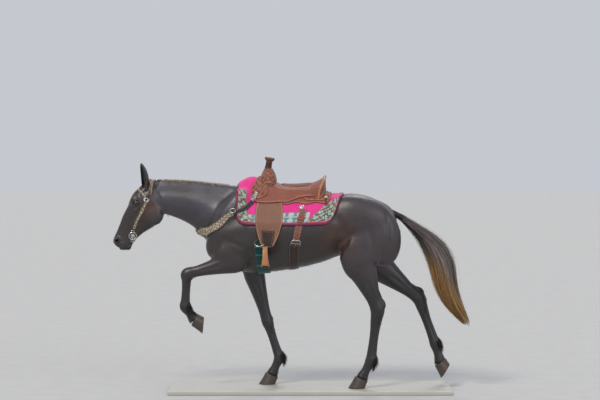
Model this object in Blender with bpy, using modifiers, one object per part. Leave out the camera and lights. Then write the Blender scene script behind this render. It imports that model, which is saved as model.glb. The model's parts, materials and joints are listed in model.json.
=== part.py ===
"""A rocky mountain horse at a long walk, life size, in western tack, on a plain display base.

Metres, +Z up. The horse faces -X and its left side faces -Y. The origin is the middle of the base's
underside. Places on the horse are given as heights over the base's top.
"""
import math
from collections import namedtuple

import bmesh
import bpy
import numpy as np
from mathutils import Matrix, Vector
from mathutils.bvhtree import BVHTree

GAP = 0.0003
CLEAR = 0.00045
SINK = 0.005

BASE_LENGTH = 2.100
BASE_WIDTH = 0.640
BASE_HEIGHT = 0.030
BASE_EDGE = 0.006

# Coarseness of the flesh, and how far it is evened out
VOXEL_BODY = 0.010
VOXEL_HEAD = 0.005
BODY_TRIANGLES = 4000
HEAD_SKIN_TRIANGLES = 6000
HEAD_TRIANGLES = 1500
RING_POINTS = 24
RING_STEPS = 4
LIMB_POINTS = 16

# A ring of trunk, neck or head: its top and bottom (x, z) in the middle plane, and its half widths
# at five sixths, half and one sixth of its height
Ring = namedtuple("Ring", "place top bottom upper middle lower")
TRUNK = (
    Ring("breastbone", (-0.752, 1.190), (-0.742, 1.070), 0.050, 0.080, 0.060),
    Ring("breast", (-0.738, 1.262), (-0.722, 1.020), 0.080, 0.135, 0.110),
    Ring("points of the shoulders", (-0.700, 1.350), (-0.690, 0.960), 0.105, 0.185, 0.150),
    Ring("shoulders", (-0.622, 1.430), (-0.625, 0.905), 0.118, 0.208, 0.160),
    Ring("elbows", (-0.522, 1.500), (-0.522, 0.865), 0.112, 0.222, 0.165),
    Ring("withers", (-0.432, 1.530), (-0.432, 0.848), 0.112, 0.232, 0.175),
    Ring("girth", (-0.313, 1.508), (-0.313, 0.853), 0.150, 0.255, 0.185),
    Ring("back", (-0.186, 1.464), (-0.186, 0.870), 0.195, 0.280, 0.205),
    Ring("last ribs", (-0.037, 1.442), (-0.037, 0.897), 0.215, 0.292, 0.210),
    Ring("loin", (0.089, 1.434), (0.089, 0.930), 0.215, 0.280, 0.190),
    Ring("flank", (0.209, 1.432), (0.209, 0.972), 0.215, 0.252, 0.155),
    Ring("hips", (0.298, 1.434), (0.298, 0.995), 0.212, 0.245, 0.145),
    Ring("croup", (0.410, 1.420), (0.410, 0.995), 0.192, 0.240, 0.150),
    Ring("rump", (0.522, 1.388), (0.522, 0.995), 0.155, 0.215, 0.140),
    Ring("tail head", (0.600, 1.342), (0.600, 1.030), 0.105, 0.165, 0.110),
    Ring("buttocks", (0.650, 1.270), (0.650, 1.090), 0.045, 0.080, 0.055),
)
NECK = (
    Ring("root", (-0.447, 1.500), (-0.690, 1.000), 0.075, 0.135, 0.115),
    Ring("base", (-0.581, 1.508), (-0.797, 1.112), 0.062, 0.125, 0.100),
    Ring("lower third", (-0.723, 1.524), (-0.864, 1.185), 0.052, 0.100, 0.080),
    Ring("middle", (-0.872, 1.540), (-0.939, 1.230), 0.044, 0.084, 0.068),
    Ring("upper third", (-1.006, 1.548), (-1.013, 1.262), 0.042, 0.076, 0.058),
    Ring("throat", (-1.110, 1.548), (-1.075, 1.285), 0.040, 0.070, 0.054),
    Ring("poll", (-1.170, 1.535), (-1.125, 1.330), 0.036, 0.060, 0.050),
)
HEAD = (
    Ring("occiput", (-1.190, 1.548), (-1.100, 1.385), 0.036, 0.054, 0.045),
    Ring("forelock", (-1.256, 1.494), (-1.090, 1.300), 0.062, 0.076, 0.050),
    Ring("brows", (-1.312, 1.440), (-1.098, 1.262), 0.078, 0.078, 0.050),
    Ring("eyes", (-1.334, 1.400), (-1.112, 1.236), 0.074, 0.078, 0.050),
    Ring("cheek", (-1.364, 1.338), (-1.166, 1.195), 0.058, 0.072, 0.048),
    Ring("face", (-1.396, 1.276), (-1.228, 1.156), 0.044, 0.056, 0.042),
    Ring("nose", (-1.420, 1.212), (-1.280, 1.114), 0.035, 0.044, 0.036),
    Ring("bars", (-1.444, 1.154), (-1.312, 1.078), 0.033, 0.042, 0.033),
    Ring("nostrils", (-1.467, 1.102), (-1.334, 1.040), 0.038, 0.046, 0.034),
    Ring("lips", (-1.466, 1.072), (-1.362, 1.024), 0.032, 0.040, 0.030),
    Ring("lip tips", (-1.440, 1.046), (-1.390, 1.022), 0.018, 0.024, 0.018),
)

# A swell of muscle or bone under the skin: its middle, with y to one side, its half sizes along,
# across and up, and the turn of its long side about Y in degrees
Swell = namedtuple("Swell", "place middle half turn")
BODY_SWELLS = (
    Swell("shoulder blade", (-0.595, 0.118, 1.270), (0.240, 0.072, 0.115), -55),
    Swell("back of the arm", (-0.500, 0.152, 1.075), (0.135, 0.078, 0.125), -20),
    Swell("breast lobe", (-0.690, 0.088, 1.068), (0.088, 0.082, 0.118), 12),
    Swell("gluteal", (0.360, 0.128, 1.270), (0.270, 0.118, 0.165), 12),
    Swell("thigh", (0.530, 0.118, 1.125), (0.148, 0.108, 0.225), -8),
    Swell("hip bone", (0.245, 0.175, 1.335), (0.060, 0.045, 0.050), 0),
)
HEAD_SWELLS = (
    Swell("jowl", (-1.165, 0.045, 1.290), (0.088, 0.034, 0.078), 55),
    Swell("brow", (-1.284, 0.066, 1.414), (0.036, 0.026, 0.022), 60),
    Swell("cheek bone", (-1.300, 0.060, 1.318), (0.060, 0.013, 0.012), 62),
    Swell("nostril", (-1.430, 0.033, 1.094), (0.030, 0.020, 0.026), 60),
    Swell("upper lip", (-1.432, 0.014, 1.064), (0.036, 0.028, 0.020), 40),
    Swell("lower lip", (-1.392, 0.012, 1.036), (0.032, 0.024, 0.014), -20),
    Swell("chin", (-1.352, 0.010, 1.044), (0.026, 0.022, 0.020), -30),
)

# A joint of a limb: its middle and its half sizes fore and aft, and sideways
Joint = namedtuple("Joint", "place x y z deep wide")
LEFT, RIGHT = -1, 1
FORE_ROWS = (
    ("shoulder", 0, 0.0, 0.105, 0.066), ("upper arm", 0, 0.5, 0.125, 0.074),
    ("elbow", 1, 0.0, 0.092, 0.068), ("upper forearm", 1, 0.22, 0.080, 0.062),
    ("middle forearm", 1, 0.50, 0.060, 0.052), ("lower forearm", 1, 0.80, 0.045, 0.043),
    ("knee", 2, 0.0, 0.047, 0.045), ("below the knee", 2, 0.20, 0.038, 0.036),
    ("cannon", 2, 0.50, 0.034, 0.027), ("above the fetlock", 2, 0.82, 0.037, 0.030),
    ("fetlock", 3, 0.0, 0.044, 0.039), ("pastern", 3, 0.50, 0.034, 0.034),
    ("coronet", 4, 0.0, 0.046, 0.045),
)
HIND_ROWS = (
    ("hip", 0, 0.0, 0.195, 0.100), ("thigh", 0, 0.5, 0.185, 0.102),
    ("stifle", 1, 0.0, 0.140, 0.088), ("upper gaskin", 1, 0.28, 0.104, 0.070),
    ("middle gaskin", 1, 0.56, 0.074, 0.054), ("lower gaskin", 1, 0.82, 0.052, 0.042),
    ("hock", 2, 0.0, 0.056, 0.047), ("below the hock", 2, 0.18, 0.046, 0.039),
    ("cannon", 2, 0.50, 0.037, 0.030), ("above the fetlock", 2, 0.84, 0.039, 0.033),
    ("fetlock", 3, 0.0, 0.046, 0.040), ("pastern", 3, 0.50, 0.035, 0.035),
    ("coronet", 4, 0.0, 0.047, 0.046),
)

# A limb: its side, the five places that its rows hang from, and the turn of its hoof about Y in degrees
Limb = namedtuple("Limb", "side rows places hoof_turn")
LIMBS = {
    "foreleg_left": Limb(LEFT, FORE_ROWS, (
        (-0.660, 0.140, 1.060), (-0.545, 0.150, 0.950), (-0.913, 0.135, 0.853),
        (-0.926, 0.130, 0.607), (-0.857, 0.130, 0.512)), 85),
    "foreleg_right": Limb(RIGHT, FORE_ROWS, (
        (-0.640, 0.140, 1.080), (-0.440, 0.152, 0.900), (-0.318, 0.128, 0.468),
        (-0.230, 0.122, 0.200), (-0.285, 0.122, 0.070)), 0),
    "hindleg_left": Limb(LEFT, HIND_ROWS, (
        (0.480, 0.125, 1.190), (0.360, 0.160, 0.955), (0.500, 0.130, 0.585),
        (0.452, 0.125, 0.205), (0.383, 0.125, 0.072)), 0),
    "hindleg_right": Limb(RIGHT, HIND_ROWS, (
        (0.500, 0.125, 1.190), (0.465, 0.160, 0.930), (0.818, 0.135, 0.648),
        (0.945, 0.130, 0.300), (0.982, 0.130, 0.165)), 58),
}

# A cut that parts a node from the flesh: two points (x, z) of its face, how far the node reaches
# beyond it, and the y range that it takes
Parting = namedtuple("Parting", "node start end reach low high")
HEAD_CUT = Parting("head", (-1.172, 1.640), (-0.995, 1.040), 0.640, -0.20, 0.20)
NECK_CUT = Parting("neck", (-0.445, 1.620), (-0.865, 1.040), 0.900, -0.30, 0.30)
LIMB_CUTS = (
    Parting("foreleg_left", (-0.830, 1.075), (-0.505, 0.775), 0.750, -0.40, -0.004),
    Parting("foreleg_right", (-0.640, 0.824), (-0.180, 0.834), 0.900, 0.004, 0.40),
    Parting("hindleg_left", (0.120, 0.925), (0.760, 0.960), 1.000, -0.40, -0.004),
    Parting("hindleg_right", (0.120, 0.925), (0.900, 0.972), 1.000, 0.004, 0.40),
)
KNEE_CUT_HALF = 0.50
KNEE_CUT_REACH = 0.90

# The hoof, seen level: its band and its sole, from the middle of the band
HOOF_BAND_HALF = (0.0450, 0.0445)
HOOF_BAND_SLOPE = -0.43
HOOF_SOLE_MIDDLE = (-0.034, -0.0685)
HOOF_SOLE_HALF = (0.066, 0.060)
HOOF_POINTS = 14

EYE = (-1.2866, 0.0725, 1.3780)
EYE_RADIUS = 0.0215
LID_REACH = 0.0235
LID_THICK = 0.0050
NOSTRIL = (-1.4335, 0.0460, 1.0940)
NOSTRIL_HALF = (0.020, 0.011, 0.010)
MOUTH_LINE = ((-1.326, 0.050, 1.093), (-1.360, 0.050, 1.076), (-1.395, 0.042, 1.062),
              (-1.422, 0.026, 1.053), (-1.432, 0.000, 1.050))

EAR_LENGTH = 0.190
EAR_HALF_WIDTH = 0.031
EAR_ROOT = (-1.212, 0.046, 1.482)
EAR_TIP = (-1.2576, 0.062, 1.6585)
EAR_WALL = 0.0050

# The tail's middle line and its half sizes, in the picture plane and sideways
TAIL_LINE = (
    (0.600, 1.305, 0.028, 0.030), (0.672, 1.268, 0.034, 0.034), (0.745, 1.212, 0.046, 0.042),
    (0.815, 1.150, 0.062, 0.050), (0.885, 1.080, 0.082, 0.058), (0.945, 0.995, 0.096, 0.064),
    (0.985, 0.895, 0.098, 0.066), (1.005, 0.790, 0.096, 0.064), (1.035, 0.690, 0.086, 0.058),
    (1.085, 0.595, 0.070, 0.048), (1.150, 0.500, 0.046, 0.034), (1.190, 0.440, 0.022, 0.018),
)
DOCK_SHARE = 0.36
TAIL_LOCKS = 20
MANE_LOCKS = 14
MANE_FIRST, MANE_LAST = -1.112, -0.625
FORELOCKS = 4
SEED = 17

# The saddle pad: front and rear ends, bottom edge and thickness
PAD_FRONT, PAD_REAR = -0.548, 0.246
PAD_EDGE = 1.226
PAD_THICK = 0.016
SKIRT_FRONT, SKIRT_REAR = -0.430, 0.158
SKIRT_EDGE = 1.374
SKIRT_THICK = 0.008
SEAT_FRONT, SEAT_REAR = -0.425, 0.090
TRUNK_AXIS = 1.170

SEAT_HEIGHTS = ((-0.425, 1.500), (-0.350, 1.530), (-0.270, 1.520), (-0.200, 1.500), (-0.110, 1.500),
                (-0.020, 1.508), (0.050, 1.526), (0.090, 1.540))
FORK_SECTIONS = ((-0.362, 0.118, 1.568), (-0.344, 0.142, 1.612), (-0.312, 0.156, 1.634),
                 (-0.280, 0.150, 1.624), (-0.258, 0.124, 1.575))
CANTLE_SECTIONS = ((0.052, 0.160, 1.520), (0.078, 0.176, 1.558), (0.104, 0.180, 1.573), (0.126, 0.172, 1.560))
HORN_FOOT = (-0.314, 1.612)
HORN_TOP = (-0.300, 1.700)

COLOURS = {
    "coat": ((0.035, 0.024, 0.020), 0.45, 0.0),
    "coat_legs": ((0.018, 0.014, 0.013), 0.45, 0.0),
    "mane_hair": ((0.42, 0.33, 0.24), 0.60, 0.0),
    "tail_hair": ((0.40, 0.29, 0.19), 0.60, 0.0),
    "eye": ((0.012, 0.008, 0.006), 0.08, 0.0),
    "hoof": ((0.060, 0.052, 0.046), 0.50, 0.0),
    "felt": ((0.52, 0.045, 0.22), 0.90, 0.0),
    "saddle_leather": ((0.20, 0.070, 0.035), 0.50, 0.0),
    "strap_leather": ((0.10, 0.045, 0.028), 0.50, 0.0),
    "inlay_leather": ((0.50, 0.36, 0.22), 0.60, 0.0),
    "webbing": ((0.10, 0.28, 0.27), 0.85, 0.0),
    "rawhide": ((0.55, 0.33, 0.16), 0.60, 0.0),
    "silver": ((0.72, 0.72, 0.70), 0.28, 1.0),
    "base_paint": ((0.55, 0.53, 0.50), 0.60, 0.0),
}


def wipe():
    for obj in list(bpy.data.objects):
        bpy.data.objects.remove(obj)


def collection(name):
    made = bpy.data.collections.new(name)
    bpy.context.scene.collection.children.link(made)
    return made


def dress(obj, finish):
    colour, roughness, metallic = COLOURS[finish]
    material = bpy.data.materials.new(obj.name)
    material.use_nodes = True
    shader = material.node_tree.nodes["Principled BSDF"]
    shader.inputs["Base Color"].default_value = (*colour, 1)
    shader.inputs["Roughness"].default_value = roughness
    shader.inputs["Metallic"].default_value = metallic
    obj.data.materials.clear()
    obj.data.materials.append(material)


def new_object(name, bm):
    """An object in the horse's collection from a mesh under construction."""
    bmesh.ops.recalc_face_normals(bm, faces=bm.faces)
    bmesh.ops.triangulate(bm, faces=bm.faces)
    mesh = bpy.data.meshes.new(name)
    bm.to_mesh(mesh)
    bm.free()
    obj = bpy.data.objects.new(name, mesh)
    HORSE.objects.link(obj)
    return obj


def copy_of(obj, name):
    made = bpy.data.objects.new(name, obj.data.copy())
    HORSE.objects.link(made)
    return made


def bake(obj):
    """The object's modifiers, applied, with its faces split into triangles, which stay flat when moved."""
    graph = bpy.context.evaluated_depsgraph_get()
    mesh = bpy.data.meshes.new_from_object(obj.evaluated_get(graph))
    obj.modifiers.clear()
    bm = bmesh.new()
    bm.from_mesh(mesh)
    bmesh.ops.triangulate(bm, faces=bm.faces)
    bm.to_mesh(mesh)
    bm.free()
    obj.data = mesh
    return obj


def remove(*objects):
    for obj in objects:
        bpy.data.objects.remove(obj)


def is_closed(mesh):
    """Whether each edge of the mesh has two faces that point the same way."""
    bm = bmesh.new()
    bm.from_mesh(mesh)
    closed = (bool(bm.edges) and all(edge.is_contiguous for edge in bm.edges)
              and all(vert.is_manifold for vert in bm.verts))
    bm.free()
    return closed


def boolean(obj, tool, operation):
    """Cuts the object by the tool, or joins them, and applies it. The faces of pieces that rest on one
    another nearly coincide, where the exact solver leaves holes, so MANIFOLD goes first."""
    before = obj.data.copy()
    for solver in ('MANIFOLD', 'EXACT'):
        modifier = obj.modifiers.new(operation.lower(), 'BOOLEAN')
        modifier.operation = operation
        modifier.solver = solver
        modifier.object = tool
        bake(obj)
        if is_closed(obj.data):
            break
        obj.data = before
    return obj


def keep_largest(obj):
    """Leaves the object only its largest closed surface."""
    bm = bmesh.new()
    bm.from_mesh(obj.data)
    unseen = set(bm.verts)
    pieces = []
    while unseen:
        stack = [unseen.pop()]
        piece = set(stack)
        while stack:
            for edge in stack.pop().link_edges:
                for vert in edge.verts:
                    if vert in unseen:
                        unseen.discard(vert)
                        piece.add(vert)
                        stack.append(vert)
        pieces.append(piece)

    def room(piece):
        faces = {face for vert in piece for face in vert.link_faces}
        return abs(sum(face.calc_area() * face.normal.dot(face.verts[0].co) for face in faces)) / 3

    pieces.sort(key=room)
    loose = [vert for piece in pieces[:-1] for vert in piece]
    bmesh.ops.delete(bm, geom=loose, context='VERTS')
    bm.to_mesh(obj.data)
    bm.free()
    return obj


def swollen(obj):
    """A copy of the object, grown by the gap that touching pieces keep."""
    made = copy_of(obj, obj.name + "_grown")
    modifier = made.modifiers.new("gap", 'DISPLACE')
    modifier.strength = CLEAR
    modifier.mid_level = 0
    return bake(made)


def clear_of(obj, *others):
    """Cuts the object clear of the pieces that it rests on, by their grown copies, and by the pieces
    themselves where a sliver's bent normal kept a copy from growing."""
    for other in others:
        tool = swollen(other)
        boolean(obj, tool, 'DIFFERENCE')
        remove(tool)
        if surface(obj).overlap(surface(other)):
            boolean(obj, other, 'DIFFERENCE')
    return keep_largest(obj)


def smooth_rows(rows, steps):
    """Rows on the smooth curve through the given rows, `steps` to a gap."""
    rows = np.asarray(rows, float)
    padded = np.vstack([2 * rows[0] - rows[1], rows, 2 * rows[-1] - rows[-2]])
    out = []
    for i in range(1, len(padded) - 2):
        a, b, c, d = padded[i - 1:i + 3]
        for t in np.arange(steps) / steps:
            out.append(0.5 * (2 * b + (c - a) * t + (2 * a - 5 * b + 4 * c - d) * t * t
                              + (3 * b - a - 3 * c + d) * t ** 3))
    out.append(rows[-1])
    return np.array(out)


def closed_curve(points, count):
    """`count` points on the smooth closed curve through the given points."""
    points = np.asarray(points, float)
    out = []
    for k in range(count):
        u = k * len(points) / count
        i, t = int(u), u - int(u)
        a, b, c, d = (points[(i + j) % len(points)] for j in (-1, 0, 1, 2))
        out.append(0.5 * (2 * b + (c - a) * t + (2 * a - 5 * b + 4 * c - d) * t * t
                          + (3 * b - a - 3 * c + d) * t ** 3))
    return np.array(out)


def add_tube(bm, loops):
    """Adds a closed tube through loops of points."""
    made = [[bm.verts.new(p) for p in loop] for loop in loops]
    count = len(made[0])
    for a, b in zip(made, made[1:]):
        for i in range(count):
            j = (i + 1) % count
            bm.faces.new((a[i], a[j], b[j], b[i]))
    bm.faces.new(reversed(made[0]))
    bm.faces.new(made[-1])


def add_body_tube(bm, rings):
    rows = smooth_rows([[*r.top, *r.bottom, r.upper, r.middle, r.lower] for r in rings], RING_STEPS)
    loops = []
    for top_x, top_z, low_x, low_z, upper, middle, lower in rows:
        half = [(0.965, upper * 0.58), (0.83, upper), (0.5, middle), (0.17, lower), (0.035, lower * 0.58)]
        outline = [(1.0, 0)] + half + [(0.0, 0)] + [(h, -w) for h, w in reversed(half)]
        loops.append([(low_x + (top_x - low_x) * h, w, low_z + (top_z - low_z) * h + BASE_HEIGHT)
                      for h, w in closed_curve(outline, RING_POINTS)])
    add_tube(bm, loops)


def limb_joints(limb):
    """The limb's joints from its five places, on its own side."""
    joints = []
    for place, index, share, deep, wide in limb.rows:
        here = np.array(limb.places[index])
        if share:
            here = here + (np.array(limb.places[index + 1]) - here) * share
        joints.append(Joint(place, here[0], limb.side * here[1], here[2], deep, wide))
    return joints


def add_limb(bm, joints):
    rows = smooth_rows([joint[1:] for joint in joints], RING_STEPS)
    loops = []
    for i, row in enumerate(rows):
        along = Vector(rows[min(i + 1, len(rows) - 1)][:3] - rows[max(i - 1, 0)][:3]).normalized()
        across = along.cross(Vector((0, 1, 0))).normalized()
        side = across.cross(along).normalized()
        middle = Vector(row[:3]) + Vector((0, 0, BASE_HEIGHT))
        loops.append([middle + across * (row[3] * math.cos(a)) + side * (row[4] * math.sin(a))
                      for a in np.linspace(0, 2 * math.pi, LIMB_POINTS, endpoint=False)])
    add_tube(bm, loops)


def add_ball(bm, middle, half, turn=0.0, segments=20, rings=12):
    """Adds an ellipsoid turned about Y, in degrees, at a place over the base."""
    matrix = (Matrix.Translation(Vector(middle) + Vector((0, 0, BASE_HEIGHT)))
              @ Matrix.Rotation(math.radians(turn), 4, 'Y') @ Matrix.Diagonal((*half, 1)))
    bmesh.ops.create_uvsphere(bm, u_segments=segments, v_segments=rings, radius=1.0, matrix=matrix)


def add_swells(bm, swells):
    for swell in swells:
        x, y, z = swell.middle
        for side in (LEFT, RIGHT):
            add_ball(bm, (x, side * y, z), swell.half, swell.turn)


def add_joint_bones(bm, limb, joints):
    """Adds the elbow, knee and fetlock bones of a fore limb, or the stifle, hock and string of a hind one."""
    named = {joint.place: joint for joint in joints}

    def spot(place, behind, above, half, upper):
        here, up = named[place], named[upper]
        axis = Vector((up.x - here.x, 0, up.z - here.z)).normalized()
        back = Vector((axis.z, 0, -axis.x))
        middle = Vector(here[1:4]) + back * behind + axis * above
        add_ball(bm, middle, half, math.degrees(math.atan2(axis.x, axis.z)))
        return middle

    spot("fetlock", 0.026, 0.006, (0.020, 0.030, 0.026), "above the fetlock")
    if limb.rows is FORE_ROWS:
        spot("elbow", 0.075, 0.010, (0.042, 0.040, 0.050), "upper arm")
        spot("knee", 0.032, 0.018, (0.020, 0.022, 0.028), "lower forearm")
        spot("knee", -0.016, 0.000, (0.030, 0.040, 0.040), "lower forearm")
        return
    spot("stifle", -0.088, -0.010, (0.060, 0.062, 0.075), "thigh")
    point = spot("hock", 0.050, 0.030, (0.026, 0.023, 0.044), "lower gaskin")
    string = (point + Vector(named["middle gaskin"][1:4]) + Vector((0.052, 0, 0.0))) / 2
    lean = math.degrees(math.atan2(string.x - point.x, string.z - point.z))
    add_ball(bm, string, (0.018, 0.018, 0.110), lean)


def relax(points, edges, share, rounds):
    """Draws each point towards the middle of its neighbours, by its share, for a number of rounds."""
    a, b = edges.T
    ends = np.concatenate([a, b])
    degree = np.bincount(ends, minlength=len(points))[:, None]
    for _ in range(rounds):
        other = points[np.concatenate([b, a])]
        total = np.stack([np.bincount(ends, other[:, k], len(points)) for k in range(3)], axis=1)
        points += (total / degree - points) * share[:, None]
    return points


def evened(obj, share_of, rounds):
    """Relaxes the object's mesh; share_of gives each point's share from its place."""
    mesh = obj.data
    points = np.empty(len(mesh.vertices) * 3)
    mesh.vertices.foreach_get("co", points)
    points = points.reshape(-1, 3)
    edges = np.empty(len(mesh.edges) * 2, np.int64)
    mesh.edges.foreach_get("vertices", edges)
    relax(points, edges.reshape(-1, 2), share_of(points), rounds)
    mesh.vertices.foreach_set("co", points.ravel())
    mesh.update()


def thinned(obj, triangles):
    """Collapses the object's mesh to about so many triangles."""
    modifier = obj.modifiers.new("thin", 'DECIMATE')
    modifier.ratio = triangles / sum(len(p.vertices) - 2 for p in obj.data.polygons)
    return bake(obj)


def flesh(name, voxel, tubes, limbs, swells):
    """One skin over body tubes, limbs and swells."""
    bm = bmesh.new()
    for rings in tubes:
        add_body_tube(bm, rings)
    for limb in limbs:
        joints = limb_joints(limb)
        add_limb(bm, joints)
        add_joint_bones(bm, limb, joints)
    add_swells(bm, swells)
    obj = new_object(name, bm)
    modifier = obj.modifiers.new("one_skin", 'REMESH')
    modifier.mode = 'VOXEL'
    modifier.voxel_size = voxel
    return bake(obj)


def body_share(points):
    """Trunk and neck are evened fully, the legs below the trunk and the head only a little."""
    low = np.clip((points[:, 2] - BASE_HEIGHT - 0.80) / 0.20, 0.0, 1.0)
    reach = np.clip((points[:, 0] + 1.16) / 0.10, 0.0, 1.0)
    return 0.50 * (0.14 + 0.86 * low * reach)


def head_share(points):
    """The neck's stub is evened as the body is, the muzzle hardly."""
    back = np.clip((points[:, 0] + 1.20) / 0.10, 0.0, 1.0)
    return 0.50 * (0.45 + 0.55 * back)


def parting_box(cut, grow):
    """The box that a parting takes, its face moved out by `grow`."""
    start, end = Vector((cut.start[0], 0, cut.start[1])), Vector((cut.end[0], 0, cut.end[1]))
    along = (end - start).normalized()
    out = Vector((0, 1, 0)).cross(along).normalized()
    if out.z > 0 and cut.node != "neck":
        out = -out
    if cut.node == "neck" and out.x > 0:
        out = -out
    size = Vector(((end - start).length, cut.high - cut.low + 2 * grow, cut.reach + grow))
    middle = (start + end) / 2 + out * (cut.reach - grow) / 2 + Vector((0, 0, BASE_HEIGHT))
    middle.y = (cut.low + cut.high) / 2
    turned = Matrix((along, Vector((0, 1, 0)), out)).transposed().to_4x4()
    bm = bmesh.new()
    bmesh.ops.create_cube(bm, size=1.0, matrix=Matrix.Translation(middle) @ turned @ Matrix.Diagonal((*size, 1)))
    return new_object(cut.node + "_box", bm)


def part_off(rest, cut):
    """Takes a node off the rest of the flesh, and returns it."""
    node = copy_of(rest, cut.node)
    box = parting_box(cut, 0)
    boolean(node, box, 'INTERSECT')
    remove(box)
    box = parting_box(cut, GAP)
    boolean(rest, box, 'DIFFERENCE')
    remove(box)
    return keep_largest(node)


def across_limb(node, place, normal, reach=KNEE_CUT_REACH, half=KNEE_CUT_HALF):
    """A parting across a limb at a place (x, z), whose node lies on the normal's side."""
    along = Vector((normal[1], -normal[0])).normalized() * half
    return Parting(node, (place[0] - along[0], place[1] - along[1]), (place[0] + along[0], place[1] + along[1]),
                   reach, -0.40, 0.40)


def hoof_frame(limb):
    """The turn and place of a hoof, from the middle of its band."""
    x, y, z = limb.places[4]
    return (Matrix.Translation((x, limb.side * y, z + BASE_HEIGHT))
            @ Matrix.Rotation(math.radians(-limb.hoof_turn), 4, 'Y'))


def hoof(name, limb):
    frame = hoof_frame(limb)
    rings = []
    for share, flare in ((0.0, 1.0), (0.14, 1.05), (0.9, 1.0), (1.0, 0.965)):
        loop = []
        for angle in np.linspace(0, 2 * math.pi, HOOF_POINTS, endpoint=False):
            c, s = math.cos(angle), math.sin(angle)
            rear = 1.0 if c < 0 else 0.93
            band = Vector((HOOF_BAND_HALF[0] * c, HOOF_BAND_HALF[1] * s, HOOF_BAND_HALF[0] * c * HOOF_BAND_SLOPE))
            sole = Vector((HOOF_SOLE_MIDDLE[0] + HOOF_SOLE_HALF[0] * c * rear, HOOF_SOLE_HALF[1] * s,
                           HOOF_SOLE_MIDDLE[1]))
            point = band.lerp(sole, share)
            middle = Vector((HOOF_SOLE_MIDDLE[0] * share, 0, point.z))
            loop.append(frame @ (middle + (point - middle) * flare))
        rings.append(loop)
    bm = bmesh.new()
    add_tube(bm, rings)
    return new_object(name, bm)


def build_flesh():
    """Head, neck, torso and legs, parted from two skins by thin cuts."""
    whole = flesh("torso", VOXEL_BODY, (TRUNK, NECK, HEAD), LIMBS.values(), BODY_SWELLS + HEAD_SWELLS)
    evened(whole, body_share, 22)
    thinned(whole, BODY_TRIANGLES)
    fine = flesh("head_skin", VOXEL_HEAD, (NECK, HEAD), (), HEAD_SWELLS)
    evened(fine, head_share, 12)
    head = copy_of(fine, "head")
    boolean(head, parting_box(HEAD_CUT, 0), 'INTERSECT')
    remove(bpy.data.objects["head_box"])
    keep_largest(head)
    thinned(head, HEAD_TRIANGLES)
    boolean(head, parting_box(HEAD_CUT, 0), 'INTERSECT')
    remove(bpy.data.objects["head_box"])
    keep_largest(head)
    thinned(fine, HEAD_SKIN_TRIANGLES)

    body_skin = copy_of(whole, "body_skin")
    box = parting_box(HEAD_CUT, GAP)
    boolean(whole, box, 'DIFFERENCE')
    remove(box)
    neck = part_off(whole, NECK_CUT)
    nodes = {"head": head, "neck": neck}
    for cut in LIMB_CUTS:
        limb = LIMBS[cut.node]
        leg = part_off(whole, cut)
        joints = {joint.place: joint for joint in limb_joints(limb)}
        bend = joints["knee" if limb.rows is FORE_ROWS else "hock"]
        above, below = joints["lower forearm" if limb.rows is FORE_ROWS else "lower gaskin"], joints["cannon"]
        down = Vector((bend.x - above.x, bend.z - above.z)).normalized()
        on = Vector((below.x - bend.x, below.z - bend.z)).normalized()
        lower = part_off(leg, across_limb(cut.node + "_lower", (bend.x, bend.z), down + on))
        leg.name = cut.node + "_upper"
        nodes[leg.name] = keep_largest(leg)
        frame = hoof_frame(limb)
        down = frame.to_3x3() @ Vector((HOOF_BAND_SLOPE, 0, -1))
        end = parting_box(across_limb("end", (limb.places[4][0], limb.places[4][2]), (down.x, down.z)), GAP)
        boolean(lower, end, 'DIFFERENCE')
        remove(end)
        nodes[lower.name] = keep_largest(lower)
        nodes[cut.node + "_hoof"] = hoof(cut.node + "_hoof", limb)
    nodes["torso"] = keep_largest(whole)
    return nodes, body_skin, fine


def surface(*objects):
    """A search tree over the outer faces of some objects."""
    points, faces = [], []
    for obj in objects:
        start = len(points)
        points += [v.co.copy() for v in obj.data.vertices]
        faces += [[start + i for i in p.vertices] for p in obj.data.polygons]
    return BVHTree.FromPolygons(points, faces)


def towards_axis(tree, x, angle, height=TRUNK_AXIS):
    """Where a ray hits the trunk, coming in to its axis at an angle from straight up, and the way out."""
    out = Vector((0, math.sin(angle), math.cos(angle)))
    axis = Vector((x, 0, height + BASE_HEIGHT))
    place, normal, _, _ = tree.ray_cast(axis + out * 0.9, -out)
    return place, out


def edge_angle(tree, x, side, height):
    """The angle from straight up at which the trunk is at a height."""
    low, high = 0.0, math.radians(130)
    for _ in range(14):
        angle = (low + high) / 2
        place, _ = towards_axis(tree, x, side * angle)
        if place.z - BASE_HEIGHT > height:
            low = angle
        else:
            high = angle
    return angle


def drape(name, tree, front, rear, edge, inner, outer, along=14, around=18):
    """A shell laid over the back. front and rear give x from the share of the way down a side, edge
    gives the bottom's height from the share along, and inner and outer the lifts from the back."""
    shares = np.linspace(-1, 1, around + 1)
    layers = ([], [])
    for u in np.linspace(0, 1, along + 1):
        middle = front(0) + (rear(0) - front(0)) * u
        reach = {side: edge_angle(tree, middle, side, edge(u)) for side in (LEFT, RIGHT)}
        for layer, lift in zip(layers, (inner, outer)):
            row = []
            for s in shares:
                x = front(abs(s)) + (rear(abs(s)) - front(abs(s))) * u
                place, out = towards_axis(tree, x, reach[RIGHT if s > 0 else LEFT] * s)
                row.append(place + out * lift(x, s, place))
            layer.append(row)
    bm = bmesh.new()
    low, top = ([[bm.verts.new(p) for p in row] for row in layer] for layer in layers)
    for rows in (low, top):
        for a, b in zip(rows, rows[1:]):
            for i in range(around):
                bm.faces.new((a[i], a[i + 1], b[i + 1], b[i]))

    def rim(rows):
        return (rows[0] + [row[-1] for row in rows[1:]] + rows[-1][-2::-1]
                + [row[0] for row in rows[-2:0:-1]])

    inside, outside = rim(low), rim(top)
    for i in range(len(inside)):
        j = (i + 1) % len(inside)
        bm.faces.new((inside[i], inside[j], outside[j], outside[i]))
    return new_object(name, bm)


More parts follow.
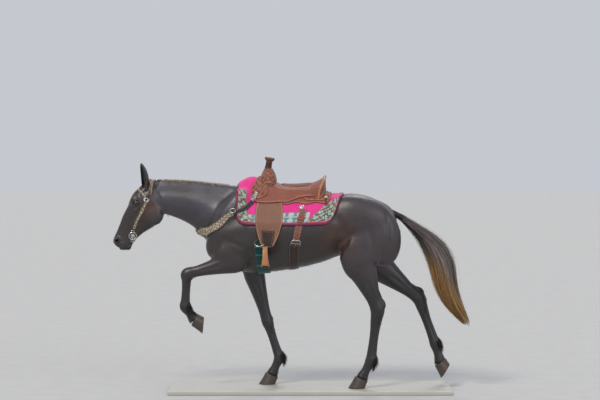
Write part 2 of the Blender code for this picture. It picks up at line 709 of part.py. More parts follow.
def round_end(u, low, high, depth):
    """How far an edge is drawn up near the two ends of a piece, as a quarter circle."""
    if u < low:
        t = 1 - u / low
    elif u > 1 - high:
        t = 1 - (1 - u) / high
    else:
        return 0.0
    return depth * (1 - math.sqrt(max(0.0, 1 - t * t)))


def envelope(reach, hang):
    """Distances of a strap's points, row by row, drawn out so that it bridges what it would dip into."""
    if hang:
        return np.maximum.accumulate(reach, axis=0)
    padded = np.pad(reach, ((1, 1), (0, 0)), mode="edge")
    widest = np.maximum(np.maximum(padded[:-2], padded[1:-1]), padded[2:])
    padded = np.pad(widest, ((1, 1), (0, 0)), mode="edge")
    return np.maximum((padded[:-2] + padded[1:-1] + padded[2:]) / 3, reach)


def strap(name, path, width, thick, tree, axis=None, hang=False, sink=0.005, across_points=2, steps=4, taper=None):
    """A strap laid along a path of places over the base: on the nearest surface, or, with the height of an
    axis along X, on what a ray to that axis meets; a hanging one falls straight from its widest place."""
    rows = smooth_rows(path, steps)
    places, outs = [], []
    for i, row in enumerate(rows):
        along = Vector(rows[min(i + 1, len(rows) - 1)] - rows[max(i - 1, 0)]).normalized()
        guide = Vector(row) + Vector((0, 0, BASE_HEIGHT))
        if hang:
            normal = Vector((0, math.copysign(1, guide.y), 0))
        elif axis is None:
            _, normal, _, _ = tree.find_nearest(guide)
        else:
            normal = (guide - Vector((guide.x, 0, axis + BASE_HEIGHT))).normalized()
        across = along.cross(normal).normalized()
        half = width / 2 * (1 if taper is None else taper(i / (len(rows) - 1)))
        place_row, out_row = [], []
        for t in np.linspace(-1, 1, across_points + 1):
            point = guide + across * half * t
            if hang:
                out = normal
            elif axis is not None:
                out = (point - Vector((point.x, 0, axis + BASE_HEIGHT))).normalized()
            if axis is None and not hang:
                place, out, _, _ = tree.find_nearest(point)
            else:
                place, _, _, _ = tree.ray_cast(point + out * 0.25, -out)
                if place is None:
                    place = point - out * 0.30
            place_row.append(place)
            out_row.append(out)
        places.append(place_row)
        outs.append(out_row)
    if axis is not None or hang:
        level = axis + BASE_HEIGHT if axis is not None else 0.0
        centres = [[Vector((p.x, 0, p.z if hang else level)) for p in row] for row in places]
        reach = np.array([[(p - c).dot(o) for p, c, o in zip(*rows3)] for rows3 in zip(places, centres, outs)])
        reach = envelope(reach, hang)
        places = [[c + o * float(r) for c, o, r in zip(*rows3)] for rows3 in zip(centres, outs, reach)]
    loops = []
    for place_row, out_row in zip(places, outs):
        outside = [place + out * thick for place, out in zip(place_row, out_row)]
        inside = [place - out * sink for place, out in zip(place_row, out_row)]
        loops.append(outside + inside[::-1])
    bm = bmesh.new()
    add_tube(bm, loops)
    return new_object(name, bm)


def ear(name, side):
    """A cupped leaf: crescents from a plain root to a pointed tip, its opening turned out and forward."""
    root = Vector(EAR_ROOT)
    tip = Vector(EAR_TIP)
    up = (tip - root).normalized()
    open_to = Vector((-0.72, 0.62, 0)).normalized()
    open_to = (open_to - up * open_to.dot(up)).normalized()
    wide = up.cross(open_to)
    loops = []
    for share, half, wrap, hollow in ((-0.10, 0.80, 2.4, 0.0), (0.08, 0.95, 2.3, 0.20), (0.22, 1.04, 2.05, 0.78),
                                      (0.48, 0.97, 1.75, 0.84), (0.72, 0.72, 1.60, 0.84),
                                      (0.90, 0.36, 1.50, 0.80), (1.0, 0.05, 1.45, 0.40)):
        middle = root + up * (EAR_LENGTH * share) - open_to * (0.006 * math.sin(math.pi * share))
        radius = EAR_HALF_WIDTH * half
        outer = [middle + wide * (radius * math.sin(a)) - open_to * (radius * 0.9 * math.cos(a))
                 for a in np.linspace(-wrap, wrap, 8)]
        mouth = (outer[0] + outer[-1]) / 2
        loop = outer[:]
        for k, a in enumerate(np.linspace(wrap * 0.93, -wrap * 0.93, 6)):
            deep = middle + wide * ((radius - EAR_WALL) * math.sin(a)) - open_to * ((radius - EAR_WALL) * 0.9 * math.cos(a))
            flat = outer[-1].lerp(outer[0], (k + 1) / 7) + (mouth - middle) * 0.02
            loop.append(flat.lerp(deep, hollow))
        loops.append([Vector((p.x, p.y * side, p.z + BASE_HEIGHT)) for p in loop])
    bm = bmesh.new()
    add_tube(bm, loops)
    return new_object(name, bm)


def lid(side, upper):
    """A lid: a crescent that bends over the eyeball between its two corners."""
    eye = Vector((EYE[0], EYE[1] * side, EYE[2] + BASE_HEIGHT))
    front = Vector((-0.53, 0, -0.62)).normalized()
    out = Vector((-0.22, side, 0.02)).normalized()
    over = out.cross(front) * (1 if side > 0 else -1)
    over = (over - out * over.dot(out)).normalized()
    if over.z < 0:
        over = -over
    lift = 0.60 if upper else -0.42
    loops = []
    for t in np.linspace(-1, 1, 8):
        bend = lift * (1 - t * t) ** 0.8
        aim = (out + front * (1.02 * t) + over * bend).normalized()
        girth = LID_THICK * (0.35 + 0.65 * (1 - t * t))
        middle = eye + aim * LID_REACH
        along = front
        rise = aim.cross(along).normalized()
        loops.append([middle + aim * (girth * 0.62 * math.cos(a)) + rise * (girth * math.sin(a))
                      for a in np.linspace(0, 2 * math.pi, 6, endpoint=False)])
    bm = bmesh.new()
    add_tube(bm, loops)
    return new_object("lid", bm)


def finish_head(head):
    """Sockets, lids, nostrils and the line of the mouth."""
    tree = surface(head)
    eyes = {}
    for side, word in ((LEFT, "left"), (RIGHT, "right")):
        for upper in (True, False):
            made = lid(side, upper)
            boolean(head, made, 'UNION')
            remove(made)
        bm = bmesh.new()
        add_ball(bm, (EYE[0], side * EYE[1], EYE[2]), (EYE_RADIUS,) * 3, segments=14, rings=9)
        eyes[word] = new_object("eye_" + word, bm)
        bm = bmesh.new()
        add_ball(bm, (NOSTRIL[0], side * NOSTRIL[1], NOSTRIL[2]), NOSTRIL_HALF, 62, segments=12, rings=8)
        add = new_object("nostril", bm)
        boolean(head, add, 'DIFFERENCE')
        remove(add)
    line = [(x, -y, z) for x, y, z in MOUTH_LINE] + [(x, y, z) for x, y, z in reversed(MOUTH_LINE[:-1])]
    mouth = strap("mouth", line, 0.0045, 0.004, tree, sink=0.008, across_points=1, steps=2)
    boolean(head, mouth, 'DIFFERENCE')
    remove(mouth)
    clear_of(head, *eyes.values())
    return eyes


def lock(path, ways, width, thick):
    """A flat lock along a path; ways give the direction of its width at each point."""
    loops = []
    last = len(path) - 1
    for i, (point, way) in enumerate(zip(path, ways)):
        t = i / last
        along = (path[min(i + 1, last)] - path[max(i - 1, 0)]).normalized()
        flat = (way - along * way.dot(along)).normalized()
        rise = along.cross(flat)
        swell = min(1.0, 0.55 + 1.6 * t) * (1 - max(0.0, t - 0.35) / 0.65 * 0.93)
        loops.append([point + flat * (width / 2 * swell), point + rise * (thick / 2 * swell),
                      point - flat * (width / 2 * swell), point - rise * (thick / 2 * swell)])
    bm = bmesh.new()
    add_tube(bm, loops)
    return new_object("lock", bm)


def join_locks(node, locks):
    """Joins the locks to the node by one union, and leaves one closed body."""
    group = collection("locks")
    for made in locks:
        HORSE.objects.unlink(made)
        group.objects.link(made)
    before = node.data.copy()
    for solver in ('MANIFOLD', 'EXACT'):
        modifier = node.modifiers.new("locks", 'BOOLEAN')
        modifier.operation = 'UNION'
        modifier.solver = solver
        modifier.operand_type = 'COLLECTION'
        modifier.collection = group
        bake(node)
        if is_closed(node.data):
            break
        node.data = before
    remove(*locks)
    bpy.data.collections.remove(group)
    return keep_largest(node)


def tail_point(rows, share, across=0.0, side=0.0):
    """A place in the tail: a share down its line, and shares of its half sizes off it."""
    u = share * (len(rows) - 1)
    i = min(int(u), len(rows) - 2)
    x, z, half, wide = rows[i] + (rows[i + 1] - rows[i]) * (u - i)
    along = rows[min(i + 1, len(rows) - 1)] - rows[max(i - 1, 0)]
    along = along[:2] / np.hypot(*along[:2])
    return Vector((x + along[1] * half * across, wide * side, z - along[0] * half * across + BASE_HEIGHT))


def build_tail(torso):
    rng = np.random.default_rng(SEED)
    rows = smooth_rows(TAIL_LINE, 4)
    loops = []
    for share in np.linspace(0, DOCK_SHARE, 6):
        slim = 0.80 - 0.55 * share / DOCK_SHARE
        loops.append([tail_point(rows, share, slim * math.cos(a), slim * math.sin(a))
                      for a in np.linspace(0, 2 * math.pi, 10, endpoint=False)])
    bm = bmesh.new()
    add_tube(bm, loops)
    tail = new_object("tail", bm)
    locks = []
    for k in range(TAIL_LOCKS):
        angle = 2.399963 * k + rng.uniform(-0.2, 0.2)
        spread = math.sqrt((k + 0.5) / TAIL_LOCKS)
        start = 0.02 + DOCK_SHARE * 0.85 * rng.random() * (0.4 + 0.6 * spread)
        end = rng.uniform(0.80, 1.0)
        path, ways = [], []
        for t in np.linspace(0, 1, 6):
            share = start + (end - start) * t
            out = spread * min(1.0, 0.25 + 1.5 * t) * 0.92
            wave = 0.10 * math.sin(5 * t + 3 * angle)
            path.append(tail_point(rows, share, out * math.cos(angle) + wave, out * math.sin(angle)))
            ways.append(Vector((-0.25 * math.sin(angle), math.cos(angle), 0.1 * math.sin(angle))) if abs(math.cos(angle)) > 0.5
                        else Vector((0.8, 0.3 * math.cos(angle), 0.5)))
        locks.append(lock(path, ways, rng.uniform(0.034, 0.050), rng.uniform(0.010, 0.014)))
    join_locks(tail, locks)
    return clear_of(tail, torso)


def build_mane(neck, skin, others):
    """Locks that fall from the crest down the neck's right side."""
    rng = np.random.default_rng(SEED + 1)
    tree = surface(skin)
    locks = []
    for k in range(MANE_LOCKS):
        x = MANE_FIRST + (MANE_LAST - MANE_FIRST) * (k + 0.5) / MANE_LOCKS + rng.uniform(-0.006, 0.006)
        length = rng.uniform(0.20, 0.30) * (1 - 0.35 * k / MANE_LOCKS)
        lift = 0.004 + 0.004 * (k % 3)
        sweep = rng.uniform(0.02, 0.06)
        top, _, _, _ = tree.ray_cast(Vector((x, 0, 2.0)), Vector((0, 0, -1)))
        path = [top + Vector((0, -0.004, -0.012)), top + Vector((0.002, 0.010, lift))]
        ways = [Vector((1, 0, 0))] * 2
        for t in np.linspace(0.18, 1, 4):
            guide = Vector((x + sweep * t, 0.60, top.z - length * t))
            place, _, _, _ = tree.ray_cast(guide, Vector((0, -1, 0)))
            if place is None:
                break
            path.append(place + Vector((0, lift + 0.002, 0)))
            ways.append(Vector((1, 0, -0.1)))
        made = lock(path, ways, rng.uniform(0.046, 0.060), rng.uniform(0.009, 0.012))
        locks.append(clear_of(made, *others))
    return join_locks(neck, locks)


def build_forelock(head, skin, others):
    """Locks from the poll down the forehead, over the browband."""
    rng = np.random.default_rng(SEED + 2)
    tree = surface(skin)
    locks = []
    for k in range(FORELOCKS):
        side = -0.030 + 0.072 * (k + 0.5) / FORELOCKS
        length = rng.uniform(0.15, 0.21)
        line = smooth_rows(((-1.190, 1.535), (-1.250, 1.510), (-1.310, 1.455), (-1.345, 1.385), (-1.375, 1.320)), 4)
        count = max(8, int(len(line) * length / 0.22))
        path, ways = [], []
        for t in np.linspace(0, 1, 5):
            x, z = line[min(int(t * count), len(line) - 1)]
            guide = Vector((x, side * (0.4 + 0.9 * t), z + BASE_HEIGHT))
            place, out, _, _ = tree.find_nearest(guide)
            path.append(place + out * (-0.012 if t == 0 else 0.0075 - 0.004 * max(0, t - 0.5)))
            ways.append(Vector((0.1, 1, 0)))
        made = lock(path, ways, rng.uniform(0.022, 0.030), rng.uniform(0.011, 0.014))
        locks.append(clear_of(made, *others))
    return join_locks(head, locks)


def pad_lift(offset):
    """A lift that is the same all over."""
    return lambda x, s, place: offset


def build_saddle(nodes, skin):
    """Pad, skirts, seat, fork, horn and cantle, laid one on another."""
    torso, neck = nodes["torso"], nodes["neck"]
    tree = surface(skin)

    def front(s):
        return PAD_FRONT + 0.020 * (1 - s)

    def rear(s):
        return PAD_REAR - 0.075 * s ** 2

    def tent(x, s, place):
        rise = 0.030 * math.exp(-((x + 0.43) / 0.11) ** 2) * max(0.0, 1 - abs(s) * 2.2)
        return PAD_THICK + rise

    pad = drape("saddle_pad", tree, front, rear, lambda u: PAD_EDGE + round_end(u, 0.10, 0.10, 0.075),
                pad_lift(-SINK), tent, along=9, around=14)
    clear_of(pad, torso, neck)
    over_pad = surface(pad, torso)
    skirts = drape("saddle_skirts", over_pad, lambda s: SKIRT_FRONT, lambda s: SKIRT_REAR,
                   lambda u: SKIRT_EDGE + round_end(u, 0.18, 0.14, 0.060),
                   pad_lift(-SINK), pad_lift(SKIRT_THICK), along=6, around=12)
    clear_of(skirts, pad)
    over_skirts = surface(skirts, pad, torso)
    heights = np.array(SEAT_HEIGHTS)

    def seat_lift(x, s, place):
        crown = np.interp(x, heights[:, 0], heights[:, 1]) + BASE_HEIGHT
        side = max(0.0, 1 - (abs(s) / 0.78) ** 2.2)
        return 0.009 + max(0.0, crown - place.z) * side

    seat = drape("saddle_seat", over_skirts, lambda s: SEAT_FRONT, lambda s: SEAT_REAR,
                 lambda u: 1.408 + round_end(u, 0.20, 0.16, 0.045), pad_lift(-SINK), seat_lift, along=9, around=12)
    clear_of(seat, skirts, pad)

    def arch(name, sections, foot):
        loops = []
        for x, half, top in sections:
            loops.append([(x, half * math.sin(a), foot + BASE_HEIGHT + (top - foot) * max(0.0, math.cos(a)) ** 0.62)
                          for a in np.linspace(-math.pi / 2, math.pi / 2, 13)]
                         + [(x, half * t, foot + BASE_HEIGHT - 0.01) for t in (0.6, 0.0, -0.6)])
        bm = bmesh.new()
        add_tube(bm, loops)
        return new_object(name, bm)

    fork = arch("saddle_fork", FORK_SECTIONS, 1.440)
    cantle = arch("saddle_cantle", CANTLE_SECTIONS, 1.440)
    bm = bmesh.new()
    foot = Vector((HORN_FOOT[0], 0, HORN_FOOT[1] + BASE_HEIGHT))
    head = Vector((HORN_TOP[0], 0, HORN_TOP[1] + BASE_HEIGHT))
    lean = (head - foot).to_track_quat('Z', 'Y').to_matrix().to_4x4()
    loops = []
    for share, radius in ((0.0, 0.030), (0.18, 0.024), (0.70, 0.021), (0.86, 0.026), (0.92, 0.035),
                          (1.05, 0.036), (1.13, 0.028), (1.16, 0.012)):
        loops.append([foot + lean @ Vector((radius * math.cos(a), radius * math.sin(a), (head - foot).length * share))
                      for a in np.linspace(0, 2 * math.pi, 14, endpoint=False)])
    add_tube(bm, loops)
    horn = new_object("saddle_horn", bm)
    clear_of(fork, seat, skirts, pad)
    clear_of(horn, fork)
    clear_of(cantle, seat, skirts, pad)
    made = {obj.name: obj for obj in (pad, skirts, seat, fork, horn, cantle)}
    nodes.update(made)
    return made


def around_trunk(x, start, end, count, slant=0.0):
    """Places round the trunk at x, from one angle from straight up to another, in degrees."""
    return [(x + slant * t, 0.34 * math.sin(a), TRUNK_AXIS + 0.34 * math.cos(a))
            for t, a in zip(np.linspace(0, 1, count), np.radians(np.linspace(start, end, count)))]


def build_hangings(nodes, skin):
    """Fenders and stirrups, cinches and their billets and buckles."""
    saddle = [nodes[name] for name in ("saddle_seat", "saddle_skirts", "saddle_pad")]
    torso = nodes["torso"]
    trunk = surface(torso)
    back = strap("cinch_back", around_trunk(-0.119, -108, -252, 8), 0.075, 0.007, trunk, axis=TRUNK_AXIS, steps=2)
    clear_of(back, torso)
    nodes["cinch_back"] = back
    front = strap("cinch_front", around_trunk(-0.372, -108, -252, 8, slant=0.072), 0.085, 0.009, trunk,
                  axis=TRUNK_AXIS, steps=2)
    clear_of(front, torso, nodes["foreleg_right_upper"])
    nodes["cinch_front"] = front
    for side, word in ((LEFT, "left"), (RIGHT, "right")):
        foot = -0.372 if side == LEFT else -0.300
        fender_path = [(-0.296, side * 0.30, 1.425), (-0.300, side * 0.32, 1.330), (-0.306, side * 0.32, 1.230),
                       (-0.312, side * 0.315, 1.130), (-0.316, side * 0.305, 1.056)]
        billet_path = [(-0.062, side * 0.34, 1.330), (-0.080, side * 0.34, 1.240), (-0.096, side * 0.335, 1.150),
                       (-0.108, side * 0.325, 1.080)]
        latigo_path = [(-0.368, side * 0.30, 1.385), (-0.370, side * 0.33, 1.280), (foot, side * 0.33, 1.160),
                       (foot, side * 0.31, 1.080)]
        latigo = strap("latigo_" + word, latigo_path, 0.045, 0.006, surface(*saddle, torso, front), axis=TRUNK_AXIS,
                       steps=2, across_points=1)
        clear_of(latigo, *saddle, torso, front)
        billet = strap("billet_" + word, billet_path, 0.050, 0.006, surface(*saddle, torso, back), axis=TRUNK_AXIS,
                       steps=2, across_points=1)
        clear_of(billet, *saddle, torso, back)
        fender = strap("fender_" + word, fender_path, 0.205, 0.008, surface(*saddle, torso, latigo, front),
                       hang=True,
                       across_points=3, steps=2, sink=-0.0025,
                       taper=lambda t: 1 - 0.62 * max(0.0, (t - 0.45) / 0.55) ** 1.2 - 0.18 * max(0.0, 0.25 - t) / 0.25)
        clear_of(fender, *saddle, torso, latigo, front)
        for obj in (latigo, billet, fender):
            nodes[obj.name] = obj
        nodes["stirrup_" + word] = clear_of(stirrup("stirrup_" + word, side), fender, torso, front, latigo)
        nodes["buckle_" + word] = buckle("buckle_" + word, side, surface(billet, torso, back), (billet, back, torso))
        nodes["concho_" + word] = disc("concho_" + word, tree_hit(surface(*saddle), -0.062, side, 1.352), 0.019, 0.006,
                                       (saddle[1], saddle[2], billet, saddle[0]))


def tree_hit(tree, x, side, z):
    """The outermost place and normal on a side at (x, z)."""
    place, normal, _, _ = tree.ray_cast(Vector((x, side * 0.8, z + BASE_HEIGHT)), Vector((0, -side, 0)))
    if normal.y * side < 0:
        normal = -normal
    return place, normal


def disc(name, hit, radius, thick, others):
    """A round plate on a surface."""
    place, normal = hit
    turn = normal.to_track_quat('Z', 'Y').to_matrix().to_4x4()
    bm = bmesh.new()
    bmesh.ops.create_cone(bm, cap_ends=True, segments=14, radius1=radius, radius2=radius * 0.72, depth=thick + 0.006,
                          matrix=Matrix.Translation(place + normal * (thick / 2 - 0.003)) @ turn)
    obj = new_object(name, bm)
    return clear_of(obj, *others)


def buckle(name, side, tree, others):
    """A square frame buckle with a solid plate behind its tongue."""
    place, normal = tree_hit(tree, -0.106, side, 1.090)
    turn = normal.to_track_quat('Z', 'Y').to_matrix().to_4x4()
    bm = bmesh.new()
    bmesh.ops.create_cube(bm, size=1.0, matrix=Matrix.Translation(place + normal * 0.001) @ turn
                          @ Matrix.Diagonal((0.062, 0.066, 0.014, 1)))
    obj = new_object(name, bm)
    return clear_of(obj, *others)


STIRRUP_X = -0.330
STIRRUP_Y = 0.308
STIRRUP_TOP = 1.062
STIRRUP_OUTLINE = ((0.000, 0.000), (0.030, -0.004), (0.052, -0.030), (0.068, -0.080), (0.074, -0.118),
                   (0.060, -0.136), (0.030, -0.140), (0.000, -0.140))


def stirrup(name, side):
    """A bell-shaped loop whose opening faces fore and aft, with a deep tread."""
    half = STIRRUP_OUTLINE
    outline = list(half) + [(-y, z) for y, z in reversed(half[1:-1])]
    count = 20
    curve = closed_curve(outline, count)
    loops = []
    for i in range(count):
        y, z = curve[i]
        ahead, behind = curve[(i + 1) % count], curve[i - 1]
        along = Vector((0, *(ahead - behind))).normalized()
        out = along.cross(Vector((1, 0, 0))).normalized()
        middle = Vector((STIRRUP_X, side * STIRRUP_Y + y, STIRRUP_TOP + z + BASE_HEIGHT))
        low = max(0.0, min(1.0, -z / 0.14))
        half_deep = 0.018 + 0.014 * low ** 3
        half_thick = 0.006
        loops.append([middle + Vector((half_deep * a, 0, 0)) + out * (half_thick * b)
                      for a, b in ((-1, -1), (1, -1), (1, 1), (-1, 1))])
    bm = bmesh.new()
    made = [[bm.verts.new(p) for p in loop] for loop in loops]
    for i in range(count):
        a, b = made[i], made[(i + 1) % count]
        for j in range(4):
            k = (j + 1) % 4
            bm.faces.new((a[j], a[k], b[k], b[j]))
    return new_object(name, bm)


def build_collar(nodes, skin, plain_neck):
    """The breast collar: a wide shaped band round the chest, and its straps and rings at the saddle."""
    tree = surface(skin)
    under = [nodes["torso"], plain_neck]
    wide = [(-0.560, 0.250, 1.330), (-0.640, 0.240, 1.270), (-0.725, 0.200, 1.205), (-0.800, 0.120, 1.160),
            (-0.826, 0.055, 1.145), (-0.835, 0.000, 1.140)]
    path = [(x, -y, z) for x, y, z in wide] + [(x, y, z) for x, y, z in reversed(wide[:-1])]
    band = strap("breast_collar", path, 0.078, 0.007, tree, across_points=2, steps=2,
                 taper=lambda t: 1 - 0.5 * (abs(2 * t - 1) ** 6))
    clear_of(band, *under)
    nodes["breast_collar"] = band
    pad, skirts, seat = (nodes[name] for name in ("saddle_pad", "saddle_skirts", "saddle_seat"))
    for side, word in ((LEFT, "left"), (RIGHT, "right")):
        line = [(-0.436, side * 0.205, 1.410), (-0.480, side * 0.235, 1.382), (-0.530, side * 0.245, 1.350),
                (-0.566, side * 0.250, 1.327)]
        made = strap("collar_strap_" + word, line, 0.030, 0.006, surface(skin, pad, skirts, band), axis=TRUNK_AXIS,
                     steps=2, across_points=1)
        clear_of(made, pad, skirts, band, *under)
        nodes[made.name] = made
        ring_place = tree_hit(surface(pad, skirts, seat), -0.418, side, 1.418)
        nodes["collar_ring_" + word] = disc("collar_ring_" + word, ring_place, 0.020, 0.008, (pad, skirts, seat, made))


HEADSTALL_CROWN = ((-1.206, 0.090, 1.410), (-1.188, 0.085, 1.440), (-1.160, 0.075, 1.485), (-1.138, 0.050, 1.532),
                   (-1.126, 0.000, 1.555))
BROWBAND = ((-1.218, 0.088, 1.418), (-1.246, 0.085, 1.456), (-1.278, 0.060, 1.482), (-1.288, 0.000, 1.495))
CHEEKPIECE = ((-1.213, 0.100, 1.385), (-1.228, 0.105, 1.350), (-1.256, 0.100, 1.300), (-1.291, 0.080, 1.230),
              (-1.312, 0.070, 1.165))
BIT_PLACE = (-1.319, 1.128)


def build_headstall(nodes, skin):
    """Crown strap, browband, cheekpieces, their conchos and the bit's cheeks."""
    tree = surface(skin)
    head, neck = nodes["head"], nodes["neck"]
    crown_path = [(x, -y, z) for x, y, z in HEADSTALL_CROWN] + [(x, y, z) for x, y, z in reversed(HEADSTALL_CROWN[:-1])]
    crown = strap("headstall_crown", crown_path, 0.030, 0.005, tree, steps=2, across_points=1)
    ears = [nodes["ear_left"], nodes["ear_right"]]
    clear_of(crown, head, neck, *ears)
    brow_path = [(x, -y, z) for x, y, z in BROWBAND] + [(x, y, z) for x, y, z in reversed(BROWBAND[:-1])]
    brow = strap("headstall_browband", brow_path, 0.024, 0.004, tree, steps=2, across_points=1)
    clear_of(brow, head, crown, *ears)
    nodes["headstall_crown"], nodes["headstall_browband"] = crown, brow
    for side, word in ((LEFT, "left"), (RIGHT, "right")):
        cheek = strap("cheekpiece_" + word, [(x, side * y, z) for x, y, z in CHEEKPIECE], 0.034, 0.005, tree, steps=2,
                      across_points=1)
        clear_of(cheek, head, crown, brow)
        nodes[cheek.name] = cheek
        over = surface(head, cheek, crown, brow)
        name = "headstall_concho_" + word
        nodes[name] = disc(name, tree_hit(over, -1.214, side, 1.400), 0.021, 0.005, (cheek, crown, brow, head))
        name = "bit_cheek_" + word
        nodes[name] = disc(name, tree_hit(over, *BIT_PLACE[:1], side, BIT_PLACE[1]), 0.031, 0.009, (cheek, head))


def base():
    bpy.ops.mesh.primitive_cube_add(size=1.0)
    obj = bpy.context.active_object
    obj.name = "stand_base"
    obj.data.transform(Matrix.Diagonal((BASE_LENGTH, BASE_WIDTH, BASE_HEIGHT - GAP, 1)))
    obj.data.transform(Matrix.Translation((0, 0, (BASE_HEIGHT - GAP) / 2)))
    bevel = obj.modifiers.new("edge", 'BEVEL')
    bevel.width = BASE_EDGE
    bevel.segments = 2
    return obj


def main():
    nodes, skin, head_skin = build_flesh()
    for word, side in (("left", LEFT), ("right", RIGHT)):
        nodes["ear_" + word] = clear_of(ear("ear_" + word, side), nodes["head"], nodes["neck"])
    plain_head = copy_of(nodes["head"], "plain_head")
    eyes = finish_head(nodes["head"])
    nodes.update({"eye_" + word: obj for word, obj in eyes.items()})
    plain_neck = copy_of(nodes["neck"], "plain_neck")
    build_headstall(nodes, head_skin)
    straps = [nodes["headstall_browband"], nodes["headstall_crown"]]
    ears = [nodes["ear_left"], nodes["ear_right"]]
    build_forelock(nodes["head"], head_skin, straps + ears + [plain_neck])
    build_mane(nodes["neck"], skin, [nodes["headstall_crown"], nodes["torso"], plain_head] + ears)
    nodes["tail"] = build_tail(nodes["torso"])
    build_saddle(nodes, skin)
    build_hangings(nodes, skin)
    build_collar(nodes, skin, plain_neck)
    nodes["stand_base"] = base()
    remove(plain_head, plain_neck, skin, head_skin)
    finishes = {"head": "coat", "neck": "coat", "torso": "coat", "tail": "tail_hair", "stand_base": "base_paint",
                "saddle_pad": "felt", "cinch_front": "webbing", "breast_collar": "strap_leather"}
    starts = {"foreleg": "coat_legs", "hindleg": "coat_legs", "ear": "coat", "eye": "eye", "saddle": "saddle_leather",
              "fender": "saddle_leather", "stirrup": "rawhide", "latigo": "strap_leather", "cinch": "strap_leather",
              "billet": "saddle_leather", "buckle": "silver", "concho": "silver", "collar_ring": "silver",
              "collar_strap": "strap_leather", "headstall_concho": "silver", "headstall": "strap_leather",
              "cheekpiece": "inlay_leather", "bit": "silver"}
    for name, obj in nodes.items():
        finish = finishes.get(name) or next(f for start, f in starts.items() if name.startswith(start))
        dress(obj, "hoof" if name.endswith("hoof") else finish)


wipe()
HORSE = collection("rocky_mountain_horse")
main()
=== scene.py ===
"""A still, life-size rocky mountain horse at a long walk, in western tack, on a plain display base.

Metres, +Z up. The horse faces -X and its left side faces -Y. Places on the horse are heights over the
base's top, which BASE_HEIGHT lifts to the floor's frame.
"""
import json
import logging
import math
from collections.abc import Callable, Sequence
from dataclasses import dataclass
from enum import Enum

import bmesh
import bpy
import numpy as np
from mathutils import Matrix, Vector
from mathutils.bvhtree import BVHTree

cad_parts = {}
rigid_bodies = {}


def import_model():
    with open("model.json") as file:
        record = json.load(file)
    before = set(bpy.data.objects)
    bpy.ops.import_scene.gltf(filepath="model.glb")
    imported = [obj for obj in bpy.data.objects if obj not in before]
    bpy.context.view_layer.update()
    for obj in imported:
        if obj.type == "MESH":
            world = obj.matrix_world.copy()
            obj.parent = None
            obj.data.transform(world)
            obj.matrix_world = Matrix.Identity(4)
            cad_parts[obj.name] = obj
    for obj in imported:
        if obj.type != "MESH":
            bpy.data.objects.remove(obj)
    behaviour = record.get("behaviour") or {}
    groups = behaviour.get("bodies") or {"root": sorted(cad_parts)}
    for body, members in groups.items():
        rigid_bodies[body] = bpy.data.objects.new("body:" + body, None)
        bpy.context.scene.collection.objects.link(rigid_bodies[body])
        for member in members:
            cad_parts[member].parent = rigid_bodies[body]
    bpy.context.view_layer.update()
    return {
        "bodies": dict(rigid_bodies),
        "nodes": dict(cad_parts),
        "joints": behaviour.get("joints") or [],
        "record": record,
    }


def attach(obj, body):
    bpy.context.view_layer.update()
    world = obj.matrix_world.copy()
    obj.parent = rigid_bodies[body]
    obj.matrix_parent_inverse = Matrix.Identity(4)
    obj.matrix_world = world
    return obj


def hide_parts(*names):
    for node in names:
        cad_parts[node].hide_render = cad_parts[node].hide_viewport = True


LOG = logging.getLogger("horse")
BASE_HEIGHT = 0.030
UP = Vector((0, 0, 1))
SIDES = {"left": -1, "right": 1}


def linear(hex_colour: str) -> tuple[float, float, float, float]:
    """Turns an sRGB hex colour to the linear RGBA that shaders take.

    Args:
        hex_colour: Six hex digits after a hash.

    Returns:
        Linear red, green and blue, and an alpha of 1.
    """
    parts = [int(hex_colour[i:i + 2], 16) / 255 for i in (1, 3, 5)]
    return (*(p / 12.92 if p <= 0.04045 else ((p + 0.055) / 1.055) ** 2.4 for p in parts), 1.0)


def add_node(tree: bpy.types.NodeTree, kind: str, inputs: dict | None = None, **settings) -> bpy.types.Node:
    """Adds a node with its settings, values and links.

    Args:
        tree: The tree that gets the node.
        kind: The node's type name.
        inputs: A value, or another node's output, by input name or index.
        settings: The node's own properties.

    Returns:
        The new node.
    """
    node = tree.nodes.new(kind)
    for name, value in settings.items():
        setattr(node, name, value)
    for key, value in (inputs or {}).items():
        if isinstance(value, bpy.types.NodeSocket):
            tree.links.new(value, node.inputs[key])
        else:
            node.inputs[key].default_value = value
    return node


def smooth_rows(rows: Sequence, steps: int) -> np.ndarray:
    """Fills a list of rows in along one smooth curve.

    Args:
        rows: The rows that the curve passes through.
        steps: How many new rows each gap gets.

    Returns:
        The denser rows.
    """
    rows = np.asarray(rows, float)
    padded = np.vstack([2 * rows[0] - rows[1], rows, 2 * rows[-1] - rows[-2]])
    out = []
    for i in range(1, len(padded) - 2):
        a, b, c, d = padded[i - 1:i + 3]
        for t in np.arange(steps) / steps:
            out.append(0.5 * (2 * b + (c - a) * t + (2 * a - 5 * b + 4 * c - d) * t * t
                + (3 * b - a - 3 * c + d) * t ** 3))
    out.append(rows[-1])
    return np.array(out)


def closed_curve(points: Sequence, count: int) -> np.ndarray:
    """Spreads points on the smooth closed curve through some others.

    Args:
        points: The points that the curve passes through.
        count: How many points to make.

    Returns:
        The points on the curve.
    """
    points = np.asarray(points, float)
    out = []
    for k in range(count):
        u = k * len(points) / count
        i, t = int(u), u - int(u)
        a, b, c, d = (points[(i + j) % len(points)] for j in (-1, 0, 1, 2))
        out.append(0.5 * (2 * b + (c - a) * t + (2 * a - 5 * b + 4 * c - d) * t * t
            + (3 * b - a - 3 * c + d) * t ** 3))
    return np.array(out)


def ramp(values: np.ndarray, low: float, high: float) -> np.ndarray:
    """Rises smoothly from 0 at `low` to 1 at `high`."""
    t = np.clip((values - low) / (high - low), 0.0, 1.0)
    return t * t * (3 - 2 * t)


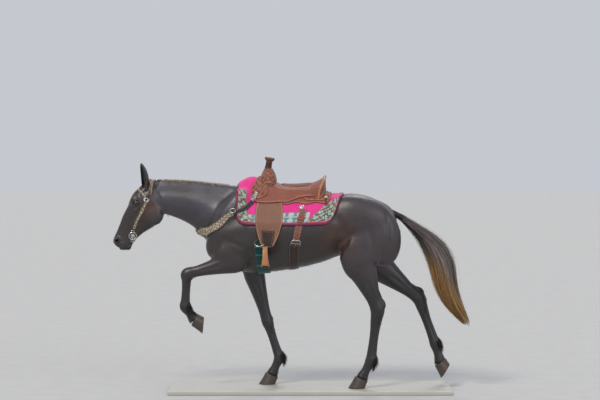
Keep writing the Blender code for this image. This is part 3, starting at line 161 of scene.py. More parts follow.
def grain(points: np.ndarray, size: float, seed: int) -> np.ndarray:
    """Smooth noise in space.

    Args:
        points: Places, one a row.
        size: The width of one blotch in metres.
        seed: Which noise.

    Returns:
        A value from -1 to 1 for each place.
    """
    table = np.random.default_rng(seed).uniform(-1, 1, 4096)
    scaled = points / size + 50.0
    cell = np.floor(scaled).astype(np.int64)
    f = scaled - cell
    f = f * f * (3 - 2 * f)
    total = np.zeros(len(points))
    for corner in range(8):
        step = np.array([corner & 1, corner >> 1 & 1, corner >> 2 & 1])
        key = (cell + step) @ np.array([73856093, 19349663, 83492791])
        weight = np.prod(np.where(step == 1, f, 1 - f), axis=1)
        total += weight * table[key % 4096]
    return total


def link(name: str, mesh: bpy.types.Mesh, material: bpy.types.Material | None = None) -> bpy.types.Object:
    """Makes a mesh an object of the scene, smooth-shaded, with a material."""
    made = bpy.data.objects.new(name, mesh)
    bpy.context.scene.collection.objects.link(made)
    mesh.polygons.foreach_set("use_smooth", [True] * len(mesh.polygons))
    if material is not None:
        mesh.materials.append(material)
    return made


def from_bmesh(name: str, bm: bmesh.types.BMesh, material: bpy.types.Material | None = None,
        crease: float = 40.0) -> bpy.types.Object:
    """Makes an object from a mesh under construction.

    Args:
        name: The object's name.
        bm: The mesh, which is freed.
        material: Its finish.
        crease: The angle in degrees past which an edge shows as sharp.

    Returns:
        The object, its faces pointing outwards.
    """
    bmesh.ops.recalc_face_normals(bm, faces=bm.faces)
    mesh = bpy.data.meshes.new(name)
    bm.to_mesh(mesh)
    bm.free()
    made = link(name, mesh, material)
    mesh.set_sharp_from_angle(angle=math.radians(crease))
    return made


def applied(obj: bpy.types.Object) -> bpy.types.Object:
    """Applies the object's modifiers to a plain mesh."""
    graph = bpy.context.evaluated_depsgraph_get()
    mesh = bpy.data.meshes.new_from_object(obj.evaluated_get(graph))
    obj.modifiers.clear()
    obj.data = mesh
    return obj


def points_of(mesh: bpy.types.Mesh) -> np.ndarray:
    """The mesh's points, one a row."""
    points = np.empty(len(mesh.vertices) * 3)
    mesh.vertices.foreach_get("co", points)
    return points.reshape(-1, 3)


def normals_of(mesh: bpy.types.Mesh) -> np.ndarray:
    """The mesh's point normals, one a row."""
    normals = np.empty(len(mesh.vertices) * 3)
    mesh.vertices.foreach_get("normal", normals)
    return normals.reshape(-1, 3)


def move_points(mesh: bpy.types.Mesh, points: np.ndarray) -> None:
    """Puts the mesh's points where the rows say."""
    mesh.vertices.foreach_set("co", points.ravel())
    mesh.update()


def paint(mesh: bpy.types.Mesh, name: str, values: np.ndarray) -> None:
    """Stores a colour for each point of the mesh.

    Args:
        mesh: The mesh.
        name: The attribute's name.
        values: Linear red, green and blue, one row a point.
    """
    layer = mesh.color_attributes.new(name, 'FLOAT_COLOR', 'POINT')
    layer.data.foreach_set("color", np.column_stack([values, np.ones(len(values))]).ravel())


def mark(mesh: bpy.types.Mesh, name: str, values: np.ndarray) -> None:
    """Stores a number for each point of the mesh."""
    mesh.attributes.new(name, 'FLOAT', 'POINT').data.foreach_set("value", values)


def surface(*objects: bpy.types.Object) -> BVHTree:
    """A search tree over the faces of some objects."""
    points, faces = [], []
    for obj in objects:
        start = len(points)
        points += [v.co.copy() for v in obj.data.vertices]
        faces += [[start + i for i in p.vertices] for p in obj.data.polygons]
    return BVHTree.FromPolygons(points, faces)


def add_tube(bm: bmesh.types.BMesh, loops: Sequence, closed: bool = False) -> list:
    """Adds a tube through loops of points.

    Args:
        bm: The mesh that gets it.
        loops: Loops of equal count.
        closed: Whether the last loop joins the first, or each end gets a cap.

    Returns:
        The tube's points, loop by loop.
    """
    made = [[bm.verts.new(p) for p in loop] for loop in loops]
    count = len(made[0])
    pairs = list(zip(made, made[1:])) + ([(made[-1], made[0])] if closed else [])
    for a, b in pairs:
        for i in range(count):
            j = (i + 1) % count
            bm.faces.new((a[i], a[j], b[j], b[i]))
    if not closed:
        bm.faces.new(reversed(made[0]))
        bm.faces.new(made[-1])
    return made


def ring_of(middle: Vector, wide: Vector, high: Vector, count: int, power: float = 1.0) -> list[Vector]:
    """Points of an ellipse, or with a power under 1 of a rounded box, about a middle."""
    out = []
    for a in np.linspace(0, 2 * math.pi, count, endpoint=False):
        c, s = math.cos(a), math.sin(a)
        out.append(middle + wide * math.copysign(abs(c) ** power, c) + high
            * math.copysign(abs(s) ** power, s))
    return out


def round_tube(name: str, path: Sequence, radius: float | Sequence[float], material: bpy.types.Material,
        count: int = 10, closed: bool = False) -> bpy.types.Object:
    """A round tube along a path.

    Args:
        name: The object's name.
        path: Its points.
        radius: One radius, or one for each point.
        material: Its finish.
        count: Points in a ring.
        closed: Whether it closes on itself.

    Returns:
        The tube.
    """
    path = [Vector(p) for p in path]
    last = len(path) - 1
    loops = []
    side = None
    for i, point in enumerate(path):
        before = path[i - 1] if i or closed else path[0]
        after = path[(i + 1) % len(path)] if i < last or closed else path[last]
        along = (after - before).normalized()
        if side is None:
            side = along.orthogonal().normalized()
        side = (side - along * side.dot(along)).normalized()
        r = radius if isinstance(radius, (int, float)) else radius[i]
        loops.append(ring_of(point, side * r, along.cross(side) * r, count))
    bm = bmesh.new()
    add_tube(bm, loops, closed)
    return from_bmesh(name, bm, material)


def joined(name: str, pieces: Sequence[bpy.types.Object]) -> bpy.types.Object:
    """Joins plain meshes to one object that keeps each face's material."""
    with bpy.context.temp_override(active_object=pieces[0], selected_editable_objects=list(pieces)):
        bpy.ops.object.join()
    pieces[0].name = name
    return pieces[0]


def settle(piece: bpy.types.Object, slot: str, *nodes: str) -> bpy.types.Object:
    """Ties a piece to the root body and hides the nodes that it stands for."""
    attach(piece, "root")
    if nodes:
        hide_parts(*nodes)
    LOG.info("%s: %d faces", piece.name, len(piece.data.polygons))
    return piece


class Weave(Enum):
    """How a textile's threads cross."""
    FELT = "felt"
    CORD = "cord"
    BAND = "band"


def new_material(name: str) -> tuple[bpy.types.Material, bpy.types.NodeTree, bpy.types.Node]:
    """Makes a material.

    Args:
        name: What the real material is.

    Returns:
        The material, its node tree and its shader.
    """
    material = bpy.data.materials.new(name)
    material.use_nodes = True
    return material, material.node_tree, material.node_tree.nodes["Principled BSDF"]


def math_node(tree: bpy.types.NodeTree, operation: str, *values) -> bpy.types.NodeSocket:
    """Adds a Math node on values or outputs, and gives its result."""
    return add_node(tree, 'ShaderNodeMath', dict(enumerate(values)), operation=operation).outputs[0]


def mixed(tree: bpy.types.NodeTree, share: object, a: object, b: object,
        blend: str = 'MIX') -> bpy.types.NodeSocket:
    """Adds a colour Mix node, and gives its result.

    Args:
        tree: The tree.
        share: How much of b shows, as a number or an output.
        a: The first colour or output.
        b: The second.
        blend: The way that they mix.

    Returns:
        The mixed colour.
    """
    return add_node(tree, 'ShaderNodeMix', {0: share, 6: a, 7: b}, data_type='RGBA',
        blend_type=blend).outputs[2]


def noise_at(tree: bpy.types.NodeTree, scale: Sequence[float], detail: float = 2.0,
        source: bpy.types.NodeSocket | None = None) -> bpy.types.NodeSocket:
    """Adds noise on Object coordinates, or on another vector, with a scale for each axis.

    Args:
        tree: The tree.
        scale: Blotches to a metre along each axis.
        detail: How many finer octaves it has.
        source: The vector, if not Object coordinates.

    Returns:
        The noise, from 0 to 1.
    """
    if source is None:
        source = add_node(tree, 'ShaderNodeTexCoord').outputs["Object"]
    turned = add_node(tree, 'ShaderNodeMapping', {"Vector": source, "Scale": tuple(scale)})
    return add_node(tree, 'ShaderNodeTexNoise', {"Vector": turned.outputs[0], "Scale": 1.0,
        "Detail": detail}).outputs["Fac"]


def streaks(tree: bpy.types.NodeTree, degrees: float, long: float, wide: float) -> bpy.types.NodeSocket:
    """Adds streaks of noise that run in the picture plane.

    Args:
        tree: The tree.
        degrees: Their turn about Y, from along X.
        long: Their length in metres.
        wide: Their width.

    Returns:
        The streaks, from 0 to 1.
    """
    at = add_node(tree, 'ShaderNodeTexCoord').outputs["Object"]
    drift = add_node(tree, 'ShaderNodeTexNoise',
        {"Vector": at, "Scale": 7.0, "Detail": 1.0}).outputs["Color"]
    bent = add_node(tree, 'ShaderNodeVectorMath', {0: drift, 1: (0.030,) * 3, 2: at},
        operation='MULTIPLY_ADD').outputs[0]
    turned = add_node(tree, 'ShaderNodeMapping', {"Vector": bent, "Rotation": (0, math.radians(degrees), 0),
        "Scale": (long, wide, wide)}, vector_type='TEXTURE').outputs[0]
    return add_node(tree, 'ShaderNodeTexNoise',
        {"Vector": turned, "Scale": 1.0, "Detail": 2.0}).outputs["Fac"]


def bump(tree: bpy.types.NodeTree, height: bpy.types.NodeSocket, depth: float, under: bpy.types.NodeSocket
        | None = None) -> bpy.types.NodeSocket:
    """Adds a Bump node.

    Args:
        tree: The tree.
        height: The height from 0 to 1.
        depth: What a height of 1 is in metres.
        under: The normal of a bump below it.

    Returns:
        The bumped normal.
    """
    inputs = {"Height": height, "Distance": depth, "Strength": 1.0}
    if under is not None:
        inputs["Normal"] = under
    return add_node(tree, 'ShaderNodeBump', inputs).outputs[0]


@dataclass(frozen=True)
class ShortCoat:
    """Summer coat over skin: sleek hairs 8 to 12 mm long that lie back along the body and down the legs."""
    name: str = "short horse coat"
    attribute: str = "coat"
    roughness: float = 0.37

    def material(self) -> bpy.types.Material:
        """A satin coat whose fine streaks follow the lie of the hair; the gloss comes from the lights, and
        the coat colours that it reads also carry painted sheen and painted shade.
        """
        material, tree, shader = new_material(self.name)
        colour = add_node(tree, 'ShaderNodeAttribute', attribute_name=self.attribute).outputs["Color"]
        leg = add_node(tree, 'ShaderNodeAttribute', attribute_name="leg").outputs["Fac"]
        at = add_node(tree, 'ShaderNodeTexCoord').outputs["Object"]
        face = add_node(tree, 'ShaderNodeMapRange',
            {0: add_node(tree, 'ShaderNodeSeparateXYZ', {0: at}).outputs["X"], 1: -1.12,
            2: -1.24}).outputs[0]

        def lie(long: float, wide: float) -> bpy.types.NodeSocket:
            """Streaks back and down the body, down the face and down the legs."""
            trunk = add_node(tree, 'ShaderNodeMix', {0: face, 2: streaks(tree, 16, long, wide),
                3: streaks(tree, 118, long, wide)}).outputs[0]
            return add_node(tree, 'ShaderNodeMix',
                {0: leg, 2: trunk, 3: streaks(tree, 90, long, wide)}).outputs[0]

        # Hairs are 0.1 mm wide, too fine to show: the streaks are clumps of them, 1.3 mm wide and 12 mm long
        streak, clump = lie(0.012, 0.0013), lie(0.055, 0.012)
        shade = math_node(tree, 'MULTIPLY_ADD', streak, 1.1, 0.45)
        shade = math_node(tree, 'MULTIPLY', shade, math_node(tree, 'MULTIPLY_ADD', clump, 0.4, 0.80))
        grey = add_node(tree, 'ShaderNodeCombineColor', {0: shade, 1: shade, 2: shade}).outputs[0]
        tree.links.new(mixed(tree, 1.0, colour, grey, 'MULTIPLY'), shader.inputs["Base Color"])
        rough = math_node(tree, 'MULTIPLY_ADD', streak, 0.30, self.roughness - 0.15)
        tree.links.new(rough, shader.inputs["Roughness"])
        shader.inputs["Specular IOR Level"].default_value = 0.70
        shader.inputs["Sheen Weight"].default_value = 0.16
        shader.inputs["Sheen Roughness"].default_value = 0.32
        shader.inputs["Sheen Tint"].default_value = linear("#a6a9c6")
        normal = bump(tree, clump, 0.0010)
        tree.links.new(bump(tree, streak, 0.0005, normal), shader.inputs["Normal"])
        return material


@dataclass(frozen=True)
class LongHair:
    """Mane and tail hair: coarse glossy strands, coloured strand by strand."""
    name: str = "long horse hair"
    attribute: str = "hair"
    roughness: float = 0.42

    def material(self) -> bpy.types.Material:
        """Strands of their own colour, a little paler and darker along their length."""
        material, tree, shader = new_material(self.name)
        colour = add_node(tree, 'ShaderNodeAttribute', attribute_name=self.attribute).outputs["Color"]
        shade = math_node(tree, 'MULTIPLY_ADD', noise_at(tree, (130, 130, 130), 1), 0.5, 0.75)
        grey = add_node(tree, 'ShaderNodeCombineColor', {0: shade, 1: shade, 2: shade}).outputs[0]
        tree.links.new(mixed(tree, 1.0, colour, grey, 'MULTIPLY'), shader.inputs["Base Color"])
        shader.inputs["Roughness"].default_value = self.roughness
        shader.inputs["Specular IOR Level"].default_value = 0.45
        return material


@dataclass(frozen=True)
class Horn:
    """Hoof horn: growth rings 6 mm apart round the wall and fine fibres down it, oiled to a dull gloss."""
    name: str = "hoof horn"
    dark: str = "#2b2422"
    pale: str = "#5a4c42"
    ring: float = 0.006

    def material(self) -> bpy.types.Material:
        """Horn whose rings follow the hoof's own height and whose fibres run from band to sole."""
        material, tree, shader = new_material(self.name)
        lay = add_node(tree, 'ShaderNodeUVMap', uv_map="Lay").outputs[0]
        parts = add_node(tree, 'ShaderNodeSeparateXYZ', {0: lay})
        wobble = math_node(tree, 'MULTIPLY', noise_at(tree, (25, 25, 25), 1), 2.2)
        turns = math_node(tree, 'MULTIPLY_ADD', parts.outputs["Y"], 2 * math.pi / self.ring, wobble)
        rings = math_node(tree, 'MULTIPLY_ADD', math_node(tree, 'SINE', turns), 0.5, 0.5)
        fibre = noise_at(tree, (900, 40, 1), 2, lay)
        share = math_node(tree, 'MULTIPLY_ADD', rings, 0.30, math_node(tree, 'MULTIPLY', fibre, 0.7))
        tree.links.new(mixed(tree, share, linear(self.dark), linear(self.pale)),
            shader.inputs["Base Color"])
        shader.inputs["Roughness"].default_value = 0.42
        normal = bump(tree, rings, 0.0008)
        tree.links.new(bump(tree, fibre, 0.0005, normal), shader.inputs["Normal"])
        return material


@dataclass(frozen=True)
class Eyeball:
    """A horse's eye: a dark brown iris with a long level pupil under a wet cornea."""
    name: str = "wet dark eye"
    side: int = -1

    def material(self) -> bpy.types.Material:
        """Iris, pupil and the bluish white at the corners, by distance from the eye's own middle."""
        material, tree, shader = new_material(self.name)
        at = add_node(tree, 'ShaderNodeTexCoord').outputs["Object"]
        middle = (EYE[0] - 0.004, self.side * (EYE[1] + 0.020), EYE[2] + BASE_HEIGHT)
        centred = add_node(tree, 'ShaderNodeVectorMath', {0: at, 1: middle},
            operation='SUBTRACT').outputs[0]
        parts = add_node(tree, 'ShaderNodeSeparateXYZ', {0: centred})
        long_way = math_node(tree, 'ABSOLUTE', math_node(tree, 'MULTIPLY', parts.outputs["X"], 1 / 0.0085))
        high = math_node(tree, 'ABSOLUTE', math_node(tree, 'MULTIPLY', parts.outputs["Z"], 1 / 0.0042))
        pupil = math_node(tree, 'ADD', math_node(tree, 'POWER', long_way, 2.6),
            math_node(tree, 'POWER', high, 2.6))
        edge = add_node(tree, 'ShaderNodeMapRange', {0: pupil, 1: 0.75, 2: 1.25}).outputs[0]
        away = add_node(tree, 'ShaderNodeVectorMath', {0: centred}, operation='LENGTH').outputs["Value"]
        white = add_node(tree, 'ShaderNodeMapRange', {0: away, 1: 0.0165, 2: 0.0185}).outputs[0]
        iris = mixed(tree, noise_at(tree, (500, 500, 500), 2), linear("#0f0906"), linear("#2c190e"))
        colour = mixed(tree, edge, linear("#040405"), iris)
        tree.links.new(mixed(tree, white, colour, linear("#2a2020")), shader.inputs["Base Color"])
        shader.inputs["Roughness"].default_value = 0.05
        shader.inputs["Coat Weight"].default_value = 1.0
        shader.inputs["Coat Roughness"].default_value = 0.02
        return material


@dataclass(frozen=True)
class Leather:
    """Vegetable-tanned saddle leather, stamped damp, oiled and buffed, darker in the stamped low spots."""
    name: str
    high: str
    low: str
    stamp: float = 0.0
    rosette: float = 0.0
    border: float = 0.0
    bloom: str = ""
    roughness: float = 0.42

    def material(self) -> bpy.types.Material:
        """Grained leather; with a stamp it has a basket weave, with a rosette rows of five-petalled flowers.

        A border keeps the stamping off its edge, behind a creased line, and the cut edge is burnished dark.
        """
        material, tree, shader = new_material(self.name)
        lay = add_node(tree, 'ShaderNodeUVMap', uv_map="Lay").outputs[0]
        pores = noise_at(tree, (700, 700, 700), 3)
        wear = noise_at(tree, (14, 14, 14), 3)
        shade = math_node(tree, 'MULTIPLY_ADD', wear, 0.9, 0.05)
        normal = bump(tree, pores, 0.0003)
        field, burnish = 1.0, 1.0
        if self.border:
            edge = add_node(tree, 'ShaderNodeAttribute', attribute_name="edge").outputs["Fac"]
            field = add_node(tree, 'ShaderNodeMapRange',
                {0: edge, 1: self.border, 2: self.border + 0.002}).outputs[0]
            line = math_node(tree, 'ABSOLUTE', math_node(tree, 'SUBTRACT', edge, self.border))
            crease = add_node(tree, 'ShaderNodeMapRange', {0: line, 1: 0.0, 2: 0.0016}).outputs[0]
            normal = bump(tree, crease, 0.0012, normal)
            worn = add_node(tree, 'ShaderNodeMapRange',
                {0: edge, 1: 0.0005, 2: 0.0040, 3: 0.25, 4: 1.0}).outputs[0]
            burnish = math_node(tree, 'MULTIPLY', worn, math_node(tree, 'MULTIPLY_ADD', crease, 0.5, 0.5))
        high = linear(self.high)
        if self.stamp or self.rosette:
            relief = self.basket(tree, lay) if self.stamp else self.flower(tree, lay)
            relief = math_node(tree, 'MAXIMUM', relief, math_node(tree, 'SUBTRACT', 1.0, field))
            normal = bump(tree, relief, 0.0018 if self.stamp else 0.0022, normal)
            shade = math_node(tree, 'MULTIPLY', relief, math_node(tree, 'MULTIPLY_ADD', wear, 0.6, 0.6))
            if self.bloom:
                high = mixed(tree,
                    math_node(tree, 'MULTIPLY', math_node(tree, 'GREATER_THAN', relief, 0.40), field), high,
                    linear(self.bloom))
        shade = math_node(tree, 'MULTIPLY', shade, burnish)
        tree.links.new(mixed(tree, shade, linear(self.low), high), shader.inputs["Base Color"])
        tree.links.new(math_node(tree, 'MULTIPLY_ADD', wear, 0.22, self.roughness - 0.11),
            shader.inputs["Roughness"])
        tree.links.new(normal, shader.inputs["Normal"])
        return material

    def basket(self, tree: bpy.types.NodeTree, lay: bpy.types.NodeSocket) -> bpy.types.NodeSocket:
        """The height of a basket-weave stamp whose squares have the stamp's size."""
        turned = add_node(tree, 'ShaderNodeMapping', {"Vector": lay, "Rotation": (0, 0, math.radians(45)),
            "Scale": (1 / self.stamp,) * 3})
        parts = add_node(tree, 'ShaderNodeSeparateXYZ', {0: turned.outputs[0]})
        check = add_node(tree, 'ShaderNodeTexChecker', {"Vector": turned.outputs[0], "Scale": 1.0,
            "Color1": (1, 1, 1, 1), "Color2": (0, 0, 0, 1)}).outputs["Fac"]
        across = [math_node(tree, 'ABSOLUTE',
            math_node(tree, 'SINE', math_node(tree, 'MULTIPLY', p, 3 * math.pi)))
            for p in (parts.outputs["X"], parts.outputs["Y"])]
        ends = [math_node(tree, 'ABSOLUTE',
            math_node(tree, 'SINE', math_node(tree, 'MULTIPLY', p, math.pi)))
            for p in (parts.outputs["Y"], parts.outputs["X"])]
        rows = [math_node(tree, 'MULTIPLY', math_node(tree, 'POWER', a, 0.5),
            math_node(tree, 'POWER', e, 0.4)) for a, e in zip(across, ends)]
        return add_node(tree, 'ShaderNodeMix', {0: check, 2: rows[0], 3: rows[1]}).outputs[0]

    def flower(self, tree: bpy.types.NodeTree, lay: bpy.types.NodeSocket) -> bpy.types.NodeSocket:
        """The height of carved flowers, one to a square of the rosette's size, with leaves between."""
        flower, away = self.lobes(tree, lay, 0.0, 2.5, 0.19, 0.21)
        leaf, _ = self.lobes(tree, lay, 0.5, 1.0, 0.09, 0.25)
        heart = add_node(tree, 'ShaderNodeMapRange', {0: away, 1: 0.05, 2: 0.09}).outputs[0]
        beads = add_node(tree, 'ShaderNodeTexVoronoi', {"Vector": lay, "Scale": 420.0}).outputs["Distance"]
        ground = math_node(tree, 'MULTIPLY_ADD', beads, -0.35, 0.35)
        bloom = math_node(tree, 'MULTIPLY', flower, math_node(tree, 'MULTIPLY_ADD', heart, 0.35, 0.65))
        return math_node(tree, 'MAXIMUM',
            math_node(tree, 'MAXIMUM', bloom, math_node(tree, 'MULTIPLY', leaf, 0.85)), ground)

    def lobes(self, tree: bpy.types.NodeTree, lay: bpy.types.NodeSocket, shift: float, half_count: float,
            heart: float, lobe: float) -> tuple[bpy.types.NodeSocket, bpy.types.NodeSocket]:
        """A lobed shape in each square, turned its own way.

        Args:
            tree: The tree.
            lay: The map in metres.
            shift: How far the squares are shifted, in squares.
            half_count: Half of the number of lobes.
            heart: The reach between lobes, in squares.
            lobe: How much further each lobe reaches.

        Returns:
            The shape's height and the distance from its middle.
        """
        scaled = add_node(tree, 'ShaderNodeVectorMath',
            {0: lay, 1: (1 / self.rosette,) * 3, 2: (shift, shift, 0.0)},
            operation='MULTIPLY_ADD').outputs[0]
        cell = add_node(tree, 'ShaderNodeVectorMath', {0: scaled}, operation='FLOOR').outputs[0]
        chance = add_node(tree, 'ShaderNodeTexWhiteNoise', {"Vector": cell},
            noise_dimensions='3D').outputs["Value"]
        within = add_node(tree, 'ShaderNodeVectorMath', {0: scaled}, operation='FRACTION').outputs[0]
        centred = add_node(tree, 'ShaderNodeVectorMath', {0: within, 1: (0.5, 0.5, 0.0)},
            operation='SUBTRACT').outputs[0]
        parts = add_node(tree, 'ShaderNodeSeparateXYZ', {0: centred})
        x, y = parts.outputs["X"], parts.outputs["Y"]
        away = math_node(tree, 'SQRT',
            math_node(tree, 'MULTIPLY_ADD', x, x, math_node(tree, 'MULTIPLY', y, y)))
        turn = math_node(tree, 'MULTIPLY_ADD', chance, 2 * math.pi, math_node(tree, 'ARCTAN2', y, x))
        petals = math_node(tree, 'ABSOLUTE',
            math_node(tree, 'COSINE', math_node(tree, 'MULTIPLY', turn, half_count)))
        reach = math_node(tree, 'MULTIPLY', math_node(tree, 'MULTIPLY_ADD', petals, lobe, heart),
            math_node(tree, 'MULTIPLY_ADD', chance, 0.3, 0.85))
        inside = add_node(tree, 'ShaderNodeMapRange', {0: math_node(tree, 'SUBTRACT', reach, away),
            1: -0.02, 2: 0.05}).outputs[0]
        vein = math_node(tree, 'MULTIPLY_ADD', math_node(tree, 'ABSOLUTE', math_node(
            tree, 'SINE', math_node(tree, 'MULTIPLY', turn, 5 * half_count))), 0.3, 0.7)
        return math_node(tree, 'MULTIPLY', inside, vein), away


@dataclass(frozen=True)
class Textile:
    """Wool felt, mohair cord or a woven wool band."""
    name: str
    colours: tuple[str, ...]
    weave: Weave = Weave.FELT
    pitch: float = 0.006

    def material(self) -> bpy.types.Material:
        """A matt cloth: fuzzy felt, cords side by side, or a band of stepped diamonds and stripes."""
        material, tree, shader = new_material(self.name)
        lay = add_node(tree, 'ShaderNodeUVMap', uv_map="Lay").outputs[0]
        fuzz = noise_at(tree, (650, 650, 650), 3)
        tint = noise_at(tree, (9, 9, 9), 3)
        parts = add_node(tree, 'ShaderNodeSeparateXYZ', {0: lay})
        hues = [linear(c) for c in self.colours]
        if self.weave is Weave.FELT:
            colour = mixed(tree,
                math_node(tree, 'MULTIPLY_ADD', tint, 0.8, math_node(tree, 'MULTIPLY', fuzz, 0.3)), hues[0],
                hues[1])
            normal = bump(tree, fuzz, 0.0010)
        elif self.weave is Weave.CORD:
            wave = math_node(tree, 'ABSOLUTE', math_node(tree, 'SINE', math_node(
                tree, 'MULTIPLY', parts.outputs["Y"], math.pi / self.pitch)))
            twist = math_node(tree, 'SINE', math_node(tree, 'MULTIPLY', math_node(
                tree, 'ADD', parts.outputs["X"], parts.outputs["Y"]), 2 * math.pi / self.pitch))
            height = math_node(tree, 'MULTIPLY_ADD', twist, 0.15, math_node(tree, 'POWER', wave, 0.6))
            # Painted shade: the colour darkens from each cord's crown into the grooves between the cords
            colour = mixed(tree,
                math_node(tree, 'MULTIPLY', height, math_node(tree, 'MULTIPLY_ADD', tint, 0.6, 0.6)),
                hues[0], hues[1])
            normal = bump(tree, height, 0.0025)
        else:
            colour, normal = self.band(tree, parts, hues, fuzz)
        tree.links.new(colour, shader.inputs["Base Color"])
        tree.links.new(normal, shader.inputs["Normal"])
        shader.inputs["Roughness"].default_value = 0.92
        shader.inputs["Sheen Weight"].default_value = 0.25
        shader.inputs["Sheen Roughness"].default_value = 0.5
        shader.inputs["Specular IOR Level"].default_value = 0.2
        return material

    def band(self, tree: bpy.types.NodeTree, parts: bpy.types.Node, hues: Sequence,
            fuzz: bpy.types.NodeSocket) -> tuple[bpy.types.NodeSocket, bpy.types.NodeSocket]:
        """The colour and normal of a woven band: diamonds stepped thread by thread between stripes."""
        x, y = (math_node(tree, 'SNAP', parts.outputs[k], self.pitch / 2) for k in ("X", "Y"))
        wave = math_node(tree, 'PINGPONG', x, self.pitch * 7)
        rise = math_node(tree, 'PINGPONG', y, self.pitch * 5)
        total = math_node(tree, 'ADD', wave, rise)
        inner = math_node(tree, 'LESS_THAN', total, self.pitch * 4.1)
        outer = math_node(tree, 'LESS_THAN', total, self.pitch * 6.1)
        stripe = math_node(tree, 'LESS_THAN', math_node(tree, 'PINGPONG', math_node(
            tree, 'ADD', y, self.pitch), self.pitch * 5), self.pitch * 0.9)
        colour = mixed(tree, outer, hues[0], hues[1])
        colour = mixed(tree, inner, colour, hues[2])
        colour = mixed(tree, stripe, colour, hues[3])
        colour = mixed(tree, math_node(tree, 'MULTIPLY', fuzz, 0.35), colour, linear("#20242a"))
        threads = [math_node(tree, 'ABSOLUTE', math_node(tree, 'SINE', math_node(
            tree, 'MULTIPLY', parts.outputs[k], 2 * math.pi / self.pitch))) for k in ("X", "Y")]
        normal = bump(tree, math_node(tree, 'MULTIPLY', *threads), 0.0012)
        return colour, normal


@dataclass(frozen=True)
class Silver:
    """Engraved silver-plated nickel: bright ridges, darkened cuts."""
    name: str = "engraved silver plate"
    bright: str = "#d8d6d0"
    dark: str = "#4a4844"
    engraved: float = 0.0

    def material(self) -> bpy.types.Material:
        """Polished plate, with scratches, and where it is engraved with scroll cuts of that size."""
        material, tree, shader = new_material(self.name)
        fine = noise_at(tree, (300, 300, 300), 3)
        normal = bump(tree, fine, 0.00015)
        share = math_node(tree, 'MULTIPLY_ADD', fine, 0.3, 0.75)
        if self.engraved:
            at = add_node(tree, 'ShaderNodeTexCoord').outputs["Object"]
            cuts = add_node(tree, 'ShaderNodeTexVoronoi', {"Vector": at, "Scale": 1 / self.engraved},
                feature='SMOOTH_F1').outputs["Distance"]
            lines = math_node(tree, 'ABSOLUTE',
                math_node(tree, 'SINE', math_node(tree, 'MULTIPLY', cuts, 16.0)))
            deep = add_node(tree, 'ShaderNodeMapRange', {0: lines, 1: 0.05, 2: 0.45}).outputs[0]
            normal = bump(tree, deep, 0.0006, normal)
            share = math_node(tree, 'MULTIPLY', share, deep)
        tree.links.new(mixed(tree, share, linear(self.dark), linear(self.bright)),
            shader.inputs["Base Color"])
        shader.inputs["Metallic"].default_value = 1.0
        tree.links.new(math_node(tree, 'MULTIPLY_ADD', fine, 0.25, 0.14), shader.inputs["Roughness"])
        tree.links.new(normal, shader.inputs["Normal"])
        return material


@dataclass(frozen=True)
class Paint:
    """A sprayed satin paint with a fine orange peel."""
    name: str
    colour: str
    roughness: float = 0.5

    def material(self) -> bpy.types.Material:
        """An even coat, hardly mottled."""
        material, tree, shader = new_material(self.name)
        base = linear(self.colour)
        dusty = tuple(c * 0.86 for c in base[:3]) + (1.0,)
        tree.links.new(mixed(tree, noise_at(tree, (6, 6, 6), 4), dusty, base), shader.inputs["Base Color"])
        shader.inputs["Roughness"].default_value = self.roughness
        tree.links.new(bump(tree, noise_at(tree, (900, 900, 900), 2), 0.00008), shader.inputs["Normal"])
        return material


@dataclass(frozen=True)
class Ring:
    """A ring of trunk, neck or head.

    Its top and bottom (x, z) lie in the middle plane, and its half widths at five sixths, half and one
    sixth of its height.
    """
    place: str
    top: tuple[float, float]
    bottom: tuple[float, float]
    upper: float
    middle: float
    lower: float


@dataclass(frozen=True)
class Swell:
    """A swell of muscle or bone: its middle on the right side, half sizes, and turn about Y in degrees."""
    place: str
    middle: tuple[float, float, float]
    half: tuple[float, float, float]
    turn: float


@dataclass(frozen=True)
class Limb:
    """A limb: its side, the rows of its joints, the five places they hang from, and its hoof's turn."""
    side: int
    rows: tuple
    places: tuple
    hoof_turn: float

    def joints(self) -> dict[str, tuple[float, float, float, float, float]]:
        """The limb's joints by place.

        Returns:
            For each, x, y and z over the base, and the half sizes fore and aft, and sideways.
        """
        out = {}
        for place, index, share, deep, wide in self.rows:
            here = np.array(self.places[index])
            if share:
                here = here + (np.array(self.places[index + 1]) - here) * share
            out[place] = (here[0], self.side * here[1], here[2], deep, wide)
        return out


@dataclass(frozen=True)
class Crease:
    """A groove, or with a positive lift a ridge or vein, along a line on both sides of the body."""
    place: str
    line: tuple
    width: float
    lift: float


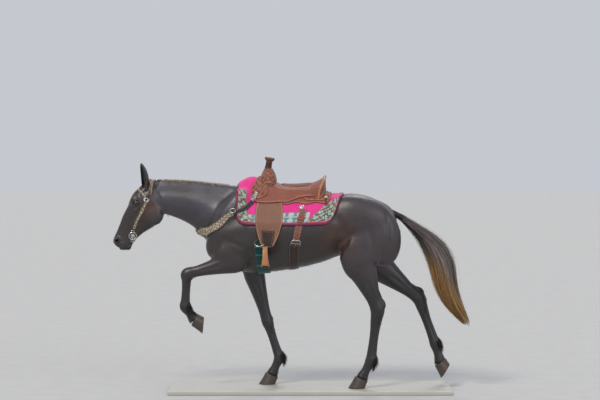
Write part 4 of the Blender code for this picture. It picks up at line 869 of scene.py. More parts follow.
TRUNK = (
    Ring("breastbone", (-0.752, 1.190), (-0.742, 1.070), 0.050, 0.080, 0.060),
    Ring("breast", (-0.738, 1.262), (-0.722, 1.020), 0.080, 0.135, 0.110),
    Ring("points of the shoulders", (-0.700, 1.350), (-0.690, 0.960), 0.105, 0.185, 0.150),
    Ring("shoulders", (-0.622, 1.430), (-0.625, 0.905), 0.118, 0.208, 0.160),
    Ring("elbows", (-0.522, 1.500), (-0.522, 0.865), 0.112, 0.222, 0.165),
    Ring("withers", (-0.432, 1.530), (-0.432, 0.848), 0.112, 0.232, 0.175),
    Ring("girth", (-0.313, 1.508), (-0.313, 0.853), 0.150, 0.255, 0.185),
    Ring("back", (-0.186, 1.464), (-0.186, 0.870), 0.195, 0.280, 0.205),
    Ring("last ribs", (-0.037, 1.442), (-0.037, 0.897), 0.215, 0.292, 0.210),
    Ring("loin", (0.089, 1.434), (0.089, 0.930), 0.215, 0.280, 0.190),
    Ring("flank", (0.209, 1.432), (0.209, 0.972), 0.215, 0.252, 0.155),
    Ring("hips", (0.298, 1.434), (0.298, 0.995), 0.212, 0.245, 0.145),
    Ring("croup", (0.410, 1.420), (0.410, 0.995), 0.192, 0.240, 0.150),
    Ring("rump", (0.522, 1.388), (0.522, 0.995), 0.155, 0.215, 0.140),
    Ring("tail head", (0.600, 1.342), (0.600, 1.030), 0.105, 0.165, 0.110),
    Ring("buttocks", (0.650, 1.270), (0.650, 1.090), 0.045, 0.080, 0.055),
)
NECK = (
    Ring("root", (-0.447, 1.500), (-0.690, 1.000), 0.075, 0.135, 0.115),
    Ring("base", (-0.581, 1.508), (-0.797, 1.112), 0.062, 0.125, 0.100),
    Ring("lower third", (-0.723, 1.524), (-0.864, 1.185), 0.052, 0.100, 0.080),
    Ring("middle", (-0.872, 1.540), (-0.939, 1.230), 0.044, 0.084, 0.068),
    Ring("upper third", (-1.006, 1.548), (-1.013, 1.262), 0.042, 0.076, 0.058),
    Ring("throat", (-1.110, 1.548), (-1.075, 1.285), 0.040, 0.070, 0.054),
    Ring("poll", (-1.170, 1.535), (-1.125, 1.330), 0.036, 0.060, 0.050),
)
HEAD = (
    Ring("occiput", (-1.190, 1.548), (-1.100, 1.385), 0.036, 0.054, 0.045),
    Ring("forelock", (-1.256, 1.494), (-1.090, 1.300), 0.062, 0.076, 0.050),
    Ring("brows", (-1.312, 1.440), (-1.098, 1.262), 0.078, 0.078, 0.050),
    Ring("eyes", (-1.334, 1.400), (-1.112, 1.236), 0.074, 0.078, 0.050),
    Ring("cheek", (-1.364, 1.338), (-1.166, 1.195), 0.058, 0.072, 0.048),
    Ring("face", (-1.396, 1.276), (-1.228, 1.156), 0.044, 0.056, 0.042),
    Ring("nose", (-1.420, 1.212), (-1.280, 1.114), 0.035, 0.044, 0.036),
    Ring("bars", (-1.444, 1.154), (-1.312, 1.078), 0.033, 0.042, 0.033),
    Ring("nostrils", (-1.467, 1.102), (-1.334, 1.040), 0.038, 0.046, 0.034),
    Ring("lips", (-1.466, 1.072), (-1.362, 1.024), 0.032, 0.040, 0.030),
    Ring("lip tips", (-1.440, 1.046), (-1.390, 1.022), 0.018, 0.024, 0.018),
)
SWELLS = (
    Swell("shoulder blade", (-0.595, 0.118, 1.270), (0.240, 0.072, 0.115), -55),
    Swell("back of the arm", (-0.500, 0.152, 1.075), (0.135, 0.078, 0.125), -20),
    Swell("breast lobe", (-0.690, 0.088, 1.068), (0.088, 0.082, 0.118), 12),
    Swell("gluteal", (0.360, 0.128, 1.270), (0.270, 0.118, 0.165), 12),
    Swell("thigh", (0.530, 0.118, 1.125), (0.148, 0.108, 0.225), -8),
    Swell("hip bone", (0.245, 0.175, 1.335), (0.060, 0.045, 0.050), 0),
    Swell("jowl", (-1.165, 0.045, 1.290), (0.088, 0.034, 0.078), 55),
    Swell("brow", (-1.284, 0.056, 1.402), (0.034, 0.027, 0.024), 60),
    Swell("orbit", (-1.282, 0.056, 1.378), (0.062, 0.030, 0.050), 45),
    Swell("cheek bone", (-1.300, 0.060, 1.318), (0.060, 0.013, 0.012), 62),
    Swell("nostril", (-1.430, 0.033, 1.094), (0.030, 0.020, 0.026), 60),
    Swell("upper lip", (-1.432, 0.014, 1.064), (0.036, 0.028, 0.020), 40),
    Swell("lower lip", (-1.392, 0.012, 1.036), (0.032, 0.024, 0.014), -20),
    Swell("chin", (-1.352, 0.010, 1.044), (0.026, 0.022, 0.020), -30),
)
FORE_ROWS = (
    ("shoulder", 0, 0.0, 0.105, 0.066), ("upper arm", 0, 0.5, 0.125, 0.074),
    ("elbow", 1, 0.0, 0.092, 0.068), ("upper forearm", 1, 0.22, 0.080, 0.062),
    ("middle forearm", 1, 0.50, 0.060, 0.052), ("lower forearm", 1, 0.80, 0.045, 0.043),
    ("knee", 2, 0.0, 0.047, 0.045), ("below the knee", 2, 0.20, 0.038, 0.036),
    ("cannon", 2, 0.50, 0.034, 0.027), ("above the fetlock", 2, 0.82, 0.037, 0.030),
    ("fetlock", 3, 0.0, 0.044, 0.039), ("pastern", 3, 0.50, 0.034, 0.034),
    ("coronet", 4, 0.0, 0.046, 0.045),
)
HIND_ROWS = (
    ("hip", 0, 0.0, 0.195, 0.100), ("thigh", 0, 0.5, 0.185, 0.102),
    ("stifle", 1, 0.0, 0.140, 0.088), ("upper gaskin", 1, 0.28, 0.104, 0.070),
    ("middle gaskin", 1, 0.56, 0.074, 0.054), ("lower gaskin", 1, 0.82, 0.052, 0.042),
    ("hock", 2, 0.0, 0.056, 0.047), ("below the hock", 2, 0.18, 0.046, 0.039),
    ("cannon", 2, 0.50, 0.037, 0.030), ("above the fetlock", 2, 0.84, 0.039, 0.033),
    ("fetlock", 3, 0.0, 0.046, 0.040), ("pastern", 3, 0.50, 0.035, 0.035),
    ("coronet", 4, 0.0, 0.047, 0.046),
)
LIMBS = {
    "foreleg_left": Limb(-1, FORE_ROWS, (
        (-0.660, 0.140, 1.060), (-0.545, 0.150, 0.950), (-0.913, 0.135, 0.853),
        (-0.926, 0.130, 0.607), (-0.857, 0.130, 0.512)), 85),
    "foreleg_right": Limb(1, FORE_ROWS, (
        (-0.640, 0.140, 1.080), (-0.440, 0.152, 0.900), (-0.318, 0.128, 0.468),
        (-0.230, 0.122, 0.200), (-0.285, 0.122, 0.070)), 0),
    "hindleg_left": Limb(-1, HIND_ROWS, (
        (0.480, 0.125, 1.190), (0.360, 0.160, 0.955), (0.500, 0.130, 0.585),
        (0.452, 0.125, 0.205), (0.383, 0.125, 0.072)), 0),
    "hindleg_right": Limb(1, HIND_ROWS, (
        (0.500, 0.125, 1.190), (0.465, 0.160, 0.930), (0.818, 0.135, 0.648),
        (0.945, 0.130, 0.300), (0.982, 0.130, 0.165)), 58),
}
EYE = (-1.2866, 0.0725, 1.3780)
EYE_RADIUS = 0.0215

CREASES = (Crease("jugular groove", ((-1.080, 0.060, 1.305), (-0.960, 0.080, 1.262), (-0.860, 0.105, 1.215),
    (-0.780, 0.130, 1.180)), 0.020, -0.0070),
    Crease("crest muscle", ((-1.100, 0.060, 1.462), (-0.960, 0.075, 1.460), (-0.800, 0.090, 1.450),
    (-0.660, 0.100, 1.445)), 0.030, -0.0050),
    Crease("neck muscle", ((-1.080, 0.070, 1.380), (-0.930, 0.090, 1.330), (-0.800, 0.120, 1.270)), 0.032,
    0.0050),
    Crease("front of the shoulder", ((-0.585, 0.130, 1.440), (-0.660, 0.160, 1.340), (-0.735, 0.180, 1.210),
    (-0.770, 0.160, 1.130)), 0.026, -0.0075),
    Crease("shoulder spine", ((-0.500, 0.130, 1.440), (-0.570, 0.190, 1.320), (-0.640, 0.210, 1.200)),
    0.020, 0.0040),
    Crease("back of the shoulder", ((-0.420, 0.200, 1.400), (-0.445, 0.230, 1.280), (-0.470, 0.240, 1.160)),
    0.026, -0.0060), Crease("arm", ((-0.680, 0.215, 1.130), (-0.590, 0.225, 1.095), (-0.500, 0.225, 1.060)),
    0.020, -0.0080),
    Crease("elbow fold", ((-0.470, 0.215, 1.030), (-0.430, 0.205, 0.960), (-0.425, 0.190, 0.900)), 0.022,
    -0.0080),
    Crease("breast middle", ((-0.780, 0.000, 1.180), (-0.770, 0.000, 1.080), (-0.730, 0.000, 0.980),
    (-0.640, 0.000, 0.900)), 0.020, -0.0120),
    Crease("spur vein", ((-0.430, 0.215, 1.010), (-0.250, 0.235, 0.985), (-0.080, 0.240, 0.990),
    (0.080, 0.225, 1.020)), 0.006, 0.0025),
    Crease("rib arch", ((-0.060, 0.260, 0.990), (0.070, 0.270, 1.080), (0.160, 0.265, 1.190)), 0.034,
    -0.0055), Crease("rib shade", ((-0.150, 0.280, 1.020), (-0.060, 0.285, 1.140), (-0.010, 0.285, 1.230)),
    0.022, -0.0022),
    Crease("flank hollow", ((0.175, 0.240, 1.300), (0.215, 0.240, 1.240), (0.235, 0.235, 1.170)), 0.036,
    -0.0120), Crease("stifle fold", ((0.215, 0.200, 1.060), (0.265, 0.205, 1.090), (0.310, 0.220, 1.150)),
    0.020, -0.0060),
    Crease("front of the thigh", ((0.270, 0.215, 1.270), (0.290, 0.225, 1.160), (0.300, 0.220, 1.060)),
    0.024, 0.0060),
    Crease("ham", ((0.560, 0.170, 1.300), (0.575, 0.205, 1.180), (0.560, 0.210, 1.060),
    (0.520, 0.180, 0.930)), 0.018, -0.0085),
    Crease("thigh", ((0.400, 0.225, 1.250), (0.450, 0.235, 1.120), (0.455, 0.220, 0.990)), 0.026, -0.0045),
    Crease("loin middle", ((0.150, 0.000, 1.440), (0.300, 0.000, 1.445), (0.440, 0.000, 1.425)), 0.024,
    -0.0050), Crease("croup point", ((0.330, 0.030, 1.440), (0.400, 0.030, 1.432)), 0.040, 0.0050),
    Crease("throat latch", ((-1.130, 0.060, 1.440), (-1.105, 0.070, 1.370), (-1.090, 0.060, 1.300)), 0.014,
    -0.0060), Crease("face ridge", ((-1.345, 0.062, 1.262), (-1.318, 0.068, 1.300), (-1.268, 0.078, 1.345)),
    0.008, 0.0042),
    Crease("under the ridge", ((-1.330, 0.062, 1.240), (-1.295, 0.068, 1.280), (-1.250, 0.074, 1.315)),
    0.014, -0.0040),
    Crease("cheek edge", ((-1.150, 0.070, 1.360), (-1.130, 0.070, 1.300), (-1.165, 0.060, 1.225)), 0.010,
    0.0025), Crease("nose bone", ((-1.350, 0.038, 1.372), (-1.392, 0.030, 1.270), (-1.420, 0.024, 1.190)),
    0.010, 0.0022), Crease("temple", ((-1.225, 0.066, 1.462), (-1.245, 0.074, 1.440)), 0.015, -0.0070),
    Crease("nose vein", ((-1.300, 0.070, 1.290), (-1.340, 0.056, 1.225), (-1.385, 0.044, 1.190),
    (-1.400, 0.040, 1.150)), 0.0034, 0.0020),
    Crease("cheek vein", ((-1.215, 0.070, 1.225), (-1.255, 0.066, 1.250), (-1.290, 0.066, 1.285)), 0.0036,
    0.0022), Crease("nostril wing", ((-1.412, 0.046, 1.118), (-1.440, 0.046, 1.112), (-1.457, 0.040, 1.090),
    (-1.448, 0.044, 1.072)), 0.0060, 0.0040),
    Crease("nostril fold", ((-1.385, 0.044, 1.130), (-1.405, 0.044, 1.108), (-1.408, 0.042, 1.085)), 0.0060,
    -0.0030),
    Crease("upper lip edge", ((-1.350, 0.046, 1.091), (-1.385, 0.042, 1.077), (-1.420, 0.028, 1.064)),
    0.0060, 0.0026),
    Crease("chin fold", ((-1.330, 0.040, 1.068), (-1.345, 0.030, 1.060), (-1.370, 0.022, 1.055)), 0.0060,
    -0.0026),)
MOUTH = ((-1.326, 0.050, 1.093), (-1.360, 0.050, 1.076), (-1.395, 0.042, 1.062), (-1.422, 0.026, 1.053),
    (-1.436, 0.000, 1.050))
NOSTRIL = (-1.4335, 0.0460, 1.0940)


def distance_to(points: np.ndarray, line: np.ndarray) -> np.ndarray:
    """How far each point is from a line of points."""
    best = np.full(len(points), np.inf)
    for a, b in zip(line, line[1:]):
        way = b - a
        t = np.clip((points - a) @ way / max(way @ way, 1e-12), 0, 1)
        best = np.minimum(best, np.linalg.norm(points - a - t[:, None] * way, axis=1))
    return best


def relax(points: np.ndarray, edges: np.ndarray, share: np.ndarray, rounds: int) -> np.ndarray:
    """Draws each point towards the middle of its neighbours.

    Args:
        points: The points, changed in place.
        edges: Pairs of point numbers.
        share: How far each point goes in a round.
        rounds: How many rounds.

    Returns:
        The points.
    """
    a, b = edges.T
    ends = np.concatenate([a, b])
    others = np.concatenate([b, a])
    degree = np.bincount(ends, minlength=len(points))[:, None]
    for _ in range(rounds):
        other = points[others]
        total = np.stack([np.bincount(ends, other[:, k], len(points)) for k in range(3)], axis=1)
        points += (total / degree - points) * share[:, None]
    return points


def coat_colours(points: np.ndarray) -> np.ndarray:
    """The coat's colour at each point: dark chocolate, redder at the flank, with a painted bluish sheen on
    the neck, shoulders and croup, a painted plum sheen on the forearms and painted shade in the nostrils.
    """
    x, y, z = points[:, 0], np.abs(points[:, 1]), points[:, 2] - BASE_HEIGHT
    body, haunch, leg, red, muzzle, grey, plum_sheen = (np.array(linear(h)[:3]) for h in (
        "#2b2322", "#393034", "#1a1617", "#4d2f22", "#1d191b", "#474654", "#372b35"))
    out = np.repeat(body[None], len(points), 0)

    def blend(colour: np.ndarray, share: np.ndarray) -> None:
        """Mixes a colour in where the share says."""
        share = np.clip(share, 0, 1)[:, None]
        out[:] = out * (1 - share) + colour * share

    patch = grain(points, 0.16, 7) * 0.5 + grain(points, 0.05, 8) * 0.3
    blend(haunch, ramp(x, 0.20, 0.42) * (0.8 + patch))
    # Painted sheen: bluish grey on the top of the neck and shoulders and on the top of the croup, where the
    # light catches the gloss
    blend(grey, 0.55 * ramp(z, 1.10, 1.40) * ramp(-x, 0.35, 0.60) * (1 - ramp(-x, 1.12, 1.24))
        * (0.8 + patch))
    blend(grey, 0.25 * ramp(z, 1.32, 1.42) * ramp(x, 0.20, 0.40) * (0.8 + patch))
    blend(red, 0.75 * np.exp(-(((x - 0.20) / 0.11) ** 2 + ((z - 1.13) / 0.14) ** 2)) * (1 + patch))
    blend(red, 0.85 * np.exp(-(((x + 1.195) / 0.075) ** 2 + ((z - 1.335) / 0.065) ** 2)) * (1 + patch))
    blend(red, 0.12 * np.exp(-(((x + 1.400) / 0.05) ** 2 + ((z - 1.13) / 0.05) ** 2)) * (1 + patch))
    blend(leg, 1 - ramp(z + 0.10 * patch, 0.62, 0.98))
    # Painted sheen: plum on the forearms, where the light catches the gloss
    blend(plum_sheen, 0.8 * np.exp(-(((x + 0.76) / 0.16) ** 2 + ((z - 0.92) / 0.07) ** 2)) * (1 + patch))
    blend(muzzle, ramp(-x, 1.40, 1.46))
    mirrored = np.column_stack([x, y, z])
    blend(np.array(linear("#141010")[:3]), 1 - ramp(np.linalg.norm(mirrored - np.array(EYE), axis=1), 0.020,
        0.027))
    # Painted shade: near-black in the hollows of the nostrils
    blend(np.array(linear("#080607")[:3]),
          1 - ramp(np.linalg.norm((mirrored - np.array(NOSTRIL)) * [1, 0.6, 1], axis=1), 0.010, 0.020))
    return out * (1 + 0.10 * grain(points, 0.012, 9))[:, None]


@dataclass
class HorseSkin:
    """The one skin of head, neck, trunk and legs."""
    material: bpy.types.Material
    voxel: float = 0.0045
    coat_depth: float = 0.0018
    body_evening: float = 0.00110
    leg_evening: float = 0.00015
    head_evening: float = 0.00007
    triangles: int = 150000
    ring_points: int = 40
    ring_steps: int = 8
    limb_points: int = 28

    def body_tube(self, bm: bmesh.types.BMesh, rings: Sequence[Ring]) -> None:
        """Adds the tube through some rings."""
        rows = smooth_rows([[*r.top, *r.bottom, r.upper, r.middle, r.lower] for r in rings],
            self.ring_steps)
        loops = []
        for top_x, top_z, low_x, low_z, upper, middle, lower in rows:
            half = [(0.965, upper * 0.58), (0.83, upper), (0.5, middle), (0.17, lower),
                (0.035, lower * 0.58)]
            outline = [(1.0, 0)] + half + [(0.0, 0)] + [(h, -w) for h, w in reversed(half)]
            loops.append([(low_x + (top_x - low_x) * h, w, low_z + (top_z - low_z) * h + BASE_HEIGHT)
                for h, w in closed_curve(outline, self.ring_points)])
        add_tube(bm, loops)

    def limb_tube(self, bm: bmesh.types.BMesh, limb: Limb) -> None:
        """Adds a limb and the bones that stand out at its joints."""
        joints = limb.joints()
        rows = smooth_rows(list(joints.values()), self.ring_steps)
        loops = []
        for i, row in enumerate(rows):
            along = Vector(rows[min(i + 1, len(rows) - 1)][:3] - rows[max(i - 1, 0)][:3]).normalized()
            across = along.cross(Vector((0, 1, 0))).normalized()
            side = across.cross(along).normalized()
            middle = Vector(row[:3]) + UP * BASE_HEIGHT
            loops.append(ring_of(middle, across * row[3], side * row[4], self.limb_points))
        add_tube(bm, loops)
        fore = limb.rows is FORE_ROWS
        self.bone(bm, joints, "fetlock", "above the fetlock", 0.026, 0.006, (0.020, 0.030, 0.026))
        if fore:
            self.bone(bm, joints, "elbow", "upper arm", 0.075, 0.010, (0.042, 0.040, 0.050))
            self.bone(bm, joints, "knee", "lower forearm", 0.032, 0.018, (0.020, 0.022, 0.028))
            self.bone(bm, joints, "knee", "lower forearm", -0.016, 0.000, (0.030, 0.040, 0.040))
            return
        self.bone(bm, joints, "stifle", "thigh", -0.088, -0.010, (0.060, 0.062, 0.075))
        point = self.bone(bm, joints, "hock", "lower gaskin", 0.050, 0.030, (0.026, 0.023, 0.044))
        string = (point + Vector(joints["middle gaskin"][:3]) + Vector((0.052, 0, 0.0))) / 2
        lean = math.degrees(math.atan2(string.x - point.x, string.z - point.z))
        self.ball(bm, string, (0.018, 0.018, 0.110), lean)

    def bone(self, bm: bmesh.types.BMesh, joints: dict, place: str, upper: str, behind: float, above: float,
            half: tuple[float, float, float]) -> Vector:
        """Adds the bone that stands out behind a joint.

        Args:
            bm: The mesh that gets it.
            joints: The limb's joints.
            place: The joint.
            upper: The joint above, which gives the bone's line.
            behind: How far behind the joint it lies.
            above: How far above.
            half: Its half sizes.

        Returns:
            Its middle.
        """
        here, up = joints[place], joints[upper]
        axis = Vector((up[0] - here[0], 0, up[2] - here[2])).normalized()
        middle = Vector(here[:3]) + Vector((axis.z, 0, -axis.x)) * behind + axis * above
        self.ball(bm, middle, half, math.degrees(math.atan2(axis.x, axis.z)))
        return middle

    def ball(self, bm: bmesh.types.BMesh, middle: Sequence[float], half: Sequence[float],
            turn: float) -> None:
        """Adds an ellipsoid turned about Y."""
        matrix = (Matrix.Translation(Vector(middle) + UP
            * BASE_HEIGHT) @ Matrix.Rotation(math.radians(turn), 4, 'Y') @ Matrix.Diagonal((*half, 1)))
        bmesh.ops.create_uvsphere(bm, u_segments=24, v_segments=16, radius=1.0, matrix=matrix)

    def evening(self, points: np.ndarray) -> np.ndarray:
        """How strongly each point is evened out: trunk and neck fully, legs and head a little."""
        low = np.clip((points[:, 2] - BASE_HEIGHT - 0.80) / 0.20, 0.0, 1.0)
        reach = np.clip((points[:, 0] + 1.16) / 0.10, 0.0, 1.0)
        legs = self.leg_evening + (self.body_evening - self.leg_evening) * low
        return self.head_evening + (legs - self.head_evening) * reach

    def sculpt(self, points: np.ndarray, normals: np.ndarray) -> np.ndarray:
        """Presses grooves, ridges, veins, nostrils and the line of the mouth into the skin.

        Args:
            points: The skin's points.
            normals: Their normals.

        Returns:
            The new points.
        """
        mirrored = np.column_stack([points[:, 0], np.abs(points[:, 1]), points[:, 2] - BASE_HEIGHT])
        lift = np.zeros(len(points))
        for crease in CREASES:
            line = smooth_rows(crease.line, 5)
            near = (mirrored > line.min(0) - 3 * crease.width).all(1) & (mirrored < line.max(0) + 3
                * crease.width).all(1)
            away = distance_to(mirrored[near], line)
            lift[near] += crease.lift * np.exp(-(away / crease.width) ** 2)
        lift += self.leg_lines(points)
        face = points[:, 0] < -1.05
        lift += np.where(face, 0.0003, 0.0012) * grain(points, 0.090, 3)
        mouth = distance_to(mirrored, smooth_rows(MOUTH, 6))
        lift -= 0.0062 * np.exp(-(mouth / 0.0026) ** 2)
        lift += 0.0016 * np.exp(-((mouth - 0.0062) / 0.0035) ** 2)
        out = points + normals * lift[:, None]
        turned = self.turned(mirrored - np.array(NOSTRIL), 62)
        hole = np.sqrt((turned[:, 0] / 0.0085) ** 2 + (turned[:, 1] / 0.020) ** 2
            + (turned[:, 2] / 0.0190) ** 2)
        push = np.array([0.45, -1.0, 0.20]) * 0.020
        push = push * np.column_stack([np.ones(len(points)), np.sign(points[:, 1]), np.ones(len(points))])
        out += push * (1 - ramp(hole, 0.55, 1.0))[:, None] * (mirrored[:, 1] > 0.015)[:, None]
        eye = np.linalg.norm(mirrored - np.array(EYE), axis=1)
        socket = 1 - ramp(eye, 0.020, 0.034)
        inward = np.column_stack([np.zeros(len(points)), -np.sign(points[:, 1]), np.zeros(len(points))])
        return out + inward * (socket * 0.022)[:, None]

    def turned(self, points: np.ndarray, degrees: float) -> np.ndarray:
        """Turns points about Y."""
        c, s = math.cos(math.radians(degrees)), math.sin(math.radians(degrees))
        return np.column_stack([points[:, 0] * c - points[:, 2] * s, points[:, 1],
            points[:, 0] * s + points[:, 2] * c])

    def leg_lines(self, points: np.ndarray) -> np.ndarray:
        """The lift of the tendons, their grooves and the lines of the forearms and gaskins."""
        lift = np.zeros(len(points))
        for limb in LIMBS.values():
            joints = limb.joints()
            bend = "knee" if limb.rows is FORE_ROWS else "hock"
            above = "upper forearm" if limb.rows is FORE_ROWS else "upper gaskin"
            top, low, high = (np.array(joints[k][:3]) for k in (bend, "fetlock", above))
            for start, end, back, width, amount, side in (
                    (top, low, 0.010, 0.0060, -0.0048, 0.030), (top, low, 0.024, 0.0060, 0.0020, 0.020),
                    (high, top, 0.004, 0.0120, -0.0050, 0.052), (high, top, -0.026, 0.0100, 0.0030, 0.050)):
                way = (end - start) / np.linalg.norm(end - start)
                behind = np.array([-way[2], 0, way[0]])
                a = start + way * 0.050 + behind * back
                b = end - way * 0.030 + behind * back
                for y in (-side, side):
                    line = np.array([a + [0, y, BASE_HEIGHT], b + [0, y, BASE_HEIGHT]])
                    near = (points > line.min(0) - 0.04).all(1) & (points < line.max(0) + 0.04).all(1)
                    lift[near] += amount * np.exp(-(distance_to(points[near], line) / width) ** 2)
        return lift

    def build(self) -> bpy.types.Object:
        """Builds the skin.

        Returns:
            The skin, painted and dressed.
        """
        bm = bmesh.new()
        for rings in (TRUNK, NECK, HEAD):
            self.body_tube(bm, rings)
        for limb in LIMBS.values():
            self.limb_tube(bm, limb)
        for swell in SWELLS:
            x, y, z = swell.middle
            for side in (-1, 1):
                self.ball(bm, (x, side * y, z), swell.half, swell.turn)
        skin = from_bmesh("coat_skin", bm)
        one = skin.modifiers.new("one_skin", 'REMESH')
        one.mode = 'VOXEL'
        one.voxel_size = self.voxel
        applied(skin)
        mesh = skin.data
        points = points_of(mesh)
        edges = np.empty(len(mesh.edges) * 2, np.int64)
        mesh.edges.foreach_get("vertices", edges)
        amount = self.evening(points) / self.voxel ** 2
        rounds = int(math.ceil(amount.max() / 0.55))
        move_points(mesh, relax(points, edges.reshape(-1, 2), amount / rounds, rounds))
        move_points(mesh, points_of(mesh) - normals_of(mesh) * self.coat_depth)
        self.refine(skin)
        mesh = skin.data
        move_points(mesh, self.sculpt(points_of(mesh), normals_of(mesh)))
        self.thin(skin)
        mesh = skin.data
        mesh.polygons.foreach_set("use_smooth", [True] * len(mesh.polygons))
        points = points_of(mesh)
        paint(mesh, "coat", coat_colours(points))
        mark(mesh, "leg", 1 - ramp(points[:, 2], 0.80, 0.95))
        mesh.materials.clear()
        mesh.materials.append(self.material)
        return skin

    def refine(self, skin: bpy.types.Object) -> None:
        """Splits the faces about the eyes, nostrils and mouth."""
        bm = bmesh.new()
        bm.from_mesh(skin.data)
        eye, muzzle = Vector(EYE), Vector((-1.415, 0.0, 1.075))
        edges = {edge for face in bm.faces for edge in face.edges if face.calc_center_median().x < -1.20
            and ((self.folded(face) - muzzle).length < 0.085 or (self.folded(face) - eye).length < 0.045)}
        bmesh.ops.subdivide_edges(bm, edges=list(edges), cuts=1, use_grid_fill=True, smooth=0.0)
        bm.to_mesh(skin.data)
        bm.free()

    def folded(self, face: bmesh.types.BMFace) -> Vector:
        """The face's middle, over the base and on the right side."""
        place = face.calc_center_median()
        return Vector((place.x, abs(place.y), place.z - BASE_HEIGHT))

    def thin(self, skin: bpy.types.Object) -> None:
        """Collapses trunk and legs, and keeps the head."""
        mesh = skin.data
        points = points_of(mesh)
        group = skin.vertex_groups.new(name="thin")
        share = ramp(points[:, 0], -1.22, -1.10)
        share = np.round(share * 10) / 10
        for value in np.unique(share):
            group.add(np.flatnonzero(share == value).tolist(), float(value), 'REPLACE')
        total = sum(len(p.vertices) - 2 for p in mesh.polygons)
        modifier = skin.modifiers.new("thin", 'DECIMATE')
        modifier.vertex_group = "thin"
        modifier.ratio = min(1.0, self.triangles / total)
        applied(skin)
        skin.vertex_groups.clear()


@dataclass
class Tufts:
    """A piece of solid strands, each a thin closed tube that tapers to its tip."""
    name: str
    material: bpy.types.Material
    sides: int = 3

    def build(self, paths: np.ndarray, flats: np.ndarray, widths: np.ndarray, colours: np.ndarray,
            roots: np.ndarray, slim: float = 0.45, tip: float = 0.12,
            root: float = 0.7) -> bpy.types.Object:
        """Builds the piece.

        Args:
            paths: The strands' points, by strand and station.
            flats: The way that each strand is wide, by strand and station.
            widths: Each strand's width.
            colours: Linear colours, by strand and station.
            roots: Each strand's place on an unwrap of the skin, from 0 to 1.
            slim: Thickness for width.
            tip: The tip's width for the strand's.
            root: The root's width for the strand's.

        Returns:
            The strands as one object, with their colours and the map that the export bakes by.
        """
        count, stations, _ = paths.shape
        along = np.gradient(paths, axis=1)
        along /= np.linalg.norm(along, axis=2, keepdims=True) + 1e-12
        flat = flats - along * np.sum(flats * along, axis=2, keepdims=True)
        flat /= np.linalg.norm(flat, axis=2, keepdims=True) + 1e-12
        rise = np.cross(along, flat)
        t = np.linspace(0, 1, stations)
        swell = np.minimum(1.0, root + 3.0 * t) * (1 - (1 - tip) * np.clip((t - 0.35) / 0.65, 0, 1) ** 1.6)
        half = widths[:, None] * swell[None, :] / 2
        angles = np.arange(self.sides) * 2 * math.pi / self.sides
        ring = (flat[:, :, None] * np.cos(angles)[None, None, :, None]
                + rise[:, :, None] * np.sin(angles)[None, None, :, None] * slim)
        points = (paths[:, :, None] + ring * half[:, :, None, None]).reshape(-1, 3)
        first = (np.arange(count) * stations * self.sides)[:, None, None]
        s = (np.arange(stations - 1) * self.sides)[None, :, None]
        k = np.arange(self.sides)[None, None, :]
        after = (k + 1) % self.sides
        quads = np.stack([first + s + k, first + s + after, first + s + self.sides + after,
            first + s + self.sides + k], axis=-1).reshape(-1, 4)
        start = (np.arange(count) * stations * self.sides)[:, None]
        low = start + np.arange(self.sides)[None, ::-1]
        high = start + (stations - 1) * self.sides + np.arange(self.sides)[None, :]
        mesh = bpy.data.meshes.new(self.name)
        mesh.from_pydata(points, [], quads.tolist() + low.tolist() + high.tolist())
        made = link(self.name, mesh, self.material)
        paint(mesh, "hair", np.repeat(colours[:, :, None], self.sides, axis=2).reshape(-1, 3))
        down = np.tile(np.repeat(t, self.sides), count)
        round_ = np.tile(np.arange(self.sides) / self.sides, count * stations)
        spot = np.repeat(roots, stations * self.sides, axis=0) + np.column_stack([round_, down]) * 0.003
        corner = np.empty(len(mesh.loops), np.int64)
        mesh.loops.foreach_get("vertex_index", corner)
        layer = mesh.uv_layers.new(name="OFBake")
        layer.data.foreach_set("uv", np.clip(spot, 0, 1)[corner].ravel())
        return made


def shades(rng: np.random.Generator, names: Sequence[str], shares: Sequence[float],
        count: int) -> np.ndarray:
    """Picks a colour for each strand.

    Args:
        rng: The seeded source.
        names: Hex colours.
        shares: How often each is picked.
        count: How many strands.

    Returns:
        Linear colours, one row a strand.
    """
    table = np.array([linear(c)[:3] for c in names])
    picked = table[rng.choice(len(names), count, p=np.array(shares) / sum(shares))]
    return picked * rng.uniform(0.78, 1.18, (count, 1))


TAIL_LINE = (
    (0.600, 1.305, 0.028, 0.030), (0.672, 1.268, 0.034, 0.034), (0.745, 1.212, 0.046, 0.042),
    (0.815, 1.150, 0.062, 0.050), (0.885, 1.080, 0.082, 0.058), (0.945, 0.995, 0.096, 0.064),
    (0.985, 0.895, 0.098, 0.066), (1.005, 0.790, 0.096, 0.064), (1.035, 0.690, 0.086, 0.058),
    (1.085, 0.595, 0.070, 0.048), (1.150, 0.500, 0.046, 0.034), (1.190, 0.440, 0.022, 0.018),
)


